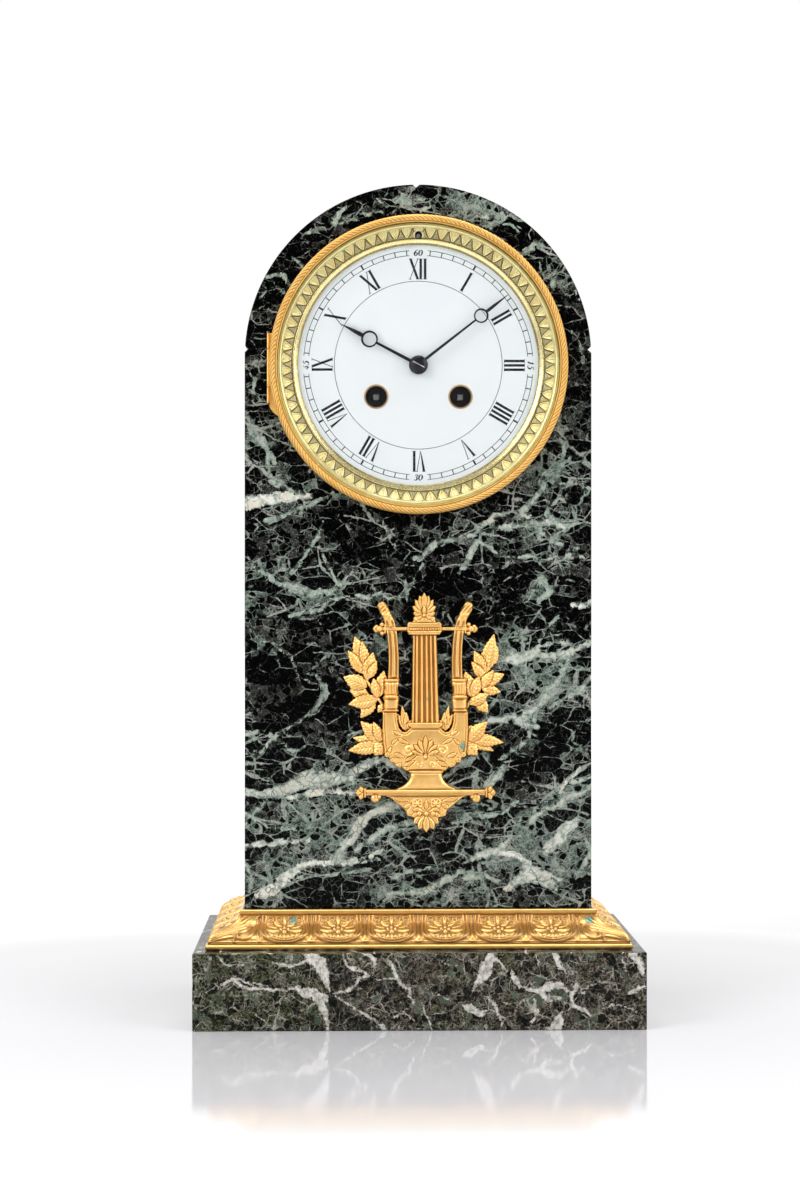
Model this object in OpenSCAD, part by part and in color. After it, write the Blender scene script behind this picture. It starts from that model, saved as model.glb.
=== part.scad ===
// Marble mantel clock with a round-topped case, gilt lyre mount and an
// eight-day striking movement. Millimetres. X to the right, front towards -Y,
// Z up, origin in the middle of the underside of the base.

/* [Case] */
// Width of the base slab
base_w = 230; // [228:1:234]
// Depth of the base slab
base_d = 150; // [148:1:156]
// Height of the base slab
base_h = 39.2; // [34:0.2:42]
// Width of the arched body
body_w = 179.5; // [178:0.5:180.5]
// Distance from the origin to the front face of the body
body_front = 45.5; // [45:0.5:46]
// Distance from the origin to the back face of the body
body_back = 71; // [70:0.5:71.5]
// Height at which the body starts
body_z0 = 58.4; // [58:0.1:60]
// Height of the centre of the round top
arch_z = 343; // [342:0.5:344]
// Thickness of the front slab
front_t = 14; // [13:0.5:15]
// Thickness of the back slab
back_t = 12; // [11:0.5:13]
// Thickness of the sides and of the roof blocks
side_t = 14; // [12:0.5:15]
// Height of the joint between a side slab and a roof block
joint_z = 347.6; // [347:0.1:348]
// Height of the arris chipped away at each joint
notch_h = 3.5; // [2:0.1:4]
// Depth of the arris chipped away at each joint
notch_d = 2; // [1:0.1:2.5]

/* [Gilt moulding] */
// Reach of the moulding from the body at its foot
mould_out = 19.5; // [18:0.1:19.6]
// Reach of the moulding from the body at its top
mould_in = 1.6; // [1.2:0.1:2]
// Height of the flat fillet at the foot
mould_foot = 3.1; // [2.5:0.1:3.5]
// Height of the flat fillet at the top
mould_cap = 2.4; // [2:0.1:3]
// Wall of the hollow casting
mould_wall = 2.4; // [2:0.1:3]

/* [Dial and bezel] */
// Height of the centre of the dial
dial_z = 339.2; // [339:0.1:339.6]
// Bore of the front slab and of the back slab
bore_r = 66; // [65.9:0.1:66.2]
// Outer radius of the hinged bezel
bezel_r = 77.2; // [76.8:0.1:77.6]
// Inner radius of the lip of the hinged bezel
bezel_lip = 72.9; // [72.8:0.05:73]
// How far the hinged bezel stands out from the body
bezel_out = 9; // [8.8:0.1:9.4]
// Radius of the bezel glass
glass_r = 74.2; // [74:0.1:74.3]
// Inner radius of the sight edge of the dial surround
sight_r = 62.1; // [62:0.1:62.4]
// Radius of the enamel dial
dial_r = 63.6; // [63.4:0.1:63.7]
// Sideways distance of each winding hole from the centre
wind_x = 21.8; // [21.7:0.05:21.9]
// Distance of each winding hole below the centre
wind_dz = 16.3; // [16.2:0.05:16.4]
// Radius of each winding hole inside its grommet
wind_r = 5.5; // [5.3:0.1:5.6]
// Distance of the regulator hole above the centre
reg_r = 66.6; // [66.4:0.1:66.8]

/* [Hands] */
// Angle of the hour hand, clockwise from twelve
hour_a = 297.7; // [290:0.1:305]
// Angle of the minute hand, clockwise from twelve
minute_a = 52; // [48:0.5:56]
// Reach of the hour hand
hour_len = 44.9; // [43:0.1:46]
// Reach of the minute hand
minute_len = 58.9; // [57:0.1:59.5]

/* [Movement] */
// Radius of the two movement plates
plate_r = 52; // [51.5:0.1:52.5]
// Radius of the arbors of the slow wheels
arbor_r = 1; // [0.9:0.05:1.05]
// Running clearance of an arbor in its hole
run_gap = 0.05; // [0.03:0.01:0.1]
// Teeth of each spring barrel
barrel_n = 72; // [72:72:72]
// Length of the seconds-setting pendulum from pivot to bob
pend_len = 151; // [145:1:155]
// Radius of the pendulum bob
bob_r = 20; // [18:0.5:22]
// Radius of the bell at its mouth
bell_r = 38; // [36:0.5:38.5]

/* [Hidden] */
$fn = 96;
half_w = body_w / 2;
in_r = half_w - side_t;
yf = -body_front;
yb = body_back;
core_w = half_w - 1.5;
// arbor places seen from the front: [right of centre, above centre]
G = [wind_x, -wind_dz];
B = [-wind_x, -wind_dz];
C = [0, 0];
E = [0, 26.5];
A = [0, 43];
m_bar = 0.58; m_sec = 0.5; m_cen = 0.29; m_thr = 0.27;
m_ss = 0.42; m_pin = 0.42; m_loc = 0.38;
S = meet(G, m_bar * 42, C, m_sec * 32, -1);
T = meet(C, m_cen * 52, E, m_thr * 52, 1);
S2 = B + m_bar * 42 * [cos(115), sin(115)];
P = S2 + m_ss * 40 * [cos(60), sin(60)];
K = P + m_pin * 32 * [cos(50), sin(50)];
F = K + m_loc * 28 * [cos(130), sin(130)];
M = [0, -12];
H = [-40, 27];
PILLARS = [[28, -40], [-28, -40], [38, 28], [-11, 47.5]];

// crossing of two circles, on the left (s=1) or right (s=-1) of the line p to q
function meet(p, rp, q, rq, s) =
  let (d = norm(q - p), a = (rp * rp - rq * rq + d * d) / (2 * d),
       h = sqrt(rp * rp - a * a), u = (q - p) / d)
  p + a * u + s * h * [-u[1], u[0]];
function dir(p, q) = atan2(q[1] - p[1], q[0] - p[0]);
// phase of a pinion of nb leaves that meshes with a wheel of na teeth at phase 0
function mesh_phase(p, q, na, nb) =
  let (f = dir(p, q)) f + 180 - (360 / nb) * (0.5 - f * na / 360);

// place a flat shape, drawn as [right, up] about the dial centre, from y0 to y1
module slab(y0, y1) {
  translate([0, y1, dial_z]) rotate([90, 0, 0]) linear_extrude(height = y1 - y0) children();
}
module rod(p, r, y0, y1) {
  translate([p[0], y1, dial_z + p[1]]) rotate([90, 0, 0]) cylinder(r = r, h = y1 - y0, $fn = 48);
}
module tube(p, r0, r1, y0, y1) {
  difference() { rod(p, r1, y0, y1); rod(p, r0, y0 - 1, y1 + 1); }
}
// ring turned about the dial axis from a profile of [radius, y]
module turned(prof, p = [0, 0]) {
  translate([p[0], 0, dial_z + p[1]]) rotate([-90, 0, 0])
    rotate_extrude($fn = 180) polygon(prof);
}
module teeth(n, m, ph, hr, ht, ha, hf) {
  rp = m * n / 2; ra = rp + ha * m; rf = rp - hf * m; st = 360 / n;
  polygon([for (i = [0:n - 1]) for (k = [0:3])
    let (a = ph + i * st + [-hr, -ht, ht, hr][k] * st, r = [rf, ra, ra, rf][k])
    [r * cos(a), r * sin(a)]]);
}
module wheel_teeth(n, m, ph = 0) { teeth(n, m, ph, 0.22, 0.09, 0.9, 1.2); }
module leaves(n, m, ph) { teeth(n, m, ph, 0.15, 0.08, 0.7, 1.3); }
// a wheel with crossings
module crossed_wheel(p, n, m, y0, y1, hub, arms = 5) {
  slab(y0, y1) translate(p) difference() {
    wheel_teeth(n, m);
    crossings(m * n / 2 - 1.9 * m - 0.9, hub, arms);
  }
}
module crossings(ro, ri, arms) {
  difference() {
    circle(r = ro, $fn = 64); circle(r = ri, $fn = 48);
    for (i = [0:arms - 1]) rotate(i * 360 / arms + 18) translate([0, -ro * 0.055 - 0.25])
      square([ro + 1, ro * 0.11 + 0.5]);
  }
}
module pinion(p, n, m, ph, y0, y1) { slab(y0, y1) translate(p) leaves(n, m, ph); }

// ---------- case ----------
module notch_cut() {
  for (s = [-1, 1]) translate([0, 200, 0]) rotate([90, 0, 0]) linear_extrude(height = 400)
    polygon([[s * (half_w + 1), joint_z - notch_h * 0.75], [s * (half_w - notch_d), joint_z],
             [s * (half_w + 1), joint_z + notch_h * 0.75]]);
  translate([0, 200, 0]) rotate([90, 0, 0]) linear_extrude(height = 400)
    polygon([[-3.6, arch_z + half_w + 0.6], [-1.2, arch_z + half_w - 1.6], [1.2, arch_z + half_w + 0.6]]);
}
module arch2d(r) {
  translate([0, arch_z]) circle(r = r, $fn = 180);
  translate([-r, body_z0]) square([2 * r, arch_z - body_z0]);
}
module arch_slab(y0, y1) {
  translate([0, y1, 0]) rotate([90, 0, 0]) linear_extrude(height = y1 - y0) arch2d(half_w);
}
module base_slab() color("darkslategray") difference() {
  translate([-base_w / 2, -base_d / 2, 0]) cube([base_w, base_d, base_h]);
  // eased top and side arrises
  for (s = [-1, 1]) {
    translate([s * base_w / 2, 0, base_h]) rotate([0, 45, 0]) cube([1.2, base_d + 2, 1.2], center = true);
    translate([0, s * base_d / 2, base_h]) rotate([45, 0, 0]) cube([base_w + 2, 1.2, 1.2], center = true);
    for (t = [-1, 1]) translate([s * base_w / 2, t * base_d / 2, base_h / 2]) rotate(45)
      cube([1.2, 1.2, base_h + 2], center = true);
  }
}
module plinth_step() color("dimgray")
  translate([-core_w, yf + 1.5, base_h]) cube([2 * core_w, yb - yf - 1.5, body_z0 - base_h]);

// moulding section as [reach from the body, height], an ogee between two fillets
function ogee(t, o0, o1, z0, z1) = [o0 + (o1 - o0) * (t - 0.13 * sin(360 * t)), z0 + (z1 - z0) * (t + 0.05 * sin(360 * t))];
mz0 = base_h; mz1 = body_z0 - 0.4;
o_foot = mould_out; o_cap = mould_in;
outer_pts = concat([[o_foot, mz0], [o_foot, mz0 + mould_foot]],
  [for (i = [0:12]) ogee(i / 12, o_foot - 0.8, o_cap + 1, mz0 + mould_foot, mz1 - mould_cap)],
  [[o_cap + 0.6, mz1 - mould_cap], [o_cap + 0.6, mz1], [-1.5, mz1]]);
inner_pts = concat([[-1.5, mz1 - mould_wall]],
  [for (i = [12:-1:2]) ogee(i / 12, o_foot - 0.8 - mould_wall, o_cap - 1.2, mz0 + mould_foot - 1.6, mz1 - mould_cap - 1.2)],
  [[o_foot - mould_wall - 1.6, mz0]]);
module mould_section() polygon(concat(outer_pts, inner_pts));
module mould_front_run() {
  translate([-half_w - 30, yf, 0]) rotate([90, 0, 90]) mirror([1, 0, 0])
    linear_extrude(height = body_w + 60) mould_section();
}
module mould_side_run(s) {
  translate([s * half_w, yb - 0.2, 0]) rotate([90, 0, 0]) mirror([s < 0 ? 1 : 0, 0, 0])
    linear_extrude(height = yb - yf + 30) mould_section();
}
// everything in front of the mitre planes
module mitre_zone(g) {
  translate([0, 0, base_h - 1]) linear_extrude(height = 40)
    polygon([[-half_w + 40 - g, yf + 40], [half_w - 40 + g, yf + 40], [half_w + 40 + g, yf - 40], [-half_w - 40 - g, yf - 40]]);
}
module moulding_front() color("goldenrod") intersection() { mould_front_run(); mitre_zone(0); }
module moulding_left() color("goldenrod") difference() { mould_side_run(-1); mitre_zone(0); }
module moulding_right() color("goldenrod") difference() { mould_side_run(1); mitre_zone(0); }

STUDS = [[-13.2, 208], [20.5, 208], [3.6, 146], [3.6, 115]];
module front_slab() color("darkolivegreen") difference() {
  arch_slab(yf, yf + front_t);
  rod(C, bore_r, yf - 1, yf + front_t + 1);
  rod([0, reg_r], 2.6, yf - 1, yf + front_t + 1);
  for (q = STUDS) translate([q[0], yf + front_t + 1, q[1]]) rotate([90, 0, 0]) cylinder(r = 1.75, h = front_t + 2, $fn = 32);
  notch_cut();
}
module back_slab() color("darkolivegreen") difference() {
  arch_slab(yb - back_t, yb);
  rod(C, bore_r, yb - back_t - 1, yb + 1);
  notch_cut();
}
module side_slab(s) difference() {
  translate([s > 0 ? half_w - side_t : -half_w, yf + front_t, body_z0])
    cube([side_t, yb - yf - front_t - back_t, joint_z - body_z0]);
  translate([0, 200, 0]) rotate([90, 0, 0]) linear_extrude(height = 400) difference() {
    translate([-half_w - 5, arch_z]) square([body_w + 10, 20]);
    translate([0, arch_z]) circle(r = half_w, $fn = 180);
  }
  translate([0, 200, arch_z]) rotate([90, 0, 0]) linear_extrude(height = 400) difference() {
    circle(r = in_r, $fn = 180); translate([-half_w, -body_w]) square([body_w, body_w]);
  }
  notch_cut();
}
module side_slab_left() color("darkolivegreen") side_slab(-1);
module side_slab_right() color("darkolivegreen") side_slab(1);
module roof(s) difference() {
  translate([0, yb - back_t, arch_z]) rotate([90, 0, 0])
    linear_extrude(height = yb - yf - front_t - back_t) intersection() {
      difference() { circle(r = half_w, $fn = 180); circle(r = in_r, $fn = 180); }
      translate([s > 0 ? -1.2 : -half_w - 1, joint_z - arch_z]) square([s > 0 ? half_w + 2.2 : half_w - 0.2, half_w]);
    }
  notch_cut();
}
module roof_left() color("darkolivegreen") roof(-1);
module roof_right() color("darkolivegreen") roof(1);

// ---------- lyre ----------
// the casting is laid out on a grid of 0.0856 mm with its top left corner above the lyre
lu = 0.08563;
module on_grid(y1) {
  translate([-40.95, yf, 227.5]) rotate([90, 0, 0]) scale([1, -1, 1])
    linear_extrude(height = y1) scale([lu, lu]) children();
}
module both() { children(); translate([1040, 0]) mirror([1, 0]) children(); }
function lens(n, l, w) = concat([for (i = [0:n]) [l * i / n, w / 2 * sin(180 * pow(i / n, 0.85))]],
  [for (i = [n - 1:-1:1]) [l * i / n, -w / 2 * sin(180 * pow(i / n, 0.85))]]);
module leaf(x, y, x1, y1, w) translate([x, y]) rotate(atan2(y1 - y, x1 - x)) polygon(lens(8, norm([x1 - x, y1 - y]), w));
module stem(x, y, x1, y1, w) translate([x, y]) rotate(atan2(y1 - y, x1 - x)) translate([0, -w / 2]) square([norm([x1 - x, y1 - y]), w]);
module lyre_mount() color("orange") {
  on_grid(4.2) both() {
    polygon([[228, 150], [245, 122], [275, 128], [300, 165], [335, 235], [352, 330], [360, 460], [360, 600],
             [293, 600], [299, 460], [290, 330], [270, 230], [240, 185]]);
    translate([200, 278]) square([235, 24]);
    polygon([[205, 286], [250, 243], [272, 262], [272, 312], [250, 330]]);
  }
  on_grid(4.8) both() polygon([[275, 590], [362, 590], [362, 640], [357, 700], [357, 785], [268, 785], [272, 700], [280, 640]]);
  on_grid(4.2) polygon([[262, 780], [262, 880], [275, 1040], [330, 1110], [430, 1150], [610, 1150], [710, 1110], [765, 1040],
    [778, 880], [778, 780], [683, 780], [690, 850], [660, 905], [625, 900], [612, 880], [428, 880], [415, 900], [380, 905],
    [350, 850], [357, 780]]);
  on_grid(2.4) both() { leaf(400, 900, 345, 790, 60); leaf(390, 900, 392, 755, 60); leaf(400, 895, 425, 830, 40); }
  on_grid(2.2) translate([437, 320]) square([166, 545]);
  on_grid(3.2) for (x = [437, 483, 529, 574]) translate([x, 320]) square([29, 545]);
  on_grid(4.6) { translate([412, 245]) square([203, 80]); translate([418, 855]) square([204, 30]); }
  on_grid(3.6) {
    translate([513, 160]) circle(r = 74, $fn = 48);
    translate([452, 160]) square([120, 90]);
    for (a = [-60:30:60]) translate([513, 165]) rotate(a) translate([0, -72]) circle(r = 22, $fn = 24);
  }
  on_grid(4.0) polygon([[430, 1145], [430, 1190], [400, 1225], [350, 1262], [700, 1262], [650, 1225], [620, 1190], [620, 1145]]);
  on_grid(4.8) { translate([100, 1256]) square([845, 38]);
    both() { translate([128, 1275]) circle(r = 34, $fn = 24); translate([214, 1312]) circle(r = 29, $fn = 24); } }
  on_grid(3.8) {
    polygon([[255, 1290], [350, 1335], [430, 1425], [625, 1425], [705, 1335], [795, 1290]]);
    translate([525, 1452]) circle(r = 68, $fn = 48);
    for (a = [-100:25:100]) translate([525, 1440]) rotate(a) translate([0, 68]) circle(r = 22, $fn = 24);
  }
  on_grid(2.8) {
    // left upper spray
    stem(275, 770, 165, 600, 26); stem(165, 600, 120, 470, 22);
    leaf(135, 520, 90, 335, 76); leaf(140, 520, 135, 362, 60); leaf(125, 560, 55, 420, 66);
    leaf(160, 590, 205, 430, 84); leaf(170, 590, 225, 480, 60); leaf(170, 640, 28, 575, 92);
    leaf(180, 650, 60, 655, 76); leaf(235, 705, 55, 745, 82); leaf(245, 715, 130, 828, 78);
    leaf(235, 700, 270, 545, 84); leaf(230, 700, 210, 580, 60); leaf(270, 740, 230, 790, 46);
    // right upper spray
    stem(765, 770, 860, 610, 26); stem(860, 610, 885, 500, 22);
    leaf(880, 560, 935, 320, 90); leaf(890, 560, 962, 400, 70); leaf(880, 560, 815, 420, 70);
    leaf(880, 570, 800, 490, 50); leaf(860, 620, 998, 565, 70); leaf(865, 640, 978, 668, 64);
    leaf(850, 650, 930, 535, 60); leaf(790, 720, 898, 793, 70); leaf(800, 700, 765, 545, 90);
    leaf(805, 700, 845, 570, 70); leaf(775, 745, 905, 680, 66);
    // lower sprays
    stem(275, 985, 200, 900, 24); leaf(262, 970, 128, 850, 84); leaf(262, 980, 205, 850, 62);
    leaf(265, 985, 55, 1022, 84); leaf(270, 985, 80, 945, 70); leaf(270, 975, 215, 1050, 84); leaf(275, 960, 255, 1040, 50);
    stem(765, 985, 850, 900, 24); leaf(770, 975, 893, 850, 86); leaf(765, 940, 800, 870, 60);
    leaf(775, 950, 995, 978, 76); leaf(780, 940, 935, 1025, 66); leaf(768, 985, 835, 1048, 84); leaf(765, 970, 800, 1030, 60);
  }
}
module lyre_studs() color("peru") for (q = STUDS) translate([q[0], 0, q[1]]) {
  translate([0, yf + front_t + 5, 0]) rotate([90, 0, 0]) cylinder(r = 1.5, h = front_t + 5, $fn = 32);
  translate([0, yf + front_t + 2.8, 0]) rotate([90, 0, 0]) difference() {
    cylinder(r = 3.8, h = 2.8, $fn = 6); translate([0, 0, -1]) cylinder(r = 1.5, h = 6, $fn = 32);
  }
}

// ---------- dial side ----------
y_dial = yf - 0.5;
hx = -77.6; hy = yf - 2.6;
bx = 57.8; by = yb + 2.3; bz = dial_z + 20;
module bezel_seat() color("gold") {
  difference() {
    union() {
      turned([[64.2, yf - 1.4], [76.5, yf - 1.4], [76.5, yf], [65.6, yf], [65.6, yf + 10.5], [60.5, yf + 10.5],
              [60.5, yf + 2.6 + 1.2], [60.5, yf + 2.6], [63.8, yf + 2.6], [63.8, yf - 0.4], [64.2, yf - 0.4]]);
    }
    rod([0, reg_r], 1.9, yf - 2, yf + 12);
  }
  // hinge leaf and its two outer knuckles
  difference() {
    translate([hx - 1.1, yf - 1.4, dial_z - 19.8]) cube([6, 1.4, 36]);
    rod(C, 76.4, yf - 3, yf + 1);
  }
  for (z = [dial_z - 19.8, dial_z + 8.2]) difference() {
    union() {
      translate([hx, hy, z]) cylinder(r = 1.1, h = 8, $fn = 48);
      translate([hx - 1.1, hy, z]) cube([2.2, yf - 0.7 - hy, 8]);
    }
    translate([hx, hy, z - 1]) cylinder(r = 0.5, h = 10, $fn = 32);
  }
}
module dial_surround() color("khaki") difference() {
  turned([[sight_r, y_dial - 0.02], [sight_r, yf - 1.6], [62.9, yf - 2.4], [64.4, yf - 2.7], [64.8, yf - 2.6],
          [65.8, yf - 3.6], [67.2, yf - 4.3], [68.8, yf - 4.9], [70.2, yf - 5.9], [70.5, yf - 6.4], [72.4, yf - 6.4],
          [72.4, yf - 1.4], [64.15, yf - 1.4], [64.15, y_dial - 0.02]]);
  rod([0, reg_r], 1.9, yf - 9, yf + 1);
}
module dial_plate() color("gold") difference() {
  union() {
    rod(C, 63.5, yf + 1.1, yf + 2.6);
    for (a = [45, 135, 225, 315]) rod([46 * cos(a), 46 * sin(a)], 2, yf + 2, yf + 9.5);
  }
  rod(C, 4, yf, yf + 4);
  for (q = [G, B]) rod(q, 6.4, yf, yf + 4);
}
module dial() color("aliceblue") difference() {
  rod(C, dial_r, y_dial, yf + 1.1);
  rod(C, 4, yf - 3, yf + 3);
  for (q = [G, B]) rod(q, wind_r + 0.3, yf - 3, yf + 3);
}
module winding_grommets() color("gold") for (q = [G, B]) translate([q[0], 0, dial_z + q[1]])
  rotate([-90, 0, 0]) rotate_extrude($fn = 96)
    polygon([[wind_r, y_dial - 0.5], [wind_r + 0.5, y_dial - 0.6], [wind_r + 0.8, y_dial - 0.01], [wind_r + 0.3, y_dial - 0.01],
             [wind_r + 0.3, yf + 1.6], [wind_r, yf + 1.6]]);
module movement_straps() color("gold") for (s = [-1, 1]) difference() {
  union() {
    translate([s > 0 ? 61.2 : -63, yf + 10.5, dial_z - 5]) cube([1.8, yb - yf - 10.5 - 14, 10]);
    translate([s > 0 ? 58.8 : -64.2, yb - 22, dial_z - 4]) cube([5.4, 8, 8]);
  }
  rod([s * 61.5, 0], 1.5, yb - 24, yb + 2);
}
module strap_screws() color("lightsteelblue") for (s = [-1, 1]) difference() {
  union() { rod([s * 61.5, 0], 1.5, yb - 21, yb + 1.4); rod([s * 61.5, 0], 3, yb + 1.4, yb + 2.9); }
  translate([s * 61.5 - 0.4, yb + 2.3, dial_z - 4]) cube([0.8, 2, 8]);
}
module back_ring() color("gold") {
  difference() {
    turned([[54, yb + 1.4], [69, yb + 1.4], [69, yb], [65.6, yb], [65.6, yb - 9], [64.3, yb - 9], [64.3, yb], [54, yb]]);
    for (s = [-1, 1]) rod([s * 61.5, 0], 1.5, yb - 2, yb + 4);
    translate([bx - 1.6, yb - 1, bz - 6.3]) cube([3.2, 6, 12.6]);
  }
  for (z = [bz - 16, bz + 6.3]) difference() {
    translate([bx, by, z]) union() {
      cylinder(r = 1.3, h = 9.7, $fn = 48);
      translate([-1.3, yb + 1 - by, 0]) cube([2.6, by - yb - 1, 9.7]);
    }
    translate([bx, by, z - 1]) cylinder(r = 0.6, h = 12, $fn = 32);
  }
}
module bezel_ring() color("goldenrod") {
  difference() {
    union() {
      turned([[bezel_lip, yf - bezel_out + 0.3], [73.6, yf - bezel_out], [76.4, yf - bezel_out], [77.1, yf - bezel_out + 0.8],
          [bezel_r, yf - 3], [bezel_r, yf - 1.7], [74.4, yf - 1.7], [74.4, yf - 8.3], [bezel_lip, yf - 8.3]]);
      translate([hx, hy, dial_z - 11.4]) cylinder(r = 1, h = 19.2, $fn = 48);
      difference() {
        translate([hx, hy - 1, dial_z - 11.4]) cube([2.4, 1.6, 19.2]);
        rod(C, 77, yf - 10, yf);
      }
    }
    translate([hx, hy, dial_z - 15]) cylinder(r = 0.56, h = 24, $fn = 32);
    for (z = [-21, 7.9]) translate([hx, hy, dial_z + z]) cylinder(r = 1.4, h = z < 0 ? 9.5 : 9, $fn = 48);
  }
}
module bezel_glass() color([0.8, 0.9, 0.95, 0.3])
  turned([[0, yf - 8.3], [73.4, yf - 8.3], [glass_r, yf - 8.0], [glass_r, yf - 6.9], [0, yf - 6.9]]);
module glass_ring() color("gold") difference() {
  rod(C, 74.4, yf - 6.9, yf - 5.4);
  rod(C, 73, yf - 8, yf - 3);
}
module hinge_pins() color("lightsteelblue") {
  translate([hx, hy, dial_z - 20.2]) cylinder(r = 0.5, h = 36.8, $fn = 32);
  for (z = [dial_z - 20.6, dial_z + 16.2]) translate([hx, hy, z]) cylinder(r = 0.9, h = 0.8, $fn = 32);
  translate([bx, by, bz - 16.5]) cylinder(r = 0.6, h = 33, $fn = 32);
}
module back_door() color("gold") {
  difference() {
    union() {
      rod(C, 55.6, yb + 1.5, yb + 2.5);
      turned([[52.6, yb + 2.5], [55.6, yb + 2.5], [55.2, yb + 3.1], [53.2, yb + 3.1]]);
      translate([48, yb + 1.5, bz - 6]) cube([bx - 48, 1, 12]);
    }
    translate([bx - 1.2, yb + 1, bz - 6.1]) cube([4, 4, 12.2]);
  }
  difference() {
    translate([0, 0, bz - 5.9]) {
      translate([bx, by, 0]) cylinder(r = 1.3, h = 11.8, $fn = 48);
      translate([bx - 2, yb + 1.5, 0]) cube([2, 1, 11.8]);
    }
    translate([bx, by, bz - 8]) cylinder(r = 0.65, h = 16, $fn = 32);
  }
  // pull
  rod([-46, 0], 1.2, yb + 2.5, yb + 3.2);
  rod([-46, 0], 2.6, yb + 3.2, yb + 3.9);
}

// ---------- movement frame ----------
yp0 = -36; yp1 = -34; yq0 = 2; yq1 = 4;
module pivot_holes(y0, y1) {
  for (q = [S, T, E, S2, P, K, F]) rod(q, arbor_r * 0.6 + run_gap, y0, y1);
  rod(A, 1 + run_gap, y0, y1);
  rod(C, 1.4 + run_gap, y0, y1);
  rod(H, 1.2 + run_gap, y0, y1);
  for (q = [G, B]) rod(q, 2.6 + run_gap, y0, y1);
}
module front_plate() color("gold") difference() {
  rod(C, plate_r, yp0, yp1);
  pivot_holes(yp0 - 1, yp1 + 1);
  rod(M, 1, yp0 - 1, yp1 + 1);
  for (q = CLICKS) rod(q, 1, yp0 - 1, yp1 + 1);
  for (q = PILLARS) rod(q, 1.5, yp0 - 1, yp1 + 1);
}
module back_plate() color("gold") difference() {
  rod(C, plate_r, yq0, yq1);
  pivot_holes(yq0 - 1, yq1 + 1);
  rod(S2, 1.6, yq0 - 1, yq1 + 1);
  for (q = PILLARS) rod(q, 1.5, yq0 - 1, yq1 + 1);
  for (q = [BELL_POST, [-5, 48], [5, 48]]) rod(q, 1.25, yq0 - 1, yq1 + 1);
}
module pillars() color("gold") for (q = PILLARS) {
  rod(q, 2.5, yp1, yq0); rod(q, 1.5, yp0 - 0.6, yp1); rod(q, 1.5, yq0, yq1 + 0.6);
  rod(q, 3, yp1, yp1 + 1.2); rod(q, 3, yq0 - 1.2, yq0);
}
BELL_POST = [14, -23];

// ---------- power ----------
module barrel(q) {
  difference() {
    union() {
      slab(-24, -21.6) translate(q) wheel_teeth(barrel_n, m_bar);
      rod(q, 20, -21.6, -5);
    }
    rod(q, 18.8, -22.8, -6.2);
    rod(q, 2.6 + run_gap, -26, -3);
  }
  // mainspring, coiled against the wall
  tube(q, 12, 18.6, -22, -7);
}
module winder(q) {
  rod(q, 2.6, -38, yq1 + 0.8);
  rod(q, 5, -21, -8);
  translate([q[0] - 1.85, -42.2, dial_z + q[1] - 1.85]) cube([3.7, 4.6, 3.7]);
  slab(-38, -36.6) translate(q) ratchet(20, 8.4, 7.2);
}
module ratchet(n, ra, ri) polygon([for (i = [0:n - 1]) each
  [[ri * cos(i * 360 / n), ri * sin(i * 360 / n)], [ra * cos(i * 360 / n), ra * sin(i * 360 / n)]]]);
CLICKS = [G + [11.6, 2], B + [-11.6, 2]];
module click(q, s) {
  difference() {
    slab(-38, -36.6) translate(q) { circle(r = 2, $fn = 32); polygon([[s * 1.9, 0.5], [s * -1.6, -1.2], [s * -3.6, -6], [s * -2.6, -6.6]]); }
    rod(q, 0.5, -40, -37.9);
  }
  rod(q, 0.9, -36.7, yp1 - 0.4);
}
module going_barrel() color("gold") barrel(G);
module strike_barrel() color("gold") barrel(B);
module going_arbor() color("lightsteelblue") winder(G);
module strike_arbor() color("lightsteelblue") winder(B);
module going_click() color("lightsteelblue") click(CLICKS[0], 1);
module strike_click() color("lightsteelblue") click(CLICKS[1], -1);

// ---------- going train ----------
module arbor(q, r, y0 = -33.8, y1 = 1.8) {
  rod(q, r, y0, y1);
  rod(q, arbor_r * 0.6, yp0, y0); rod(q, arbor_r * 0.6, y1, yq1);
}
module second_wheel() color("gold") {
  arbor(S, arbor_r);
  pinion(S, 12, m_bar, mesh_phase(G, S, barrel_n, 12), -25, -20.6);
  crossed_wheel(S, 56, m_sec, -2.8, -1.2, 3);
}
module centre_wheel() color("gold") {
  rod(C, 1.4, -50.4, yq1);
  crossed_wheel(C, 96, m_cen, -31, -29.6, 3);
  pinion(C, 8, m_sec, mesh_phase(S, C, 56, 8), -4, -0.4);
}
module third_wheel() color("gold") {
  arbor(T, 0.9);
  pinion(T, 8, m_cen, mesh_phase(C, T, 96, 8), -32.4, -28.4);
  crossed_wheel(T, 96, m_thr, -26.6, -25.2, 2.5);
}
module escape_wheel() color("gold") {
  arbor(E, 0.8);
  pinion(E, 8, m_thr, mesh_phase(T, E, 96, 8), -27.8, -24.2);
  slab(-22.2, -20.8) translate(E) difference() {
    polygon([for (i = [0:31]) each [[10.9 * cos(i * 11.25 - 4.6), 10.9 * sin(i * 11.25 - 4.6)],
      [12.5 * cos(i * 11.25 - 0.6), 12.5 * sin(i * 11.25 - 0.6)], [12.5 * cos(i * 11.25), 12.5 * sin(i * 11.25)],
      [10.9 * cos(i * 11.25 + 0.8), 10.9 * sin(i * 11.25 + 0.8)]]]);
    crossings(9.6, 2.4, 5);
  }
}
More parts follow.
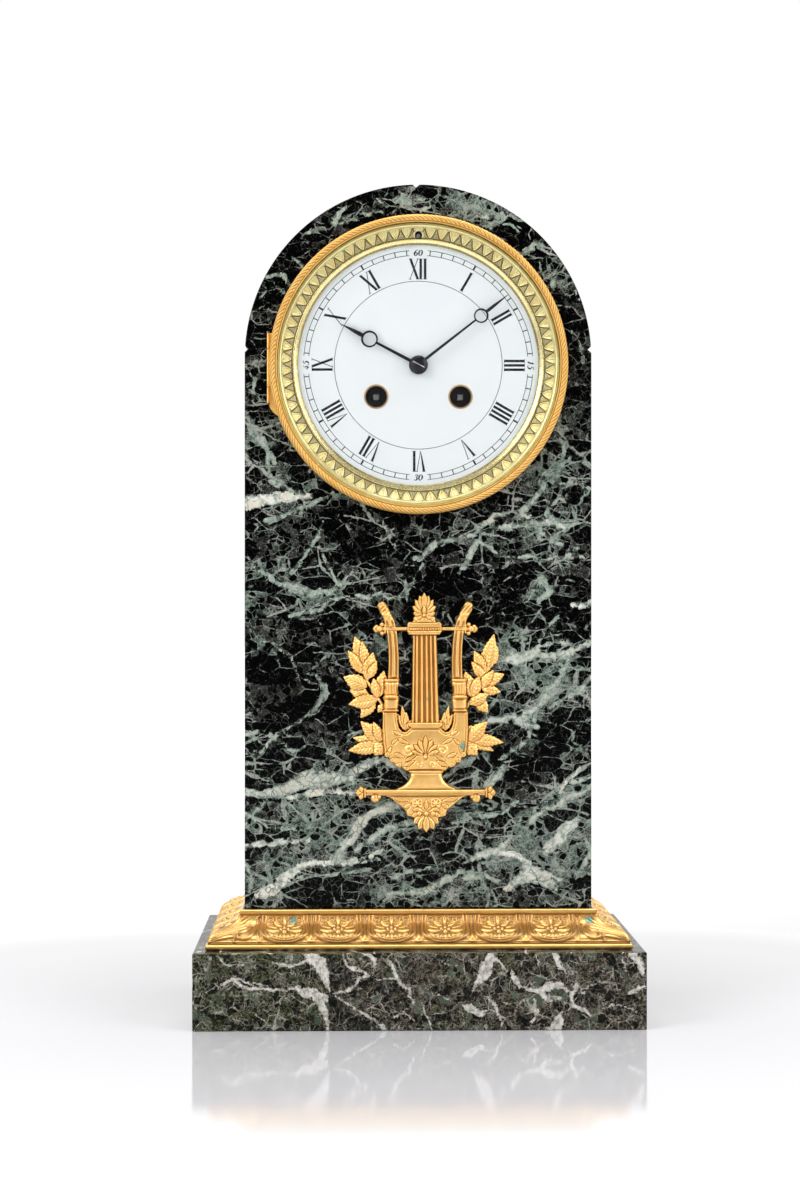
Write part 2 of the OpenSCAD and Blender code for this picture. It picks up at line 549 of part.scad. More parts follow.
module anchor() color("lightsteelblue") {
  rod(A, 1, yp0, 8.6);
  rod(A, 2.4, -22.6, -20.4);
  slab(-22.4, -20.6) translate(A) for (s = [-1, 1])
    polygon([[0, 2.4], [s * 6, 0.4], [s * 11.6, -5.6], [s * 11.9, -7.7], [s * 10.2, -6.6], [s * 5.4, -2.2], [0, -1.6]]);
  // crutch with its fork
  rod(A, 2.2, 6.4, 8.4);
  slab(6.8, 8) translate(A) polygon([[-1, 0], [1, 0], [0.8, -27], [-0.8, -27]]);
  slab(6.8, 13.4) translate(A) { translate([-2.4, -28]) square([1.1, 3]); translate([1.3, -28]) square([1.1, 3]); }
  slab(6.8, 8) translate(A) translate([-2.4, -28]) square([4.8, 3]);
}
pz = A[1] - pend_len;
module pendulum_rod() color("gold") {
  translate([-1, 10.4, dial_z + pz - bob_r + 1]) cube([2, 1.2, -pz + bob_r - 1 + A[1] - 10]);
  translate([0, 11, dial_z + pz - bob_r - 8]) cylinder(r = 0.9, h = 10, $fn = 32);
  translate([-3, 10, dial_z + A[1] - 13]) cube([6, 2, 4.8]);
  difference() {
    translate([-2.2, 10.4, dial_z + A[1] - 8.4]) cube([4.4, 1.2, 4]);
    rod([0, A[1] - 6.2], 0.9, 8, 14);
  }
}
module pendulum_bob() color("gold") difference() {
  turned([[0, 6.6], [14, 6.9], [18.6, 7.9], [bob_r, 9.8], [bob_r, 12.2], [18.6, 14.1], [14, 15.1], [0, 15.4]], [0, pz]);
  translate([-1.05, 10.35, dial_z + pz - bob_r - 2]) cube([2.1, 1.3, 2 * bob_r + 4]);
  translate([0, 11, dial_z + pz - bob_r - 1]) cylinder(r = 1.05, h = 3.4, $fn = 32);
}
module rating_nut() color("gold") difference() {
  union() {
    translate([0, 11, dial_z + pz - bob_r - 4.2]) cylinder(r = 4, h = 2.4, $fn = 48);
    translate([0, 11, dial_z + pz - bob_r - 5]) cylinder(r = 2.2, h = 1, $fn = 48);
  }
  translate([0, 11, dial_z + pz - bob_r - 6]) cylinder(r = 0.95, h = 8, $fn = 32);
}
module suspension_cock() color("gold") difference() {
  union() {
    // foot on the plate, bridge and upright
    translate([-9, yq1, dial_z + 45.6]) cube([18, 2, 5]);
    translate([-9, yq1, dial_z + 48.2]) cube([18, 12, 2.8]);
    translate([-5, yq1 + 2, dial_z + 50]) cube([10, 2, 19]);
    rod([0, reg_r], 5, yq1 + 2, yq1 + 4);
    translate([-4, yq1 + 4, dial_z + 46]) cube([8, 5, 2.4]);
    for (s = [-1, 1]) rod([s * 5, 48], 1.2, yq0, yq1 + 1);
  }
  translate([-2.2, 10.2, dial_z + 45]) cube([4.4, 1.6, 8]);
  rod([0, reg_r], 1 + run_gap, 0, 20);
  rod([0, reg_r - 8.5], 0.8, 0, 20);
}
module suspension_spring() color("lightsteelblue") {
  translate([-2, 10.85, dial_z + A[1] - 4]) cube([4, 0.3, 10.4]);
  translate([-2.2, 10.2, dial_z + A[1] + 3.6]) cube([4.4, 1.6, 3.2]);
  translate([-2.2, 10.2, dial_z + A[1] - 4]) cube([4.4, 1.6, 1.4]);
}
module regulator_arbor() color("lightsteelblue") {
  rod([0, reg_r], 1, yf - 2, 9);
  translate([-0.7, yf - 4.4, dial_z + reg_r - 0.7]) cube([1.4, 2.6, 1.4]);
  pinion([0, reg_r], 10, 0.5, mesh_phase([0, reg_r - 8.5], [0, reg_r], 24, 10), 8.4, 10.6);
}
module regulator_wheel() color("gold") {
  slab(8.6, 10.4) translate([0, reg_r - 8.5]) wheel_teeth(24, 0.5);
  rod([0, reg_r - 8.5], 0.75, 6, 12);
}

// ---------- motion work and hands ----------
module cannon_pinion() color("lightsteelblue") difference() {
  union() {
    rod(C, 2.2, -47.9, -36.2);
    slab(-39, -36.8) leaves(12, 0.5, mesh_phase(M, C, 36, 12));
    rod(C, 1.9, -50, -47.9);
  }
  rod(C, 1.45, -51, -35);
}
module minute_wheel() color("gold") {
  difference() {
    union() {
      crossed_wheel(M, 36, 0.5, -38.3, -37.1, 3.2, 4);
      pinion(M, 10, 0.48, mesh_phase(C, M, 40, 10), -41.6, -38.3);
    }
  }
  rod(M, 0.95, -41.8, -34.6);
}
module hour_wheel() color("gold") difference() {
  union() { crossed_wheel(C, 40, 0.48, -41.2, -40, 4); rod(C, 3, -48.2, -40); }
  rod(C, 2.3, -50, -38);
}
module hand_shape(len, ring_at, ring_o, ring_i, hub_o, w0, w1, tip_w) {
  circle(r = hub_o, $fn = 48);
  polygon([[-w0 / 2, 0], [w0 / 2, 0], [w1 / 2, ring_at - ring_i - 0.3], [-w1 / 2, ring_at - ring_i - 0.3]]);
  difference() { translate([0, ring_at]) circle(r = ring_o, $fn = 64); translate([0, ring_at - 0.2]) circle(r = ring_i, $fn = 64); }
  polygon([[-tip_w / 2, ring_at + ring_o - 0.3], [tip_w / 2, ring_at + ring_o - 0.3], [0.12, len], [-0.12, len]]);
}
module hour_hand() color("midnightblue") difference() {
  slab(-48.1, -47.3) rotate(-hour_a) hand_shape(hour_len, 28.6, 4.35, 3.4, 5, 1.9, 1.3, 2);
  rod(C, 3, -50, -46);
}
module minute_hand() color("midnightblue") difference() {
  slab(-49.6, -48.9) rotate(-minute_a) hand_shape(minute_len, 41.1, 3.8, 2.9, 3.6, 1.6, 1, 1.6);
  rod(C, 1.9, -52, -46);
}
module hand_collet() color("dimgray") difference() {
  union() {
    turned([[0, -51], [2.6, -50.8], [4.2, -50.2], [4.6, -49.6], [0, -49.6]]);
    slab(-51.5, -50.8) rotate(-hour_a) translate([-0.35, -3.2]) square([0.7, 6.4]);
  }
  rod(C, 1.45, -50.6, -49);
  rod(C, 1.9, -50.02, -49);
}

// ---------- striking train ----------
module strike_second_wheel() color("gold") {
  rod(S2, arbor_r, -33.8, 1.8);
  rod(S2, arbor_r * 0.6, yp0, -33.8); rod(S2, 1.5, 1.8, 8);
  pinion(S2, 12, m_bar, mesh_phase(B, S2, barrel_n, 12), -25, -20.6);
  crossed_wheel(S2, 72, m_ss, -2.8, -1.2, 3);
  // count wheel with one slot before each hour's run of blows
  slab(5.4, 6.8) translate(S2) difference() {
    circle(r = 15, $fn = 120);
    for (h = [1:12]) rotate(-(h * (h + 1) / 2 + h) * 4) translate([13, -0.5]) square([3, 1]);
    crossings(11, 3.4, 4);
  }
}
module pin_wheel() color("gold") {
  arbor(P, arbor_r);
  pinion(P, 8, m_ss, mesh_phase(S2, P, 72, 8), -4, -0.4);
  crossed_wheel(P, 56, m_pin, -9.4, -7.8, 3);
  for (i = [0:9]) rod(P + 9.9 * [cos(i * 36), sin(i * 36)], 0.5, -7.9, -5.2);
}
module locking_wheel() color("gold") {
  arbor(K, 0.9);
  pinion(K, 8, m_pin, mesh_phase(P, K, 56, 8), -10.4, -6.6);
  crossed_wheel(K, 48, m_loc, -13.4, -12, 2.4);
  rod(K + [5.6, 5.6], 0.5, -12.1, -10.8);
}
module fly() color("gold") {
  arbor(F, 0.8);
  pinion(F, 8, m_loc, mesh_phase(K, F, 48, 8), -14.4, -11);
  slab(-31, -18) translate(F) { translate([-5, -0.3]) square([10, 0.6]); circle(r = 1.4, $fn = 32); }
}
module hammer() color("lightsteelblue") {
  rod(H, 1.2, yp0, 26);
  // tail towards the pin wheel
  slab(-6.8, -5.6) translate(H) rotate(dir(H, P)) polygon([[0, -1.6], [norm(P - H) - 11, -0.5], [norm(P - H) - 11, 0.5], [0, 1.6]]);
  rod(H, 2.2, -7.2, -5.2);
  // stem and head outside the back plate
  rod(H, 2.2, 23.4, 25.8);
  slab(24, 25.2) translate(H) rotate(dir(H, HEAD)) translate([0, -0.6]) square([norm(HEAD - H), 1.2]);
  translate([HEAD[0], 24.6, dial_z + HEAD[1]]) rotate([0, -dir(HEAD, C), 0]) rotate([0, 90, 0])
    translate([0, 0, -4.5]) cylinder(r = 3, h = 9, $fn = 32);
}
HEAD = [-43.6, -4];
module bell() color("gold") turned([[3, 43.4], [10, 42.9], [20, 40], [28, 34.6], [33.6, 28], [36.6, 22.6], [bell_r, 20.2],
  [bell_r - 1.2, 20], [35.2, 22.2], [32.2, 27.2], [26.8, 33.2], [19.2, 38.4], [9.6, 41.2], [3, 41.6]]);
module bell_stand() color("lightsteelblue") {
  rod(BELL_POST, 1.25, yq0 - 0.6, yq1);
  rod(BELL_POST, 2, yq1, 29);
  slab(26.6, 29) { translate(BELL_POST) circle(r = 3.4, $fn = 32); circle(r = 3.4, $fn = 32);
    rotate(dir(C, BELL_POST)) translate([0, -2]) square([norm(BELL_POST), 4]); }
  rod(C, 2.2, 29, 41.6);
  rod(C, 3, 41.6, 43.4);
  translate([0, 46, dial_z]) rotate([90, 0, 0]) cylinder(r = 4.6, h = 2.6, $fn = 6);
}

base_slab();
plinth_step();
moulding_front();
moulding_left();
moulding_right();
front_slab();
back_slab();
side_slab_left();
side_slab_right();
roof_left();
roof_right();
lyre_mount();
lyre_studs();
bezel_seat();
dial_surround();
dial_plate();
dial();
winding_grommets();
movement_straps();
strap_screws();
back_ring();
bezel_ring();
bezel_glass();
glass_ring();
hinge_pins();
back_door();
front_plate();
back_plate();
pillars();
going_barrel();
going_arbor();
going_click();
strike_barrel();
strike_arbor();
strike_click();
second_wheel();
centre_wheel();
third_wheel();
escape_wheel();
anchor();
pendulum_rod();
pendulum_bob();
rating_nut();
suspension_cock();
suspension_spring();
regulator_arbor();
regulator_wheel();
cannon_pinion();
minute_wheel();
hour_wheel();
hour_hand();
minute_hand();
hand_collet();
strike_second_wheel();
pin_wheel();
locking_wheel();
fly();
hammer();
bell();
bell_stand();
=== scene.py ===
import math
import bpy
import bmesh
import numpy as np
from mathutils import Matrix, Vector


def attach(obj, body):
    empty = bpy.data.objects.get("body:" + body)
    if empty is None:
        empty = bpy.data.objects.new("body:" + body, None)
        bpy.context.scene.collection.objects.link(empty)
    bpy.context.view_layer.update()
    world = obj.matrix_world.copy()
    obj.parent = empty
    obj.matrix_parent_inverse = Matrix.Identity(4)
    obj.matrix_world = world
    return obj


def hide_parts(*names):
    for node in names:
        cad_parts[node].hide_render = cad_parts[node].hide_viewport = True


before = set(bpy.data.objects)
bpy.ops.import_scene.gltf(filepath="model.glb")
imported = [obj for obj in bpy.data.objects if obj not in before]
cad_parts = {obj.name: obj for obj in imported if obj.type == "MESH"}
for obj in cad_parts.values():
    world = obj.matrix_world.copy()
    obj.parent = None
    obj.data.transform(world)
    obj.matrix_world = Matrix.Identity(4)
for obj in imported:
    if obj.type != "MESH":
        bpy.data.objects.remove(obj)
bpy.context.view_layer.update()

MM = 0.001

# driving sizes, in millimetres, the same as in the frame
HALF_W = 89.75
YF, YB = -45.5, 71.0
DZ = 339.2
BASE_H, BODY_Z0 = 39.2, 58.4
HOUR_A, MINUTE_A = 297.7, 52.0
WX, WZ = 21.8, -16.3


# ------------------------------------------------------------------ camera
def make_camera():
    cd = bpy.data.cameras.new("photo_camera")
    cam = bpy.data.objects.new("photo_camera", cd)
    bpy.context.collection.objects.link(cam)
    cd.sensor_fit = "AUTO"
    cd.sensor_width = 36.0
    cd.lens = 71.28
    cd.clip_start, cd.clip_end = 0.05, 60.0
    cam.location = (-0.0364, -1.275, 0.2177)
    cam.rotation_euler = (math.radians(90), 0, math.radians(-1.254))
    bpy.context.scene.camera = cam


make_camera()


# ------------------------------------------------------------------ node helpers
class Tree:
    """A short way to write shader nodes. Values are numbers, tuples or output sockets."""

    def __init__(self, nt):
        self.nt = nt

    def put(self, sock, v):
        if isinstance(v, bpy.types.NodeSocket):
            self.nt.links.new(v, sock)
        elif isinstance(v, (int, float)):
            try:
                sock.default_value = v
            except TypeError:
                sock.default_value = [v] * len(sock.default_value)
        else:
            v = tuple(v)
            n = len(sock.default_value)
            sock.default_value = (v + (1.0,))[:n] if len(v) < n else v[:n]

    def node(self, kind, **kw):
        n = self.nt.nodes.new(kind)
        for k, v in kw.items():
            setattr(n, k, v)
        return n

    def obj(self):
        return self.node("ShaderNodeTexCoord").outputs["Object"]

    def math(self, op, a, b=0.0, clamp=False):
        n = self.node("ShaderNodeMath", operation=op, use_clamp=clamp)
        self.put(n.inputs[0], a)
        if op not in ("ABSOLUTE", "SINE", "COSINE", "FRACT", "SQRT", "FLOOR"):
            self.put(n.inputs[1], b)
        return n.outputs[0]

    def add(self, a, b):
        return self.math("ADD", a, b)

    def sub(self, a, b):
        return self.math("SUBTRACT", a, b)

    def mul(self, a, b):
        return self.math("MULTIPLY", a, b)

    def mx(self, a, b):
        return self.math("MAXIMUM", a, b)

    def mn(self, a, b):
        return self.math("MINIMUM", a, b)

    def vec(self, op, a, b=(0, 0, 0), scale=None):
        n = self.node("ShaderNodeVectorMath", operation=op)
        self.put(n.inputs[0], a)
        if op == "SCALE":
            self.put(n.inputs["Scale"], scale)
        elif op not in ("LENGTH", "NORMALIZE", "ABSOLUTE"):
            self.put(n.inputs[1], b)
        return n.outputs["Value" if op in ("LENGTH", "DOT_PRODUCT", "DISTANCE") else "Vector"]

    def mapping(self, v, loc=(0, 0, 0), rot=(0, 0, 0), scale=(1, 1, 1)):
        n = self.node("ShaderNodeMapping")
        self.put(n.inputs["Vector"], v)
        self.put(n.inputs["Location"], loc)
        self.put(n.inputs["Rotation"], [math.radians(a) for a in rot])
        self.put(n.inputs["Scale"], scale)
        return n.outputs[0]

    def noise(self, v, scale, detail=2.0, rough=0.5, out="Fac", lac=2.0, dist=0.0):
        n = self.node("ShaderNodeTexNoise")
        self.put(n.inputs["Vector"], v)
        self.put(n.inputs["Scale"], scale)
        self.put(n.inputs["Detail"], detail)
        self.put(n.inputs["Roughness"], rough)
        self.put(n.inputs["Lacunarity"], lac)
        self.put(n.inputs["Distortion"], dist)
        return n.outputs[out]

    def voro(self, v, scale, feature="DISTANCE_TO_EDGE", rand=1.0, out="Distance"):
        n = self.node("ShaderNodeTexVoronoi", feature=feature)
        self.put(n.inputs["Vector"], v)
        self.put(n.inputs["Scale"], scale)
        self.put(n.inputs["Randomness"], rand)
        return n.outputs[out]

    def warp(self, v, scale, amount, detail=2.0, loc=(0, 0, 0)):
        """Moves a point by a smooth random vector up to amount."""
        c = self.noise(self.mapping(v, loc=loc), scale, detail, out="Color")
        c = self.vec("SUBTRACT", c, (0.5, 0.5, 0.5))
        return self.vec("ADD", v, self.vec("SCALE", c, scale=2 * amount))

    def rng(self, v, a, b, lo=0.0, hi=1.0, smooth=True):
        n = self.node("ShaderNodeMapRange", interpolation_type="SMOOTHSTEP" if smooth else "LINEAR")
        n.clamp = True
        for k, x in zip(("Value", "From Min", "From Max", "To Min", "To Max"), (v, a, b, lo, hi)):
            self.put(n.inputs[k], x)
        return n.outputs[0]

    def mix(self, f, a, b, blend="MIX"):
        n = self.node("ShaderNodeMix", data_type="RGBA", blend_type=blend)
        self.put(n.inputs["Factor"], f)
        self.put(n.inputs[6], a)
        self.put(n.inputs[7], b)
        return n.outputs[2]

    def fmix(self, f, a, b):
        n = self.node("ShaderNodeMix", data_type="FLOAT")
        self.put(n.inputs["Factor"], f)
        self.put(n.inputs[2], a)
        self.put(n.inputs[3], b)
        return n.outputs[0]

    def ramp(self, f, stops, interp="LINEAR"):
        n = self.node("ShaderNodeValToRGB")
        n.color_ramp.interpolation = interp
        el = n.color_ramp.elements
        while len(el) < len(stops):
            el.new(0.5)
        for e, (p, c) in zip(el, stops):
            e.position = p
            e.color = (*c, 1) if len(c) == 3 else c
        self.put(n.inputs[0], f)
        return n.outputs[0]

    def bump(self, height, strength=0.3, distance=0.0005, normal=None):
        n = self.node("ShaderNodeBump")
        self.put(n.inputs["Height"], height)
        n.inputs["Strength"].default_value = strength
        n.inputs["Distance"].default_value = distance
        if normal is not None:
            self.put(n.inputs["Normal"], normal)
        return n.outputs[0]


def material(name):
    m = bpy.data.materials.new(name)
    m.use_nodes = True
    nt = m.node_tree
    nt.nodes.clear()
    out = nt.nodes.new("ShaderNodeOutputMaterial")
    b = nt.nodes.new("ShaderNodeBsdfPrincipled")
    nt.links.new(b.outputs[0], out.inputs[0])
    return m, Tree(nt), b


# ------------------------------------------------------------------ marbles
def lattice(ix, iy, seed):
    """Repeatable pseudo-random number for each whole-number place."""
    h = (ix.astype(np.int64) * 374761393 + iy.astype(np.int64) * 668265263 + seed * 974711) & 0xFFFFFFFF
    h = ((h ^ (h >> 13)) * 1274126177) & 0xFFFFFFFF
    h = ((h ^ (h >> 16)) * 2246822519) & 0xFFFFFFFF
    return ((h ^ (h >> 15)) & 0xFFFFFF) / float(0xFFFFFF)


def vnoise(x, y, seed=0):
    """Smooth value noise in 0..1 with one feature per unit."""
    ix, iy = np.floor(x), np.floor(y)
    fx, fy = x - ix, y - iy
    fx, fy = fx * fx * fx * (fx * (fx * 6 - 15) + 10), fy * fy * fy * (fy * (fy * 6 - 15) + 10)
    a, b_ = lattice(ix, iy, seed), lattice(ix + 1, iy, seed)
    c, d = lattice(ix, iy + 1, seed), lattice(ix + 1, iy + 1, seed)
    return (a * (1 - fx) + b_ * fx) * (1 - fy) + (c * (1 - fx) + d * fx) * fy


def fbm(x, y, seed=0, octaves=4, gain=0.55):
    s, w, t_ = 0.0, 1.0, 0.0
    for k in range(octaves):
        s = s + w * vnoise(x * 2 ** k + 17.3 * k, y * 2 ** k - 9.1 * k, seed + k)
        t_ += w
        w *= gain
    return s / t_


def polyline_field(x, y, pts, w):
    """Width minus distance along a path: positive inside. w is a width at each point, in mm."""
    best = np.full_like(x, -1e3)
    for (x0, y0), (x1, y1), wa, wb in zip(pts, pts[1:], w, w[1:]):
        ex, ey = x1 - x0, y1 - y0
        h = np.clip(((x - x0) * ex + (y - y0) * ey) / (ex * ex + ey * ey + 1e-9), 0, 1)
        d = np.hypot(x - x0 - ex * h, y - y0 - ey * h)
        best = np.maximum(best, (wa + (wb - wa) * h) / 2 - d)
    return best


def paint_veins(x, z, veins, to_mm, wob=1.0, seed=3):
    """Fields of the listed veins: depth inside a vein in mm, and how white it is."""
    wx = x + wob * (1.6 * (fbm(x / 7, z / 7, seed, 3) - 0.5) + 1.5 * (fbm(x / 2.2, z / 2.2, seed + 9, 3) - 0.5)) * 1.6
    wz = z + wob * (1.6 * (fbm(x / 7, z / 7, seed + 21, 3) - 0.5) + 1.5 * (fbm(x / 2.2, z / 2.2, seed + 33, 3) - 0.5)) * 1.6
    rag = fbm(x / 2.6, z / 2.6, seed + 50, 4, 0.7) - 0.5
    band, white = np.full_like(x, -50.0), np.zeros_like(x)
    for path, width, wh in veins:
        pts = [to_mm(*p) for p in path]
        if isinstance(width, (int, float)):
            width = [width] * len(path)
        w = [v_ / 1.9325 * 0.86 for v_ in width]
        f = polyline_field(wx, wz, pts, w)
        f = f + rag * min(1.9, 0.35 + 0.45 * max(w))
        white = np.where(f > band, wh, white)
        band = np.maximum(band, f)
    return band, white


def islands(x, z, blobs, to_mm):
    """Sum of soft spots: (px, py, radius in px, weight)."""
    s = np.zeros_like(x)
    for (px, py, r, w) in blobs:
        cx, cz = to_mm(px, py)
        s = s + w * np.exp(-((x - cx) ** 2 + (z - cz) ** 2) / (r / 1.9325) ** 2)
    return s


def body_marble(name, shift=(0, 0, 0), turn=0.0, painted=False):
    """Near-black serpentine full of fine pale grains, broken by an angular web of grey-green and white calcite."""
    m, t, b = material(name)
    p0 = t.vec("SCALE", t.obj(), scale=1000.0)
    p = t.mapping(p0, loc=shift, rot=(0, 0, turn))
    low = t.warp(p, 0.045, 2.4, 1.0)
    mid = t.warp(low, 0.22, 0.8, 1.0, loc=(31, 7, 3))
    fine = t.warp(mid, 1.0, 0.22, 1.0, loc=(3, 17, 23))
    diag = t.mapping(fine, rot=(0, 26, 0), scale=(0.66, 0.85, 1.15))
    if painted:
        att = t.node("ShaderNodeAttribute", attribute_name="marble")
        sp = t.node("ShaderNodeSeparateXYZ")
        t.put(sp.inputs[0], att.outputs["Vector"])
        band_mm, white_in, dens = sp.outputs[0], sp.outputs[1], sp.outputs[2]
    else:
        dens = t.noise(t.mapping(low, rot=(0, 24, 0), scale=(0.5, 1, 1.3)), 0.032, 3.0, 0.55)
        dens = t.rng(dens, 0.34, 0.66, 0.05, 1.0, smooth=False)
        band = t.noise(t.mapping(mid, loc=(9, 3, 30), rot=(0, 26, 0), scale=(0.35, 0.6, 1.3)), 0.055, 4.0, 0.6)
        band_mm = t.rng(band, 0.56, 0.76, -4.0, 6.0, smooth=False)
        white_in = t.rng(t.noise(t.mapping(p, loc=(3, 90, 3)), 0.02, 2.0), 0.45, 0.62)
    lean = t.sub(dens, 0.5)
    # broken cells at two sizes: their borders carry veins, some of them are clasts
    q2 = t.mapping(diag, loc=(11, 5, 9))
    q3 = t.mapping(fine, loc=(4, 9, 1))
    n1 = t.voro(diag, 0.055)
    n2, n3 = t.voro(q2, 0.13), t.voro(q3, 0.31)
    n4 = t.voro(t.mapping(fine, loc=(9, 2, 7), scale=(1, 1, 1.2)), 0.78)
    c2, c3 = t.node("ShaderNodeSeparateColor"), t.node("ShaderNodeSeparateColor")
    t.put(c2.inputs[0], t.voro(q2, 0.13, "F1", out="Color"))
    t.put(c3.inputs[0], t.voro(q3, 0.31, "F1", out="Color"))
    k1 = t.noise(t.mapping(p, loc=(50, 0, 0)), 0.075, 3.0, 0.6)
    k2 = t.noise(t.mapping(p, loc=(0, 50, 0)), 0.13, 3.0, 0.6)
    k3 = t.noise(t.mapping(p, loc=(0, 0, 50)), 0.24, 3.0, 0.6)
    w1 = t.mul(t.rng(k2, 0.35, 0.65, 0.010, 0.042), t.rng(dens, 0.0, 1.0, 0.7, 1.5, False))
    v1 = t.mul(t.sub(1.0, t.rng(n1, t.mul(w1, 0.6), w1)), t.rng(t.add(k1, t.mul(lean, 0.20)), 0.47, 0.53))
    w2 = t.mul(t.rng(k3, 0.35, 0.65, 0.012, 0.060), t.rng(dens, 0.0, 1.0, 0.7, 1.4, False))
    v2 = t.mul(t.sub(1.0, t.rng(n2, t.mul(w2, 0.55), w2)), t.rng(t.add(k2, t.mul(lean, 0.20)), 0.44, 0.53))
    w3 = t.rng(k1, 0.35, 0.65, 0.022, 0.080)
    v3 = t.mul(t.sub(1.0, t.rng(n3, t.mul(w3, 0.5), w3)), t.rng(t.add(k3, t.mul(lean, 0.24)), 0.455, 0.56))
    v4 = t.mul(t.sub(1.0, t.rng(n4, 0.04, 0.15)), t.rng(t.add(k2, t.mul(lean, 0.26)), 0.50, 0.58))
    crush = t.noise(t.mapping(fine, loc=(1, 2, 3)), 0.62, 5.0, 0.74)
    grain = t.noise(p, 1.15, 4.0, 0.75)
    # bands, chipped at the edge, with black islands and hair cracks
    ragged = t.add(band_mm, t.add(t.mul(t.sub(crush, 0.5), 1.7), t.add(t.mul(t.sub(grain, 0.5), 0.9), t.mul(t.sub(c3.outputs[0], 0.5), 1.0))))
    bands = t.rng(ragged, -0.06, 0.16)
    core = t.rng(t.add(ragged, t.mul(white_in, 1.2)), 0.6, 2.0)
    clast3 = t.mul(t.rng(t.add(c3.outputs[1], t.mul(lean, -0.45)), 0.55, 0.58), t.rng(n3, 0.03, 0.07))
    clast2 = t.mul(t.rng(t.add(c2.outputs[1], t.mul(lean, -0.60)), 0.55, 0.58), t.rng(n2, 0.012, 0.028))
    clasts = t.mx(clast2, clast3)
    isle = t.mul(clast3, t.rng(band_mm, 2.2, 0.3, 0.0, 0.9, False))
    crack = t.mul(t.sub(1.0, t.rng(n3, 0.02, 0.08)), t.rng(k2, 0.48, 0.58, 0.0, 0.75))
    bands = t.mul(bands, t.sub(1.0, t.mx(isle, t.mul(crack, t.rng(band_mm, 0.3, 1.2, 0.0, 0.8, False)))))
    fine_web = t.mx(t.mul(t.mul(v3, 0.62), t.sub(1.0, t.mul(clast2, 0.7))), t.mul(t.mul(v4, 0.50), t.sub(1.0, clasts)))
    web = t.mx(t.mx(t.mul(v1, 0.90), t.mul(v2, 0.80)), fine_web)
    web = t.mul(web, t.rng(grain, 0.34, 0.50, 0.12, 1.0))
    vein = t.mx(web, bands)
    zone = t.rng(t.add(t.noise(t.mapping(diag, loc=(6, 1, 44)), 0.07, 3.0, 0.62), t.mul(lean, 0.42)), 0.49, 0.61)
    ground = t.mul(t.mul(zone, t.sub(1.0, clasts)), t.rng(t.add(crush, t.mul(k3, 0.25)), 0.54, 0.68, 0.12, 1.0))
    salt = t.mul(t.rng(grain, 0.535, 0.66), t.rng(t.add(k3, t.mul(lean, 0.2)), 0.38, 0.60, 0.22, 1.0))
    salt = t.mul(salt, t.sub(1.0, t.mul(clasts, 0.85)))
    hue = t.noise(t.mapping(low, loc=(70, 3, 9)), 0.07, 2.0)
    matrix = t.mix(t.rng(grain, 0.36, 0.60), (0.0035, 0.0035, 0.0032), (0.042, 0.0425, 0.038))
    matrix = t.mix(t.rng(t.noise(t.mapping(fine, loc=(8, 8, 80)), 0.20, 3.0, 0.62), 0.48, 0.62, 0.0, 0.8), matrix, (0.0050, 0.0046, 0.0046))
    dark = t.mix(clasts, matrix, (0.0003, 0.0002, 0.0003))
    green = t.mix(t.rng(crush, 0.42, 0.62), (0.030, 0.040, 0.033), (0.150, 0.212, 0.172))
    pg = t.mix(t.rng(t.noise(fine, 0.5, 4.0, 0.7), 0.36, 0.64), (0.120, 0.172, 0.138), (0.33, 0.385, 0.325))
    wh = t.mix(t.rng(t.noise(t.mapping(fine, loc=(5, 5, 5)), 0.36, 4.0, 0.68), 0.32, 0.62), (0.23, 0.27, 0.22), (0.67, 0.66, 0.60))
    cream = t.mix(t.rng(t.noise(t.mapping(p, loc=(5, 95, 5)), 0.09, 2.0), 0.50, 0.62, 0.0, 0.8), wh, (0.60, 0.55, 0.46))
    grey = t.mix(t.rng(k1, 0.40, 0.60), (0.210, 0.235, 0.210), (0.36, 0.37, 0.33))
    col = t.mix(salt, dark, (0.165, 0.170, 0.155))
    col = t.mix(t.mul(ground, 0.9), col, green)
    whiteness = t.mx(t.mul(t.rng(hue, 0.42, 0.58, 0.15, 0.80), t.sub(1.0, bands)), t.mul(t.mul(core, bands), t.rng(white_in, 0.0, 1.0, 0.20, 1.0, False)))
    bright = t.mix(t.mul(core, bands), grey, cream)
    col = t.mix(vein, col, t.mix(whiteness, pg, bright))
    t.put(b.inputs["Base Color"], col)
    t.put(b.inputs["Roughness"], t.add(t.fmix(vein, 0.10, 0.20), t.mul(grain, 0.05)))
    b.inputs["Specular IOR Level"].default_value = 0.04
    pits = t.rng(t.noise(t.mapping(p, loc=(0, 4, 0)), 2.2, 3.0, 0.7), 0.30, 0.5)
    t.put(b.inputs["Normal"], t.bump(pits, 0.05, 0.0002))
    return m


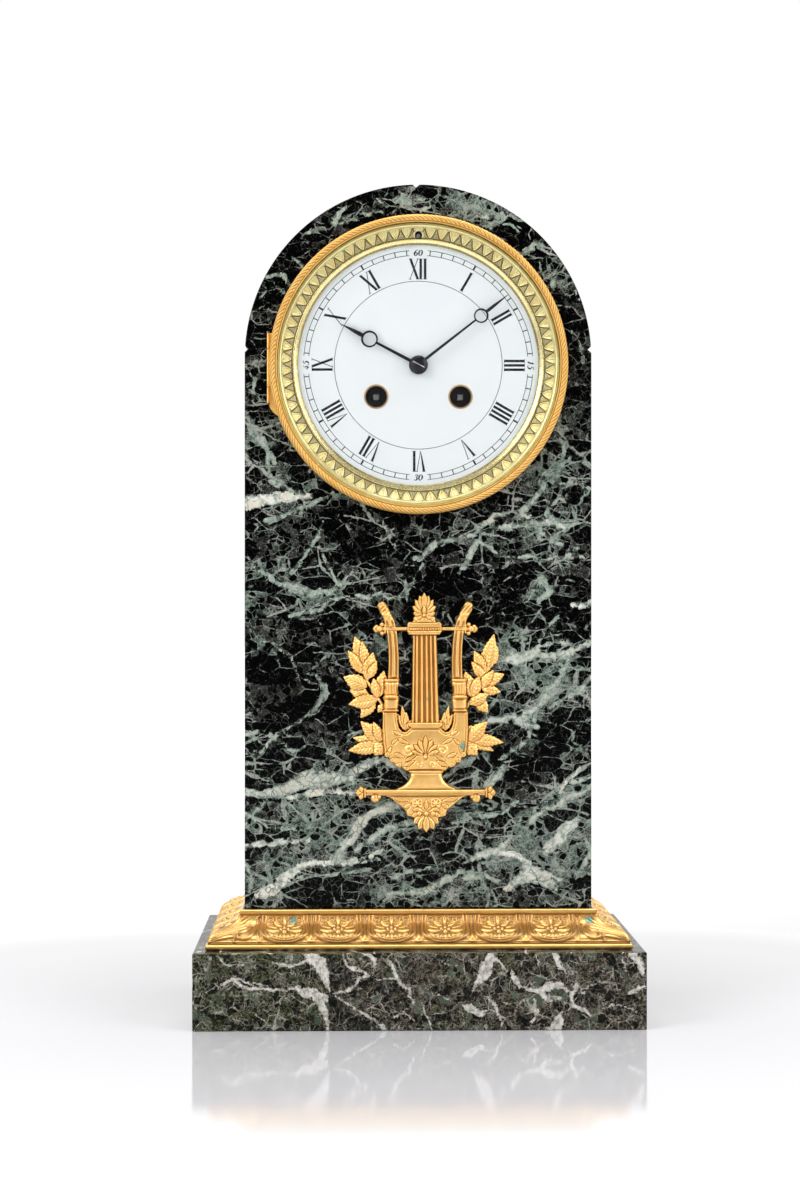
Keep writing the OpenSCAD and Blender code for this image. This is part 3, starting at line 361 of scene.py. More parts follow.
def base_marble(name, painted=False):
    """Olive and brown serpentine breccia, with dark clasts and loose white threads."""
    m, t, b = material(name)
    p = t.vec("SCALE", t.obj(), scale=1000.0)
    low = t.warp(p, 0.05, 3.0, 2.0, loc=(5, 40, 3))
    mid = t.warp(low, 0.18, 1.6, 2.0, loc=(13, 2, 60))
    fine = t.warp(mid, 0.7, 0.6, 2.0, loc=(2, 9, 4))
    if painted:
        att = t.node("ShaderNodeAttribute", attribute_name="marble")
        sp = t.node("ShaderNodeSeparateXYZ")
        t.put(sp.inputs[0], att.outputs["Vector"])
        band_mm, zone, black = sp.outputs[0], sp.outputs[1], sp.outputs[2]
    else:
        big = t.voro(t.mapping(low, scale=(1, 1, 1.1)), 0.040)
        band_mm = t.rng(big, 0.0, 0.10, 1.6, -6.0, False)
        band_mm = t.sub(band_mm, t.rng(t.noise(p, 0.06, 2.0), 0.40, 0.60, 3.0, 0.0))
        zone = t.rng(t.noise(t.mapping(p, loc=(60, 1, 1)), 0.03, 2.0), 0.40, 0.60)
        black = t.rng(t.noise(t.mapping(mid, loc=(9, 9, 9)), 0.07, 2.0), 0.60, 0.64)
    c1 = t.voro(t.mapping(mid, loc=(3, 8, 2), scale=(1, 1, 1.1)), 0.085)
    c2 = t.voro(t.mapping(fine, loc=(30, 8, 2)), 0.22)
    c3 = t.voro(t.mapping(fine, loc=(3, 80, 2)), 0.55)
    cell = t.voro(t.mapping(fine, loc=(30, 8, 2)), 0.22, "F1", out="Color")
    cs = t.node("ShaderNodeSeparateColor")
    t.put(cs.inputs[0], cell)
    grain = t.noise(fine, 0.75, 5.0, 0.74)
    cloud = t.noise(t.mapping(low, loc=(9, 9, 9)), 0.07, 3.0, 0.6)
    k1 = t.noise(t.mapping(p, loc=(7, 0, 0)), 0.11, 3.0, 0.6)
    k2 = t.noise(t.mapping(p, loc=(0, 7, 0)), 0.19, 3.0, 0.6)
    dark = t.mix(t.rng(grain, 0.42, 0.62), (0.0020, 0.0024, 0.0022), (0.0075, 0.009, 0.0065))
    olive = t.mix(t.rng(grain, 0.43, 0.65), (0.006, 0.0085, 0.0040), (0.092, 0.102, 0.048))
    brown = t.mix(t.rng(grain, 0.43, 0.65), (0.009, 0.0070, 0.0055), (0.118, 0.100, 0.072))
    col = t.mix(t.rng(t.add(cloud, t.mul(t.sub(zone, 0.5), 0.22)), 0.47, 0.56), olive, brown)
    fleck = t.rng(t.noise(t.mapping(fine, loc=(22, 3, 8)), 0.42, 5.0, 0.76), 0.57, 0.67, 0.0, 0.70)
    col = t.mix(fleck, col, (0.225, 0.212, 0.150))
    # clasts differ in tone; some are nearly black
    col = t.mix(t.mul(t.rng(cs.outputs[0], 0.46, 0.52), t.rng(c2, 0.02, 0.10, 0.0, 0.88)), col, dark)
    col = t.mix(t.mul(t.rng(cs.outputs[1], 0.78, 0.84), t.rng(c2, 0.03, 0.12, 0.0, 0.55)), col, (0.10, 0.135, 0.095))
    col = t.mix(t.mul(black, t.rng(grain, 0.40, 0.60, 0.95, 0.55)), col, (0.0035, 0.0042, 0.0050))
    w1 = t.rng(k2, 0.35, 0.65, 0.012, 0.050)
    v1 = t.mul(t.sub(1.0, t.rng(c1, t.mul(w1, 0.4), w1)), t.rng(k1, 0.46, 0.58))
    w2 = t.rng(k1, 0.35, 0.65, 0.02, 0.085)
    v2 = t.mul(t.sub(1.0, t.rng(c2, t.mul(w2, 0.3), w2)), t.rng(k2, 0.46, 0.60, 0.0, 0.8))
    v3 = t.mul(t.sub(1.0, t.rng(c3, 0.01, 0.12)), t.rng(t.noise(t.mapping(p, loc=(0, 0, 9)), 0.16, 3.0, 0.6), 0.44, 0.60, 0.0, 0.55))
    ragged = t.add(band_mm, t.add(t.mul(t.sub(grain, 0.5), 2.6), t.mul(t.sub(t.noise(p, 1.6, 2.0), 0.5), 0.5)))
    bands = t.rng(ragged, -0.12, 0.30)
    nets = t.mul(t.mx(t.mx(v1, v2), v3), t.sub(1.0, t.mul(black, 0.45)))
    vein = t.mx(nets, bands)
    tan = t.mix(t.rng(grain, 0.40, 0.62), (0.16, 0.145, 0.105), (0.42, 0.40, 0.35))
    bone = t.mix(t.rng(t.noise(fine, 0.4, 4.0, 0.66), 0.34, 0.64), (0.25, 0.245, 0.205), (0.66, 0.63, 0.59))
    col = t.mix(vein, col, t.mix(t.rng(ragged, 0.0, 0.7), tan, bone))
    t.put(b.inputs["Base Color"], col)
    t.put(b.inputs["Roughness"], t.add(0.13, t.mul(grain, 0.10)))
    b.inputs["Specular IOR Level"].default_value = 0.06
    t.put(b.inputs["Normal"], t.bump(t.noise(t.mapping(p, loc=(0, 4, 0)), 2.0, 4.0, 0.7), 0.06, 0.0002))
    return m


def fpx(px, py):
    """Front-face millimetres of a place given in the picture's frame."""
    return (px - 419.3) / 1.9325, 217.7 + (599 - py) / 1.9325


def bpx(px, py):
    """The same for the front of the base slab."""
    return (px - 417.5) / 1.98, 217.7 + (599 - py) / 1.98


# main pale veins of the front, listed one by one: path, full width, whiteness
FRONT_VEINS = [
    ([(244, 503), (262, 500), (285, 496), (310, 496)], [18, 15, 12, 9], 1.0),
    ([(268, 520), (290, 512), (310, 505), (335, 492)], [4, 6, 6, 3], 0.3),
    ([(256, 430), (266, 444), (277, 462)], [12, 9, 5], 0.2),
    ([(310, 470), (322, 462), (330, 478)], [4, 5, 3], 0.2),
    ([(268, 455), (272, 480), (300, 492)], [5, 6, 4], 0.3),
    ([(246, 567), (257, 567), (270, 576), (280, 583), (295, 587), (313, 593), (336, 588), (353, 573), (365, 583)], [2, 3, 5, 6, 10, 9, 6, 3, 2], 0.3),
    ([(319, 545), (326, 556), (330, 566), (336, 578), (339, 588)], [2, 3, 4, 4, 3], 0.6),
    ([(323, 520), (320, 535), (306, 556), (292, 572)], [2, 3, 5, 3], 0.4),
    ([(288, 616), (306, 612), (320, 610), (330, 599), (351, 594)], [3, 6, 6, 6, 3], 0.3),
    ([(358, 594), (368, 598), (381, 591), (389, 598), (407, 593), (414, 580), (424, 562)], [5, 5, 4, 4, 3, 3, 2], 0.5),
    ([(386, 524), (389, 532), (392, 542), (399, 549)], [4, 5, 4, 2], 0.5),
    ([(399, 549), (390, 555), (381, 555)], [3, 3, 2], 0.5),
    ([(412, 557), (422, 556), (430, 548), (440, 541), (460, 537), (478, 531), (486, 523)], [3, 6, 7, 6, 6, 7, 8], 0.35),
    ([(486, 523), (497, 514), (512, 511), (530, 515)], [9, 8, 6, 4], 0.7),
    ([(478, 541), (474, 549), (468, 560), (460, 572)], [8, 8, 7, 4], 0.35),
    ([(478, 541), (490, 546), (498, 553)], [5, 4, 2], 0.6),
    ([(498, 528), (520, 523), (545, 521), (560, 525), (577, 522)], [5, 7, 8, 9, 6], 0.6),
    ([(519, 516), (530, 504), (540, 492), (546, 478)], [7, 9, 8, 4], 0.25),
    ([(510, 556), (530, 556), (545, 560), (570, 554), (590, 556)], [3, 4, 5, 4, 3], 0.6),
    ([(540, 530), (556, 542), (580, 548)], [5, 4, 3], 0.4),
    ([(534, 584), (544, 578), (552, 590), (540, 600)], [7, 9, 7, 6], 0.1),
    ([(575, 604), (594, 602)], [6, 9], 1.0),
    ([(500, 658), (515, 658), (528, 655), (539, 650)], [8, 15, 14, 8], 0.65),
    ([(536, 652), (552, 656), (571, 652), (593, 641)], [7, 8, 9, 7], 0.5),
    ([(540, 646), (560, 641), (575, 645)], [4, 5, 3], 0.5),
    ([(593, 676), (581, 690), (570, 694), (552, 706)], [9, 6, 5, 4], 0.35),
    ([(572, 655), (566, 668), (556, 682), (544, 697)], [5, 6, 6, 6], 0.3),
    ([(551, 694), (542, 704), (530, 712), (516, 717), (496, 720), (476, 720)], [5, 7, 10, 9, 7, 4], 0.45),
    ([(512, 716), (524, 722), (538, 726)], [10, 13, 7], 0.45),
    ([(538, 712), (528, 738), (514, 750), (500, 760)], [5, 6, 6, 4], 0.3),
    ([(496, 700), (488, 712), (484, 722)], [4, 5, 3], 0.3),
    ([(560, 615), (548, 626), (540, 640)], [3, 3, 2], 0.3),
    ([(270, 640), (290, 655), (300, 676), (322, 684)], [2, 3, 4, 3], 0.4),
    ([(246, 622), (262, 640), (278, 644)], [3, 3, 2], 0.4),
    ([(246, 734), (258, 731), (272, 734), (294, 750), (310, 744)], [5, 5, 3, 3, 2], 0.5),
    ([(246, 751), (263, 750), (272, 738), (298, 722), (316, 706)], [3, 3, 3, 3, 2], 0.5),
    ([(318, 674), (326, 690), (318, 704), (310, 716)], [5, 8, 8, 4], 0.1),
    ([(350, 776), (368, 764), (383, 759), (402, 766)], [12, 13, 11, 5], 0.6),
    ([(244, 790), (262, 794), (278, 792), (292, 785), (306, 778), (330, 778), (352, 777)], [9, 10, 14, 18, 21, 18, 12], 0.5),
    ([(290, 797), (312, 793), (336, 790), (360, 792)], [6, 8, 7, 4], 0.9),
    ([(246, 822), (262, 804), (276, 790)], [3, 5, 6], 0.4),
    ([(336, 856), (346, 846), (356, 834), (364, 818), (378, 810), (392, 805), (410, 808)], [10, 13, 13, 13, 11, 10, 6], 0.6),
    ([(356, 850), (372, 838), (390, 826), (412, 822), (424, 826)], [6, 8, 8, 7, 4], 0.4),
    ([(334, 860), (352, 862), (380, 858)], [6, 6, 4], 0.7),
    ([(244, 846), (262, 843), (280, 841), (310, 838)], [6, 7, 7, 4], 0.8),
    ([(260, 894), (274, 888), (284, 878), (298, 868), (318, 862), (344, 862), (362, 858), (384, 848)], [11, 12, 13, 9, 7, 6, 5, 4], 1.0),
    ([(246, 863), (254, 872), (250, 892)], [5, 6, 3], 0.4),
    ([(292, 876), (330, 874), (372, 868)], [3, 4, 3], 0.4),
    ([(246, 812), (268, 826), (296, 828)], [4, 4, 3], 0.4),
    ([(388, 880), (410, 870), (440, 868), (470, 872)], [4, 5, 4, 3], 0.3),
    ([(380, 894), (404, 892), (426, 890), (442, 882), (458, 872)], [5, 8, 10, 10, 6], 0.45),
    ([(466, 878), (482, 874), (500, 880)], [6, 8, 5], 0.4),
    ([(474, 858), (486, 854), (500, 848), (512, 838)], [9, 10, 9, 6], 0.6),
    ([(500, 852), (514, 853), (528, 862), (544, 872), (560, 878)], [6, 7, 8, 8, 5], 1.0),
    ([(508, 888), (522, 878), (536, 872), (548, 880)], [8, 16, 20, 12], 0.75),
    ([(528, 866), (545, 876), (556, 888)], [12, 18, 8], 0.6),
    ([(549, 850), (560, 838), (568, 828), (577, 822)], [13, 17, 18, 10], 0.7),
    ([(526, 828), (536, 816), (548, 808)], [7, 11, 7], 0.4),
    ([(554, 808), (570, 798), (584, 792), (594, 786)], [7, 9, 9, 8], 0.45),
    ([(586, 764), (577, 772), (568, 780), (562, 792)], [5, 7, 7, 4], 0.9),
    ([(572, 782), (592, 777)], [5, 6], 0.6),
    ([(488, 786), (498, 776), (506, 767)], [8, 14, 9], 0.15),
    ([(446, 776), (460, 764), (474, 758)], [5, 8, 6], 0.15),
    ([(586, 838), (592, 852), (584, 866)], [5, 7, 4], 0.4),
    ([(446, 806), (466, 800), (490, 806)], [4, 5, 3], 0.2),
    ([(454, 822), (478, 816), (504, 812), (520, 800)], [4, 6, 5, 3], 0.3),
    ([(333, 222), (338, 215), (345, 207), (353, 204)], [6, 6, 4, 2], 0.25),
    ([(302, 236), (314, 229), (331, 228)], [3, 6, 5], 0.35),
    ([(331, 228), (336, 222), (340, 214)], [5, 7, 4], 0.25),
    ([(363, 213), (370, 215), (374, 210), (382, 211)], [3, 4, 4, 2], 0.35),
    ([(379, 198), (387, 205), (391, 204)], [2, 3, 2], 0.3),
    ([(398, 199), (404, 198), (409, 202)], [9, 12, 7], 0.0),
    ([(340, 223), (355, 218), (365, 217)], [2, 3.5, 3], 0.0),
    ([(409, 203), (413, 206), (417, 209)], [4, 4, 3], 0.1),
    ([(422, 210), (427, 207), (432, 205)], [4, 6, 3], 0.6),
    ([(419, 199), (425, 198), (431, 197)], [1.6, 2, 1.6], 0.6),
    ([(439, 195), (441, 204), (450, 200)], [2, 2.5, 2], 0.3),
    ([(478, 214), (483, 213), (487, 215)], [5, 7, 5], 0.7),
    ([(499, 222), (504, 217), (502, 210)], [3, 6, 4], 0.35),
    ([(483, 225), (492, 224), (502, 220)], [4, 6, 3], 0.2),
    ([(505, 222), (512, 222), (519, 231)], [3, 3, 1.6], 0.2),
    ([(523, 254), (528, 250), (534, 247), (537, 241), (545, 245)], [5, 8, 8, 5, 3], 0.2),
    ([(540, 259), (542, 273)], [3, 3.5], 0.1),
    ([(552, 277), (555, 284), (553, 291)], [3, 5, 3], 0.15),
    ([(553, 273), (560, 277), (566, 281), (577, 291), (581, 300)], [1.2, 1.4, 1.6, 1.6, 1.4], 0.6),
    ([(567, 299), (570, 304)], [2, 2], 0.7),
    ([(270, 277), (278, 275), (284, 275), (290, 283)], [4, 5, 5, 4], 0.1),
    ([(304, 243), (309, 248), (312, 255)], [2, 3, 2], 0.2),
    ([(260, 308), (265, 305), (264, 297)], [2, 2, 1.6], 0.4),
    ([(294, 257), (299, 261), (304, 265)], [3, 4, 3], 0.0),
    ([(279, 287), (284, 290), (288, 294)], [3, 4, 3], 0.0),
    ([(574, 330), (582, 345), (584, 362)], [2.5, 3, 2.5], 0.3),
    ([(246, 366), (256, 380), (254, 404)], [3, 4, 3], 0.3),
    ([(557, 437), (564, 442), (567, 447), (563, 456)], [5, 7, 6, 4], 0.1),
    ([(552, 470), (546, 472), (542, 480)], [4, 5, 4], 0.15),
    ([(560, 483), (574, 482), (585, 482), (593, 489)], [2, 2.6, 2.6, 2], 0.3),
    ([(544, 507), (551, 507), (558, 500), (561, 493)], [2.5, 3.5, 2.5, 2], 0.35),
    ([(560, 511), (571, 509), (581, 500), (591, 491)], [2, 3, 3, 2], 0.35),
    ([(547, 513), (553, 517), (558, 522)], [6, 8, 5], 0.0),
]
# calmer and busier places: px, py, radius px, weight
FRONT_ZONES = [
    (290, 695, 30, -0.75), (272, 660, 18, -0.4), (315, 640, 22, -0.35), (440, 600, 34, -0.6), (392, 700, 40, -0.45),
    (470, 625, 22, -0.4), (505, 590, 24, -0.5), (455, 565, 22, -0.4), (360, 545, 26, -0.35), (300, 555, 20, -0.2),
    (290, 715, 26, -0.5), (500, 740, 22, -0.3), (530, 770, 26, -0.4), (560, 735, 20, -0.3), (360, 800, 14, -0.2),
    (425, 800, 20, -0.25), (445, 845, 22, -0.3), (560, 610, 16, -0.3), (590, 630, 14, -0.35), (365, 760, 12, -0.2),
    (560, 505, 16, -0.1), (330, 520, 18, -0.25), (262, 545, 16, -0.2), (350, 700, 26, -0.5),
    (540, 520, 40, 0.35), (300, 480, 40, 0.25), (260, 440, 30, 0.35), (550, 680, 45, 0.35), (320, 600, 30, 0.2),
    (290, 850, 40, 0.3), (370, 840, 40, 0.3), (540, 860, 50, 0.35), (570, 800, 40, 0.3), (490, 720, 30, 0.25),
    (340, 800, 40, 0.2), (560, 470, 34, 0.35), (570, 430, 24, 0.25),
    (465, 202, 17, 0.6), (492, 216, 16, 0.55), (425, 202, 15, 0.35), (400, 196, 16, 0.3), (352, 214, 12, 0.25), (556, 268, 16, 0.35),
    (512, 236, 16, -0.4), (300, 245, 16, 0.2), (266, 290, 14, 0.2), (382, 220, 20, -0.25), (326, 240, 14, -0.2), (575, 330, 30, -0.1),
]
# white veins of the base front: path, width, then zone and black patches separately
BASE_VEINS = [
    ([(270, 962), (285, 965), (302, 961), (313, 956)], [3, 5, 5, 8], 1),
    ([(306, 953), (316, 962), (322, 975), (327, 990)], [12, 15, 11, 3], 1),
    ([(293, 987), (302, 992), (312, 992), (320, 1003), (324, 1017), (325, 1031)], [4, 12, 12, 10, 6, 3], 1),
    ([(312, 992), (324, 998)], [10, 8], 1),
    ([(190, 996), (212, 986), (230, 977), (238, 984), (246, 987), (262, 987), (285, 988), (296, 986)], [1.5, 2.5, 5, 5, 4, 4, 3, 4], 1),
    ([(232, 976), (248, 982), (268, 984)], [2, 2.5, 2], 1),
    ([(340, 953), (345, 964), (356, 969), (366, 974)], [2, 4, 4, 3], 1),
    ([(366, 974), (357, 977), (352, 986), (342, 990), (331, 993)], [3, 4, 3, 4, 2], 1),
    ([(364, 953), (372, 958), (370, 973)], [6, 5, 2], 0.6),
    ([(334, 995), (344, 1002), (354, 1008), (370, 1018), (384, 1030)], [2, 3, 3, 3, 6], 1),
    ([(382, 957), (390, 968), (398, 982), (404, 988)], [2, 4, 6, 3], 1),
    ([(408, 984), (407, 996), (411, 1004)], [3, 4, 3], 1),
    ([(374, 978), (392, 977)], [2, 2], 1),
    ([(436, 994), (452, 1000)], [1.5, 1.5], 1),
    ([(489, 955), (485, 966), (480, 976), (474, 984)], [8, 15, 12, 4], 0.8),
    ([(478, 976), (470, 992)], [5, 2], 0.8),
    ([(492, 958), (500, 964), (505, 973)], [5, 3, 2], 1),
    ([(510, 971), (514, 980), (520, 988), (530, 990), (538, 991), (547, 984), (559, 985), (566, 992)], [5, 7, 4, 4, 9, 10, 8, 3], 1),
    ([(538, 990), (546, 1000), (560, 996)], [6, 4, 3], 0.7),
    ([(462, 1004), (470, 1010), (478, 1013), (484, 1008)], [5, 9, 9, 3], 0.9),
    ([(486, 998), (494, 1008), (500, 1024)], [3, 4, 3], 0.9),
    ([(500, 1002), (510, 1004), (522, 1000)], [2, 2, 2], 1),
    ([(554, 954), (557, 963), (563, 973)], [7, 7, 3], 1),
    ([(533, 953), (535, 964)], [2, 2.5], 1),
    ([(621, 953), (622, 966), (626, 976)], [2, 3, 2], 1),
    ([(630, 953), (638, 962), (641, 972)], [9, 9, 5], 0.9),
    ([(626, 992), (634, 990), (644, 986)], [3, 6, 4], 0.9),
    ([(575, 986), (569, 996), (570, 1005), (580, 1010), (590, 1016)], [6, 6, 5, 4, 2], 1),
    ([(580, 994), (596, 980), (606, 982)], [2, 2.5, 2], 1),
    ([(532, 1000), (534, 1012), (528, 1026)], [4, 5, 3], 0.8),
    ([(559, 1010), (557, 1020), (552, 1030)], [2, 10, 18], 0.8),
    ([(420, 1002), (424, 1016), (430, 1028)], [2, 3, 3], 0.8),
    ([(392, 1016), (402, 1010), (412, 1020)], [2, 3, 2], 0.8),
    ([(218, 955), (224, 963), (240, 964)], [2, 3, 2], 0.8),
    ([(250, 1012), (262, 1020), (272, 1028)], [1.5, 2, 2], 0.6),
    ([(440, 960), (452, 966), (460, 962)], [1.5, 2, 1.5], 0.6),
    ([(600, 1008), (616, 1004), (636, 1012)], [1.5, 2, 1.5], 0.5),
]
BASE_BLACK = [[(327, 955), (344, 956), (356, 970), (340, 990), (330, 1010), (328, 975)], [(326, 1000), (338, 1000), (350, 1012), (368, 1022), (380, 1031), (328, 1031)],
              [(578, 996), (592, 984), (602, 988), (596, 1004), (586, 1006)], [(376, 976), (394, 978), (396, 990), (384, 1002), (372, 990)],
              [(512, 1014), (524, 1012), (526, 1026), (514, 1028)]]


def inside_poly(x, y, pts):
    d = np.full_like(x, 1e9)
    ins = np.zeros(x.shape, bool)
    n = len(pts)
    for i in range(n):
        (ax, ay), (cx, cy) = pts[i], pts[(i + 1) % n]
        ex, ey = cx - ax, cy - ay
        h = np.clip(((x - ax) * ex + (y - ay) * ey) / (ex * ex + ey * ey), 0, 1)
        d = np.minimum(d, np.hypot(x - ax - ex * h, y - ay - ey * h))
        ins ^= ((ay > y) != (cy > y)) & (x < ex * (y - ay) / ((cy - ay) if cy != ay else 1e-9) + ax)
    return np.where(ins, d, -d)


def front_fields(x, z):
    band, white = paint_veins(x, z, FRONT_VEINS, fpx, wob=0.6)
    low = np.clip((340 - z) / 170, 0, 1)
    dens = 0.26 + 0.26 * low + islands(x, z, FRONT_ZONES, fpx) + 0.5 * (fbm(x / 26, z / 22, 77, 3) - 0.5)
    return np.stack([np.clip(band, -12, 12), white, np.clip(dens, 0, 1)], -1)


def base_fields(x, z):
    band, _ = paint_veins(x, z, BASE_VEINS, bpx, wob=0.75, seed=40)
    zone = np.clip((x + 62) / 24, 0, 1)
    wx = x + 2.2 * (fbm(x / 4, z / 4, 8, 3) - 0.5)
    wz = z + 2.2 * (fbm(x / 4, z / 4, 18, 3) - 0.5)
    bl = np.full_like(x, -50.0)
    for pl in BASE_BLACK:
        bl = np.maximum(bl, inside_poly(wx, wz, [bpx(*q) for q in pl]))
    return np.stack([np.clip(band, -12, 12), zone, np.clip(bl / 1.2 + 0.5, 0, 1)], -1)


# ------------------------------------------------------------------ metals and the rest
def gilt(name, tone=(0.86, 0.50, 0.13), shade_and_dirt_tone=(0.36, 0.17, 0.035), rough=0.36, grain=1.0, spots=(), shade_and_dirt_gain=0.55, lacquer=0.0):
    """Fire-gilt bronze: warm, softly grained, darkened in the recesses by dirt and painted shade, with a painted
    highlight on high places.
    """
    m, t, b = material(name)
    p = t.vec("SCALE", t.obj(), scale=1000.0)
    n1 = t.noise(p, 0.16, 4.0, 0.6)
    n2 = t.noise(p, 2.6, 3.0, 0.7)
    tint = t.mix(t.rng(n1, 0.35, 0.66), tone, tuple(min(1.0, c * f) for c, f in zip(tone, (1.07, 1.14, 1.35))))
    # recesses are darkened: partly dirt and old lacquer, partly painted shade from the cavity map
    geo = t.node("ShaderNodeNewGeometry")
    pit = t.rng(geo.outputs["Pointiness"], 0.495, 0.44)
    att = t.node("ShaderNodeAttribute", attribute_name="cavity_shade")
    cav = t.mx(t.mul(pit, 0.55), att.outputs["Fac"])
    dirt_and_shade = t.mul(t.mul(cav, shade_and_dirt_gain), t.rng(n2, 0.15, 0.75, 0.75, 1.0))
    dust = t.mul(t.rng(t.noise(p, 0.7, 5.0, 0.7), 0.56, 0.70), 0.16)
    col = t.mix(t.mx(dirt_and_shade, dust), tint, shade_and_dirt_tone)
    # painted highlight: sharp crests are mixed towards a lighter gilt tone
    crest_highlight = t.rng(geo.outputs["Pointiness"], 0.52, 0.60, 0.0, 0.35)
    col = t.mix(crest_highlight, col, tuple(min(1.0, c * 1.25 + 0.06) for c in tone))
    # verdigris: small oval spots with a brown halo
    metal = t.sub(1.0, t.mul(t.mx(dirt_and_shade, dust), 0.35))
    for (x, z, rx, rz, k) in spots:
        d = t.vec("LENGTH", t.mapping(t.warp(p, 0.9, 0.7), scale=(1 / rx, 0, 1 / rz), loc=(-x / rx, 0, -z / rz)))
        d = t.add(d, t.mul(t.sub(n2, 0.5), 0.55))
        col = t.mix(t.sub(1.0, t.rng(d, 0.75, 1.45, 1.0 - 0.55 * k, 1.0)), col, (0.20, 0.12, 0.05))
        col = t.mix(t.sub(1.0, t.rng(d, 0.45, 1.0, 1.0 - k, 1.0)), col, (0.085, 0.345, 0.270))
        metal = t.mul(metal, t.rng(d, 0.6, 1.1, 1.0 - 0.8 * k, 1.0))
    t.put(b.inputs["Base Color"], col)
    t.put(b.inputs["Metallic"], metal)
    b.inputs["Coat Weight"].default_value = lacquer
    b.inputs["Coat Roughness"].default_value = 0.20
    t.put(b.inputs["Roughness"], t.add(rough - 0.06, t.mul(t.noise(p, 1.1, 4.0, 0.65), 0.16)))
    h = t.add(t.mul(n2, 0.6), t.mul(t.noise(p, 7.0, 2.0), 0.4))
    t.put(b.inputs["Normal"], t.bump(h, 0.22 * grain, 0.00012))
    return m


def brass(name, tone=(0.74, 0.53, 0.20), ring_axis=None, rough=0.26, tarnish=0.5):
    """Worked brass with fine tool lines, either straight or round an axis, and light tarnish."""
    m, t, b = material(name)
    p = t.vec("SCALE", t.obj(), scale=1000.0)
    if ring_axis:
        q = t.vec("SUBTRACT", p, (ring_axis[0], 0, ring_axis[1]))
        r = t.vec("LENGTH", t.mapping(q, scale=(1, 0, 1)))
        c = t.node("ShaderNodeCombineXYZ")
        t.put(c.inputs[0], r)
        lines = t.noise(c.outputs[0], 5.0, 2.0, 0.6)
        lines2 = t.noise(c.outputs[0], 0.9, 3.0, 0.6)
    else:
        lines = t.noise(t.mapping(p, scale=(0.05, 1, 3.0)), 2.2, 3.0, 0.6)
        lines2 = t.noise(t.mapping(p, scale=(0.2, 1, 1.0)), 0.6, 3.0, 0.6)
    cloud = t.noise(p, 0.055, 4.0, 0.6)
    col = t.mix(t.rng(cloud, 0.42, 0.72, 0.0, tarnish), tone, (0.38, 0.235, 0.085))
    col = t.mix(t.rng(lines2, 0.4, 0.7, 0.0, 0.18), col, (0.92, 0.75, 0.38))
    spots = t.rng(t.noise(t.mapping(p, loc=(4, 4, 4)), 0.8, 3.0, 0.6), 0.68, 0.78, 0.0, 0.5)
    col = t.mix(spots, col, (0.20, 0.12, 0.05))
    t.put(b.inputs["Base Color"], col)
    b.inputs["Metallic"].default_value = 1.0
    t.put(b.inputs["Roughness"], t.add(rough - 0.05, t.mul(t.mx(lines, cloud), 0.20)))
    t.put(b.inputs["Normal"], t.bump(lines, 0.12, 0.00006))
    return m


def steel(name, tone=(0.42, 0.42, 0.43), rough=0.3, blue=0.0):
    m, t, b = material(name)
    p = t.vec("SCALE", t.obj(), scale=1000.0)
    n = t.noise(t.mapping(p, scale=(3, 0.3, 3)), 1.5, 4.0, 0.6)
    c = t.noise(p, 0.25, 3.0)
    col = t.mix(t.rng(c, 0.35, 0.7), tone, tuple(x * 0.62 for x in tone))
    if blue:
        col = t.mix(t.rng(n, 0.3, 0.7, blue * 0.4, blue), col, (0.02, 0.035, 0.10))
    t.put(b.inputs["Base Color"], col)
    b.inputs["Metallic"].default_value = 1.0
    t.put(b.inputs["Roughness"], t.add(rough - 0.06, t.mul(n, 0.18)))
    t.put(b.inputs["Normal"], t.bump(n, 0.1, 0.00005))
    return m


def enamel(name):
    """Fired white enamel: faintly blue, very smooth, with a breath of orange-peel."""
    m, t, b = material(name)
    p = t.vec("SCALE", t.obj(), scale=1000.0)
    n = t.noise(p, 0.05, 3.0)
    col = t.mix(t.rng(n, 0.3, 0.7), (0.925, 0.962, 0.992), (0.945, 0.975, 0.998))
    speck = t.rng(t.noise(p, 1.1, 2.0, 0.6), 0.78, 0.82, 0.0, 0.35)
    col = t.mix(speck, col, (0.45, 0.42, 0.38))
    t.put(b.inputs["Base Color"], col)
    t.put(b.inputs["Roughness"], t.rng(n, 0.3, 0.7, 0.07, 0.12))
    b.inputs["Specular IOR Level"].default_value = 0.5
    b.inputs["Coat Weight"].default_value = 0.3
    b.inputs["Coat Roughness"].default_value = 0.04
    t.put(b.inputs["Normal"], t.bump(t.noise(p, 0.35, 2.0), 0.04, 0.0002))
    return m


def ink(name):
    m, t, b = material(name)
    p = t.vec("SCALE", t.obj(), scale=1000.0)
    n = t.noise(p, 1.2, 3.0)
    t.put(b.inputs["Base Color"], t.mix(t.rng(n, 0.3, 0.75), (0.006, 0.006, 0.008), (0.022, 0.022, 0.026)))
    t.put(b.inputs["Roughness"], t.rng(n, 0.3, 0.7, 0.22, 0.36))
    return m


def glass(name):
    m, t, b = material(name)
    p = t.vec("SCALE", t.obj(), scale=1000.0)
    b.inputs["Base Color"].default_value = (0.985, 0.995, 0.99, 1)
    b.inputs["Transmission Weight"].default_value = 1.0
    b.inputs["IOR"].default_value = 1.16
    t.put(b.inputs["Roughness"], t.rng(t.noise(p, 0.05, 3.0), 0.3, 0.8, 0.0, 0.015))
    return m


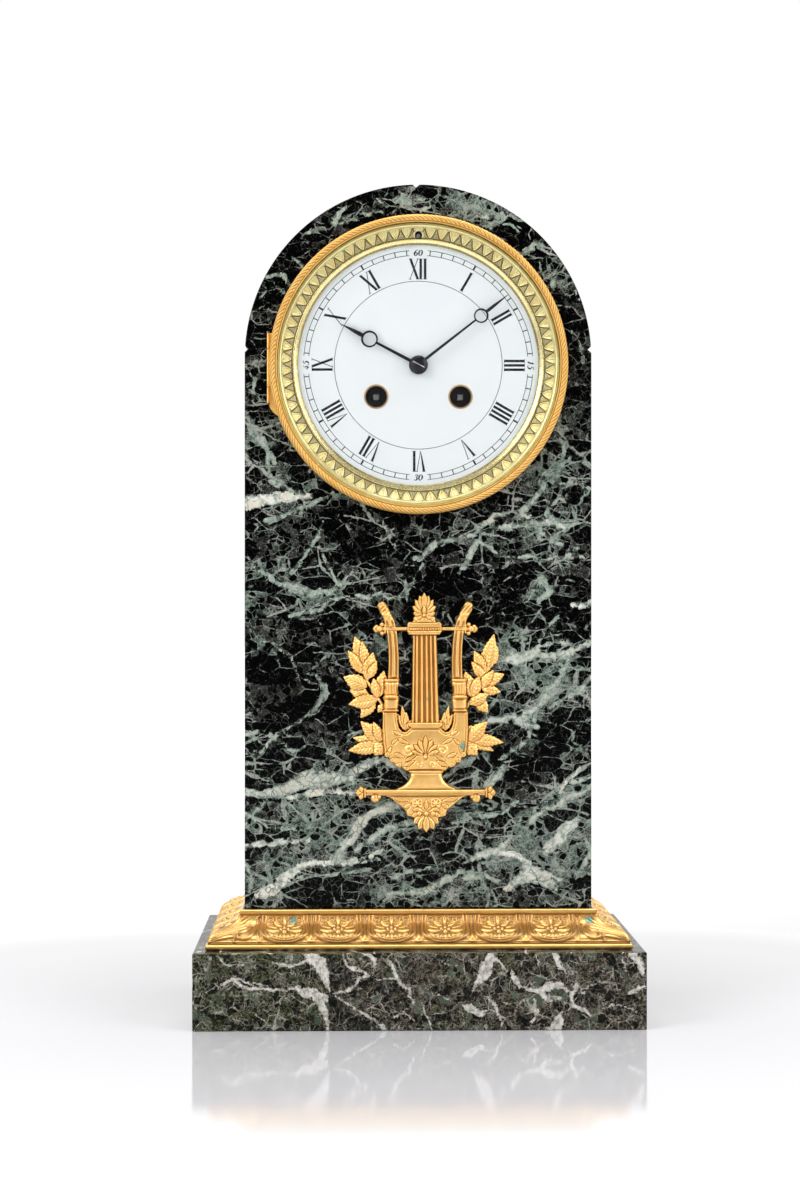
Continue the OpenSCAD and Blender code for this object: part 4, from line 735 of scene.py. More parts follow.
M = {
    "front": body_marble("marble_front", painted=True),
    "back": body_marble("marble_back", shift=(340, 55, 120), turn=180),
    "side_l": body_marble("marble_side_left", shift=(-60, 210, 90), turn=90),
    "side_r": body_marble("marble_side_right", shift=(90, -170, 310), turn=90),
    "roof": body_marble("marble_roof", shift=(-10, 400, 40), turn=70),
    "base": base_marble("marble_base"),
    "base_front": base_marble("marble_base_front", painted=True),
    "matt_gilt": gilt("matt_gilt", tone=(0.90, 0.50, 0.135), rough=0.42),
    "lyre_gilt": gilt("lyre_gilt", tone=(0.93, 0.535, 0.15), shade_and_dirt_tone=(0.28, 0.12, 0.03), rough=0.40, shade_and_dirt_gain=0.8,
                      spots=[(22.9, 142.2, 1.35, 2.5, 0.9), (4.9, 166.5, 0.9, 0.9, 0.45)], lacquer=0.7),
    "moulding_gilt": gilt("moulding_gilt", tone=(0.83, 0.47, 0.115), shade_and_dirt_tone=(0.15, 0.06, 0.014), rough=0.38, shade_and_dirt_gain=0.95,
                          spots=[(-64.6, 52.4, 2.3, 1.8, 0.9), (88.2, 52.4, 2.2, 1.9, 0.9)], lacquer=0.8),
    "bright_gilt": gilt("bright_gilt", tone=(0.96, 0.79, 0.36), shade_and_dirt_tone=(0.085, 0.045, 0.010), rough=0.36, grain=0.6, shade_and_dirt_gain=0.95, lacquer=0.8),
    "rope_gilt": gilt("rope_gilt", tone=(0.90, 0.53, 0.145), shade_and_dirt_tone=(0.26, 0.115, 0.022), rough=0.46, grain=1.6, shade_and_dirt_gain=0.95),
    "grommet_gilt": gilt("grommet_gilt", tone=(0.50, 0.31, 0.13), shade_and_dirt_tone=(0.10, 0.05, 0.02), rough=0.34, shade_and_dirt_gain=0.6),
    "sight_gilt": gilt("sight_gilt", tone=(0.93, 0.76, 0.34), shade_and_dirt_tone=(0.11, 0.07, 0.018), rough=0.24, grain=0.25, shade_and_dirt_gain=0.9, lacquer=0.4),
    "brass": brass("movement_brass"),
    "brass_ring": brass("turned_brass", ring_axis=(0, DZ)),
    "bell": brass("bell_metal", tone=(0.66, 0.50, 0.23), ring_axis=(0, DZ), rough=0.2, tarnish=0.3),
    "steel": steel("arbor_steel", (0.50, 0.50, 0.51), 0.24),
    "square": steel("winding_square", (0.46, 0.45, 0.45), 0.20),
    "iron": steel("dull_iron", (0.24, 0.22, 0.20), 0.42),
    "blued": steel("blued_steel", (0.16, 0.18, 0.26), 0.28, 0.7),
    "hand": steel("hand_steel", (0.045, 0.045, 0.052), 0.34),
    "enamel": enamel("dial_enamel"),
    "ink": ink("dial_ink"),
    "glass": glass("bezel_glass_clear"),
}

NODE_LOOK = dict(
    base_slab="base", plinth_step="base", front_slab="front", back_slab="back", side_slab_left="side_l",
    side_slab_right="side_r", roof_left="roof", roof_right="roof", lyre_studs="iron", bezel_seat="matt_gilt",
    dial_plate="brass", winding_grommets="grommet_gilt", movement_straps="brass", strap_screws="blued",
    back_ring="brass_ring", glass_ring="bright_gilt", hinge_pins="iron", back_door="brass_ring",
    bezel_glass="glass", dial="enamel", going_arbor="hand", going_click="steel", strike_arbor="hand",
    strike_click="steel", anchor="steel", suspension_spring="steel", regulator_arbor="steel",
    cannon_pinion="steel", hammer="steel", bell="bell", bell_stand="steel", hour_hand="hand", minute_hand="hand",
    hand_collet="hand", lyre_mount="lyre_gilt", bezel_ring="matt_gilt", dial_surround="bright_gilt",
    moulding_front="moulding_gilt", moulding_left="moulding_gilt", moulding_right="moulding_gilt",
)
for name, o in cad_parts.items():
    mat = M[NODE_LOOK.get(name, "brass")]
    if not o.material_slots:
        o.data.materials.append(mat)
    for s in o.material_slots:
        s.material = mat


# ------------------------------------------------------------------ mesh helpers
def mesh_object(name, verts, faces, mat, body="case", smooth=True, cavity_shade=None):
    me = bpy.data.meshes.new(name)
    v = np.asarray(verts, float) * MM
    me.from_pydata([tuple(x) for x in v], [], [tuple(int(i) for i in f) for f in faces])
    me.validate()
    if smooth:
        me.polygons.foreach_set("use_smooth", np.ones(len(me.polygons), bool))
    # painted shade per point, read by the gilt material
    if cavity_shade is not None:
        a = me.attributes.new("cavity_shade", "FLOAT", "POINT")
        a.data.foreach_set("value", np.asarray(cavity_shade, np.float32))
    me.materials.append(mat)
    me.update()
    o = bpy.data.objects.new(name, me)
    bpy.context.collection.objects.link(o)
    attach(o, body)
    return o


def grid_faces(nu, nv, close_u=False, flip=False):
    """Quads over a grid whose point (i, j) has index i*nv + j."""
    iu = np.arange(nu if close_u else nu - 1)
    jv = np.arange(nv - 1)
    i, j = np.meshgrid(iu, jv, indexing="ij")
    i2 = (i + 1) % nu
    a, b_, c, d = i * nv + j, i2 * nv + j, i2 * nv + j + 1, i * nv + j + 1
    f = np.stack([a, b_, c, d], -1).reshape(-1, 4)
    return f[:, ::-1] if flip else f


def fast_mesh(name, verts, faces, mat, body, cavity_shade=None, smooth=True):
    """mesh_object for large quad grids given as arrays."""
    me = bpy.data.meshes.new(name)
    v = (np.asarray(verts, np.float64) * MM).astype(np.float32)
    f = np.asarray(faces, np.int32)
    me.vertices.add(len(v))
    me.vertices.foreach_set("co", v.ravel())
    me.loops.add(f.size)
    me.loops.foreach_set("vertex_index", f.ravel())
    me.polygons.add(len(f))
    me.polygons.foreach_set("loop_start", np.arange(0, f.size, f.shape[1], dtype=np.int32))
    me.polygons.foreach_set("use_smooth", np.full(len(f), smooth))
    # painted shade per point, read by the gilt material
    if cavity_shade is not None:
        a = me.attributes.new("cavity_shade", "FLOAT", "POINT")
        a.data.foreach_set("value", np.clip(np.asarray(cavity_shade, np.float32), 0, 1))
    me.materials.append(mat)
    me.update(calc_edges=True)
    me.validate()
    o = bpy.data.objects.new(name, me)
    bpy.context.collection.objects.link(o)
    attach(o, body)
    return o


def blur(a, n=1):
    for _ in range(n):
        p = np.pad(a, 1, mode="edge")
        a = (p[:-2, 1:-1] + p[2:, 1:-1] + p[1:-1, :-2] + p[1:-1, 2:] + 4 * p[1:-1, 1:-1]) / 8
    return a


def blur_wide(a, n):
    """Box blur of half width n along both axes, done with running sums."""
    for ax in (0, 1):
        p = np.pad(a, [(n, n) if k == ax else (0, 0) for k in (0, 1)], mode="edge")
        c = np.cumsum(p, axis=ax)
        c = np.insert(c, 0, 0, axis=ax)
        hi = [slice(None)] * 2
        lo = [slice(None)] * 2
        hi[ax], lo[ax] = slice(2 * n + 1, None), slice(None, -(2 * n + 1))
        a = (c[tuple(hi)] - c[tuple(lo)]) / (2 * n + 1)
    return a


def cavity_of(h, n, gain):
    """How far a height field lies below its surroundings."""
    return np.clip((blur_wide(h, n) - h) * gain, 0, 1)


def ridge(d, w):
    """A round-topped ridge of half width w along distance zero."""
    q = np.clip(1 - (d / w) ** 2, 0, 1)
    return np.sqrt(q)


def dome(sd, w):
    """A quarter-round rise from an edge: sd is the distance inside it."""
    q = np.clip(sd / w, 0, 1)
    return np.sqrt(1 - (1 - q) ** 2)


def noise2(x, y, seed=0):
    """Smooth repeatable noise made of a few sines, in -1 to 1."""
    r = np.random.RandomState(seed)
    s = 0
    for k in range(6):
        a, f = r.rand() * 6.283, 0.5 + r.rand() * 1.5
        s = s + np.sin(x * f * math.cos(a) * (k + 1) * 0.7 + y * f * math.sin(a) * (k + 1) * 0.7 + r.rand() * 6.283) / (k + 1.5)
    return s / 1.6


# ------------------------------------------------------------------ marble slabs
def attach_vectors(o, name, data):
    a = o.data.attributes.new(name, "FLOAT_VECTOR", "POINT")
    a.data.foreach_set("vector", np.asarray(data, np.float32).ravel())


def front_slab():
    """The arched front, gridded finely enough to carry the painted veins."""
    y0, y1 = YF, YF + 14.0
    R, az, jz = HALF_W, 343.0, 347.6
    zs = list(np.arange(BODY_Z0, az, 0.72)) + [az]
    zs += list(az + R * np.sin(np.linspace(0, math.pi / 2, 196))[1:])
    for d in np.arange(-3.0, 3.01, 0.1875):
        zs.append(jz + d)
    zs = np.unique(np.round(zs, 4))
    zs = zs[np.insert(np.diff(zs) > 0.02, 0, True)]
    half = np.where(zs > az, np.sqrt(np.maximum(R * R - (zs - az) ** 2, 1e-4)), R)
    notch = R + 1 - 3.0 * np.clip(1 - np.abs(zs - jz) / 2.625, 0, 1)
    half = np.minimum(half, notch)
    nu = 257
    u = np.linspace(-1, 1, nu)
    X = u[:, None] * half[None, :]
    Z = np.broadcast_to(zs, X.shape).copy()
    vee = az + R - 1.6 + np.abs(X + 1.2) * 0.9167
    Z = np.where(np.abs(X + 1.2) < 3, np.minimum(Z, vee), Z)
    S = 66.0 - np.hypot(X, Z - DZ)
    S = np.maximum(S, 2.6 - np.hypot(X, Z - DZ - 66.6))
    for qx, qz in ((-13.2, 208), (20.5, 208), (3.6, 146), (3.6, 115)):
        S = np.maximum(S, 1.75 - np.hypot(X - qx, Z - qz))
    nv = len(zs)
    cnt = sum((a > 0).astype(int) for a in (S[:-1, :-1], S[1:, :-1], S[:-1, 1:], S[1:, 1:]))
    keep = cnt < 2
    ii, jj = np.nonzero(keep)
    idx = lambda i, j: i * nv + j
    quads = np.stack([idx(ii, jj), idx(ii + 1, jj), idx(ii + 1, jj + 1), idx(ii, jj + 1)], -1)
    e = np.concatenate([quads[:, [0, 1]], quads[:, [1, 2]], quads[:, [2, 3]], quads[:, [3, 0]]])
    key = np.minimum(e[:, 0], e[:, 1]).astype(np.int64) * X.size + np.maximum(e[:, 0], e[:, 1])
    _, first, n_ = np.unique(key, return_index=True, return_counts=True)
    edge = e[first[n_ == 1]]
    Xf, Zf, Sf = X.ravel().copy(), Z.ravel().copy(), S.ravel()
    bnd = np.unique(edge)
    near = bnd[np.abs(Sf[bnd]) < 1.3]
    # slide hole edges onto their circles
    for (qx, qz, qr) in ((0, DZ, 66.0), (0, DZ + 66.6, 2.6), (-13.2, 208, 1.75), (20.5, 208, 1.75), (3.6, 146, 1.75), (3.6, 115, 1.75)):
        dx, dz_ = Xf[near] - qx, Zf[near] - qz
        d = np.hypot(dx, dz_)
        own = np.abs(Sf[near] - (qr - d)) < 1e-6
        k = near[own]
        Xf[k] = qx + dx[own] / d[own] * qr
        Zf[k] = qz + dz_[own] / d[own] * qr
    used = np.unique(quads)
    remap = -np.ones(X.size, int)
    remap[used] = np.arange(len(used))
    px, pz = Xf[used], Zf[used]
    n = len(used)
    q = remap[quads]
    eb = remap[edge]
    front = np.stack([px, np.full(n, y0), pz], -1)
    wall_ids = np.unique(eb)
    rim = np.stack([px[wall_ids], np.full(len(wall_ids), y1), pz[wall_ids]], -1)
    rm = -np.ones(n, int)
    rm[wall_ids] = n + np.arange(len(wall_ids))
    side = np.stack([eb[:, 0], rm[eb[:, 0]], rm[eb[:, 1]], eb[:, 1]], -1)
    verts = np.concatenate([front, rim])
    # loops of the back face
    nxt = {int(a): int(b_) for a, b_ in eb}
    loops, seen = [], set()
    for a in list(nxt):
        if a in seen:
            continue
        lp, c = [], a
        while c not in seen and c in nxt:
            seen.add(c)
            lp.append(c)
            c = nxt[c]
        loops.append(lp)
    loops.sort(key=len, reverse=True)
    from mathutils.geometry import tessellate_polygon
    flat, ids = [], []
    for lp in loops:
        flat.append([Vector((px[i], pz[i], 0)) for i in lp])
        ids += [int(rm[i]) for i in lp]
    tris = np.array([[ids[k] for k in tr] for tr in tessellate_polygon(flat)])
    me = bpy.data.meshes.new("front_marble")
    vv = (verts * MM).astype(np.float32)
    me.vertices.add(len(vv))
    me.vertices.foreach_set("co", vv.ravel())
    quads_all = np.concatenate([q, side])
    fl = np.concatenate([quads_all.ravel(), tris.ravel()]).astype(np.int32)
    starts = np.concatenate([np.arange(len(quads_all)) * 4, len(quads_all) * 4 + np.arange(len(tris)) * 3]).astype(np.int32)
    me.loops.add(len(fl))
    me.loops.foreach_set("vertex_index", fl)
    me.polygons.add(len(starts))
    me.polygons.foreach_set("loop_start", starts)
    me.materials.append(M["front"])
    me.update(calc_edges=True)
    me.validate()
    o = bpy.data.objects.new("front_marble", me)
    bpy.context.collection.objects.link(o)
    bm = bmesh.new()
    bm.from_mesh(me)
    bmesh.ops.recalc_face_normals(bm, faces=bm.faces)
    bm.to_mesh(me)
    bm.free()
    attach_vectors(o, "marble", front_fields(verts[:, 0], verts[:, 2]))
    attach(o, "case")
    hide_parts("front_slab")


front_slab()


def soft_box(name, lo, hi, r, steps, mat, node, fields=None, face_mat=None):
    """A closed block with rounded arrises, gridded at the given steps along x, y and z."""
    axes = []
    for a in range(3):
        n = max(2, int((hi[a] - lo[a] - 2 * r) / steps[a]))
        edge = np.array([0, 0.3, 0.6]) * r
        mid_ = np.linspace(lo[a] + r, hi[a] - r, n)
        axes.append(np.concatenate([lo[a] + edge, mid_, hi[a] - edge[::-1]]))
    V, F, off = [], [], 0
    mats = []
    for a in range(3):
        b_, c = (a + 1) % 3, (a + 2) % 3
        for s in (0, 1):
            U, W = np.meshgrid(axes[b_], axes[c], indexing="ij")
            P = np.zeros(U.shape + (3,))
            P[..., a], P[..., b_], P[..., c] = (hi if s else lo)[a], U, W
            f = grid_faces(len(axes[b_]), len(axes[c]), flip=not s) + off
            V.append(P.reshape(-1, 3))
            F.append(f)
            mats.append(np.full(len(f), 1 if (a == 1 and s == 0) else 0))
            off += P.shape[0] * P.shape[1]
    V = np.concatenate(V)
    F = np.concatenate(F)
    mats = np.concatenate(mats)
    inner = np.clip(V, np.array(lo) + r, np.array(hi) - r)
    d = V - inner
    ln = np.linalg.norm(d, axis=1, keepdims=True)
    V = np.where(ln > 1e-9, inner + d / np.maximum(ln, 1e-9) * r, V)
    # join the six sheets
    key = np.round(V, 4)
    _, first, inv = np.unique(key, axis=0, return_index=True, return_inverse=True)
    V = V[first]
    F = inv.reshape(-1)[F]
    o = fast_mesh(name, V, F, mat, "case")
    o.data.materials.append(face_mat or mat)
    o.data.polygons.foreach_set("material_index", mats[:len(o.data.polygons)].astype(np.int32))
    if fields is not None:
        attach_vectors(o, "marble", fields(V[:, 0], V[:, 2]))
    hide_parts(node)
    return o


soft_box("base_block", (-115, -75, 0), (115, 75, BASE_H), 0.7, (0.62, 4.0, 0.6), M["base"], "base_slab", base_fields, M["base_front"])


# ------------------------------------------------------------------ relief painter
class Relief:
    """A height field that is painted one ornament over another, as a modeller builds up wax."""

    def __init__(self, X, Y, unit):
        self.X, self.Y, self.u = X, Y, unit
        self.H = np.zeros_like(X)
        self.S = np.full_like(X, -1e3)

    def paint(self, sd, h, gap=5.0, depth=0.5, solid=True):
        inside = sd > 0
        ring = (sd <= 0) & (sd > -gap)
        k = depth + (1 - depth) * np.clip(-sd / gap, 0, 1)
        self.H = np.where(ring, self.H * k, self.H)
        self.H = np.where(inside, h, self.H)
        if solid:
            self.S = np.maximum(self.S, sd)

    def frame(self, x0, y0, x1, y1):
        L = math.hypot(x1 - x0, y1 - y0)
        ux, uy = (x1 - x0) / L, (y1 - y0) / L
        dx, dy = self.X - x0, self.Y - y0
        return (dx * ux + dy * uy) / L, -dx * uy + dy * ux, L

    def leaf(self, x0, y0, x1, y1, w, h=1.0, base=1.2, belly=0.85, rib=0.30, veins=0.12, curl=0.0):
        w = w * 1.14
        s, q, L = self.frame(x0, y0, x1, y1)
        q = q - curl * w * np.sin(np.clip(s, 0, 1) * math.pi)
        sc = np.clip(s, 0, 1)
        # lobed outline with a pointed end
        teeth = np.abs(((sc * L / 24.0 + 0.25 * np.sign(q)) % 1.0) - 0.5) * 2
        hw = w / 2 * np.sin(math.pi * sc ** belly) ** 0.95 * (1 - 0.15 * teeth * np.clip((1 - sc) / 0.15, 0, 1)) + 0.01
        sd = np.minimum(hw - np.abs(q), np.minimum(s, 1 - s) * L * 0.9)
        e = np.clip(1 - (q / np.maximum(hw, 0.5)) ** 2, 0, 1)
        roof = np.clip(1 - np.abs(q) / np.maximum(hw, 0.5), 0, 1)
        body = (0.50 * np.sqrt(e) + 0.50 * roof ** 0.8) * (0.62 + 0.38 * np.sin(math.pi * np.clip(sc * 1.05, 0, 1)))
        mid = np.exp(-(q / 2.3) ** 2)
        side = np.cos((np.abs(q) * 0.9 - s * L * 0.75) * (2 * math.pi / 17.0))
        hh = base + h * (body - (rib + 0.25) * mid * (1 - 0.4 * sc) + (veins + 0.10) * side * e * (1 - mid))
        self.paint(sd, hh)

    def petal(self, x0, y0, x1, y1, w, h=0.8, base=1.2, solid=True, gap=4.0):
        """A plain swelling lobe, widest near its outer end."""
        s, q, L = self.frame(x0, y0, x1, y1)
        sc = np.clip(s, 0, 1)
        hw = w / 2 * np.sin(math.pi * np.clip(0.12 + 0.88 * sc, 0, 1) ** 1.6) ** 0.8 + 0.01
        sd = np.minimum(hw - np.abs(q), np.minimum(s + 0.02, 1 - s) * L)
        hh = base + h * np.sqrt(np.clip(1 - (q / np.maximum(hw, 0.5)) ** 2, 0, 1)) * (0.55 + 0.45 * sc)
        self.paint(sd, hh, gap, 0.6, solid)

    def bar(self, x0, y0, x1, y1, wa, wb, h=1.0, base=1.2, flat=0.0, solid=True, gap=4.0):
        """A round or flat-topped bar from one point to another."""
        s, q, L = self.frame(x0, y0, x1, y1)
        hw = (wa + (wb - wa) * np.clip(s, 0, 1)) / 2
        sd = np.minimum(hw - np.abs(q), np.minimum(s, 1 - s) * L + 0.01)
        e = np.sqrt(np.clip(1 - (q / hw) ** 2, 0, 1))
        hh = base + h * (flat * np.clip((hw - np.abs(q)) / 3.0, 0, 1) + (1 - flat) * e)
        self.paint(sd, hh, gap, 0.7, solid)
        return s, q, sd

    def disc(self, x, y, r, h=1.0, base=1.2, rx=1.0, ry=1.0, solid=True, gap=4.0):
        d = np.hypot((self.X - x) / rx, (self.Y - y) / ry)
        sd = (r - d) * min(rx, ry)
        self.paint(sd, base + h * np.sqrt(np.clip(1 - (d / r) ** 2, 0, 1)), gap, 0.7, solid)

    def poly(self, pts):
        """Signed distance to a closed outline, positive inside."""
        X, Y = self.X, self.Y
        d = np.full_like(X, 1e9)
        inside = np.zeros(X.shape, bool)
        n = len(pts)
        for i in range(n):
            (ax, ay), (bx_, by_) = pts[i], pts[(i + 1) % n]
            ex, ey = bx_ - ax, by_ - ay
            wx, wy = X - ax, Y - ay
            tt = np.clip((wx * ex + wy * ey) / (ex * ex + ey * ey + 1e-9), 0, 1)
            d = np.minimum(d, (wx - ex * tt) ** 2 + (wy - ey * tt) ** 2)
            c = (ay > Y) != (by_ > Y)
            with np.errstate(divide="ignore", invalid="ignore"):
                cross = X < ex * (Y - ay) / (by_ - ay if by_ != ay else 1e-9) + ax
            inside ^= c & cross
        return np.where(inside, 1, -1) * np.sqrt(d)

    def add(self, dh, where=None):
        self.H = self.H + (dh if where is None else np.where(where, dh, 0))


def smooth_path(pts, n=6):
    """Rounds a closed outline through its points."""
    out = []
    k = len(pts)
    for i in range(k):
        p0, p1, p2, p3 = (np.array(pts[(i + j - 1) % k], float) for j in range(4))
        for t_ in np.arange(n) / n:
            out.append(tuple(0.5 * (2 * p1 + (p2 - p0) * t_ + (2 * p0 - 5 * p1 + 4 * p2 - p3) * t_ ** 2
                                    + (3 * p1 - p0 - 3 * p2 + p3) * t_ ** 3)))
    return out


# ------------------------------------------------------------------ lyre mount
def mirror_x(pts, c=520):
    return [(2 * c - x, y) for x, y in pts]


def lyre():
    step = 3.0
    xs = np.arange(8, 1020, step)
    ys = np.arange(50, 1540, step)
    X, Y = np.meshgrid(xs, ys, indexing="ij")
    R = Relief(X, Y, 0.08563)

    # laurel sprays behind the frame
    stems = [(278, 775, 165, 600, 18), (165, 600, 118, 470, 14), (762, 775, 862, 610, 18), (862, 610, 888, 500, 14),
             (280, 985, 200, 900, 16), (762, 985, 850, 900, 16)]
    for (a, b_, c, d, w) in stems:
        R.bar(a, b_, c, d, w, w * 0.8, 0.7, 1.5)
    left = [(150, 500, 92, 333, 78), (150, 560, 52, 418, 70), (160, 520, 138, 360, 58), (165, 600, 205, 428, 82),
            (175, 590, 228, 482, 54), (180, 690, 60, 660, 74), (170, 640, 24, 578, 92), (215, 712, 128, 828, 74),
            (235, 712, 54, 745, 86), (272, 745, 232, 795, 46), (240, 700, 270, 540, 78), (232, 705, 206, 585, 58)]
    for (a, b_, c, d, w) in left:
        R.leaf(a, b_, c, d, w, 1.5, 1.6)
    right = [(885, 520, 960, 400, 78), (880, 560, 936, 318, 88), (882, 560, 815, 420, 72), (880, 590, 798, 486, 58),
             (862, 650, 978, 670, 62), (858, 620, 1000, 562, 74), (852, 650, 935, 535, 58), (835, 720, 900, 795, 70),
             (785, 745, 905, 680, 70), (800, 700, 762, 545, 86), (805, 700, 846, 572, 66)]
    for (a, b_, c, d, w) in right:
        R.leaf(a, b_, c, d, w, 1.5, 1.6)
    low = [(270, 985, 80, 945, 66), (268, 990, 52, 1024, 82), (262, 975, 128, 846, 84), (262, 985, 205, 848, 62),
           (275, 960, 254, 1045, 50), (272, 975, 212, 1054, 80),
           (775, 945, 935, 1028, 66), (778, 950, 997, 976, 74), (765, 940, 802, 870, 56), (768, 975, 896, 848, 84),
           (768, 970, 802, 1035, 58), (770, 985, 836, 1052, 80)]
    for (a, b_, c, d, w) in low:
        R.leaf(a, b_, c, d, w, 1.5, 1.6)

    # bowl
    bowl_l = [(262, 778), (261, 880), (266, 960), (275, 1040), (300, 1068), (306, 1092), (334, 1100), (345, 1124), (378, 1122),
              (396, 1146), (430, 1150), (520, 1152)]
    inner_l = [(520, 884), (428, 884), (418, 898), (400, 912), (380, 908), (362, 888), (352, 850), (347, 778)]
    # order: down the left outside, along the bottom, up the right outside, across the top inside
    right_out = mirror_x(bowl_l[:-1])[::-1]
    right_in = mirror_x(inner_l[1:])[::-1]
    outline = bowl_l[:-1] + right_out + right_in + inner_l[1:]
    sd = R.poly(outline)
    R.paint(sd, 3.0 + 0.9 * dome(sd, 12.0) + 0.5 * np.clip(sd / 70, 0, 1), 6, 0.5)
    R.add(-1.0 * np.exp(-((sd - 13) / 3.4) ** 2) * (Y < 1035), sd > 0)

    def scroll(x, y, r, turn, h=0.75):
        dx, dy = X - x, Y - y
        rr = np.hypot(dx, dy)
        th = np.arctan2(dy, dx) * turn
        ph = rr / r * 1.45 * 2 * math.pi - th
        wave = 0.5 + 0.5 * np.cos(ph)
        m = np.clip((r - rr) / 6, 0, 1)
        R.H = R.H + (h * (wave - 0.45) + 0.25) * m * (R.H > 0)

    # palmette on the bowl
    for a in (-72, -48, -24, 24, 48, 72, 0):
        L = 118 if a == 0 else 112 - abs(a) * 0.35
        ax, ay = 520 + 16 * math.sin(math.radians(a)), 1052 - 16 * math.cos(math.radians(a))
        R.petal(ax, ay, 520 + L * math.sin(math.radians(a)), 1052 - L * math.cos(math.radians(a)), 30, 1.0, 3.9, gap=5)
    R.disc(520, 1062, 13, 1.2, 4.0)
    scroll(418, 1020, 38, 1)
    scroll(622, 1020, 38, -1)
    scroll(482, 1106, 24, -1)
    scroll(558, 1106, 24, 1)
    for sgn in (-1, 1):
        for (x0, y0, x1, y1, w) in ((52, 1045, 120, 1085, 16), (96, 985, 168, 950, 16), (168, 950, 205, 985, 14),
                                    (128, 1062, 190, 1040, 18), (66, 1085, 130, 1118, 18), (150, 930, 196, 905, 14),
                                    (205, 1000, 225, 1040, 16)):
            R.petal(520 + sgn * x0, y0, 520 + sgn * x1, y1, w * 1.5, 0.7, 3.9, gap=4)
        # leaves along the lower edge of the bowl
        for (x, y, a) in ((236, 1062, 60), (206, 1094, 48), (166, 1120, 34), (122, 1138, 20)):
            x0 = 520 + sgn * x
            R.petal(x0 - sgn * 22 * math.cos(math.radians(a)), y - 26 * math.sin(math.radians(a)) - 8, x0, y + 2, 34, 0.9, 3.6, gap=4)

    # acanthus sprigs in the two openings
    for sgn in (-1, 1):
        c = lambda x: 520 + sgn * (520 - x)
        for (x0, y0, x1, y1, w) in ((402, 905, 352, 800, 34), (404, 905, 378, 752, 38), (408, 900, 405, 790, 34), (412, 895, 432, 838, 30)):
            x0, x1 = (x0, x1) if sgn < 0 else (1040 - x0, 1040 - x1)
            R.leaf(x0, y0, x1, y1, w, 1.1, 2.0, veins=0.1)

    # the arms and their cuffs
    arm = [(228, 152), (238, 132), (262, 122), (278, 130), (298, 162), (316, 200), (334, 240), (346, 290), (353, 340), (358, 400),
           (361, 470), (361, 600), (294, 600), (298, 470), (296, 400), (290, 330), (281, 280), (268, 232), (244, 190)]
    for pts in (arm, mirror_x(arm)):
        sd = R.poly(pts)
        R.paint(sd, 2.6 + 1.9 * dome(sd, 30.0), 6, 0.5)
        # a sunk channel with two fillets down each arm
        chan = np.clip((sd - 8) / 2.5, 0, 1) * np.clip((23 - sd) / 2.5, 0, 1) * np.clip((Y - 232) / 14, 0, 1)
        R.add(-1.35 * chan, sd > 0)
        R.add(0.8 * np.exp(-((Y - 205) / 8) ** 2) * (Y < 230), sd > 0)
        for yy in (140, 162, 184):
            R.add(0.45 * np.sin((X + Y) * 0.22) * np.exp(-((Y - yy) / 16) ** 2), sd > 0)
    cuff = [(272, 590), (364, 590), (364, 612), (356, 640), (355, 690), (364, 704), (360, 724), (355, 770), (360, 788), (266, 788),
            (270, 770), (270, 724), (262, 704), (272, 690), (276, 640), (272, 612)]
    for pts in (cuff, mirror_x(cuff)):
        sd = R.poly(pts)
        R.paint(sd, 2.8 + 2.2 * dome(sd, 34.0), 6, 0.45)
        for yy, w, g in ((596, 5, 0.9), (610, 3.5, -1.0), (684, 3.5, -0.9), (698, 6, 1.0), (713, 3.5, -1.2), (772, 4, -1.2), (784, 5, 0.7)):
            R.add(g * np.exp(-((Y - yy) / w) ** 2), sd > 0)
        R.add(0.42 * np.cos(X * 2 * math.pi / 17) * ((Y > 620) & (Y < 680)), sd > 0)
        R.add(0.30 * np.cos(X * 2 * math.pi / 14) * np.exp(-((Y - 690) / 8) ** 2), sd > 0)

    # crossbar with its finials
    R.bar(205, 289, 835, 289, 24, 24, 1.4, 2.0)
    for sgn in (-1, 1):
        cx = lambda d: 520 + sgn * d
        R.petal(cx(262), 289, cx(318), 287, 50, 1.6, 2.2)
        R.disc(cx(262), 262, 14, 1.4, 2.2)
        R.disc(cx(262), 316, 14, 1.4, 2.2)
        R.disc(cx(278), 289, 20, 2.0, 2.2)
        R.bar(cx(243), 262, cx(243), 318, 12, 12, 1.2, 2.2)

    # string panel
    panel = [(444, 318), (588, 318), (604, 870), (436, 870)]
    sd = R.poly(panel)
    u = (X - (444 - 8 * (Y - 318) / 552)) / (144 + 24 * (Y - 318) / 552)
    R.paint(sd, 1.5 + 0 * X, 6, 0.5)
    rib = np.zeros_like(X)
    for a, b_ in ((0.00, 0.10), (0.12, 0.24), (0.315, 0.44), (0.515, 0.63), (0.70, 0.80), (0.86, 1.00)):
        q = (u - (a + b_) / 2) / ((b_ - a) / 2)
        rib = np.maximum(rib, np.sqrt(np.clip(1 - q ** 2, 0, 1)))
    R.H = np.where(sd > 0, 1.4 + 1.9 * rib, R.H)

    # sill under the strings
    sd = R.poly([(418, 856), (622, 856), (622, 872), (604, 888), (436, 888), (418, 872)])
    R.paint(sd, 3.4 + 0.9 * dome(sd, 8), 5, 0.5)

    # yoke with a bead row
    sd = R.poly([(410, 258), (420, 246), (608, 246), (618, 258), (618, 306), (608, 326), (420, 326), (410, 306)])
    R.paint(sd, 3.0 + 1.0 * dome(sd, 8), 6, 0.5)
    R.add(-0.8 * (np.abs(Y - 290) < 15), sd > 6)
    for i in range(12):
        R.disc(431 + i * 15.2, 290, 7.2, 1.2, 3.2, gap=2.5)

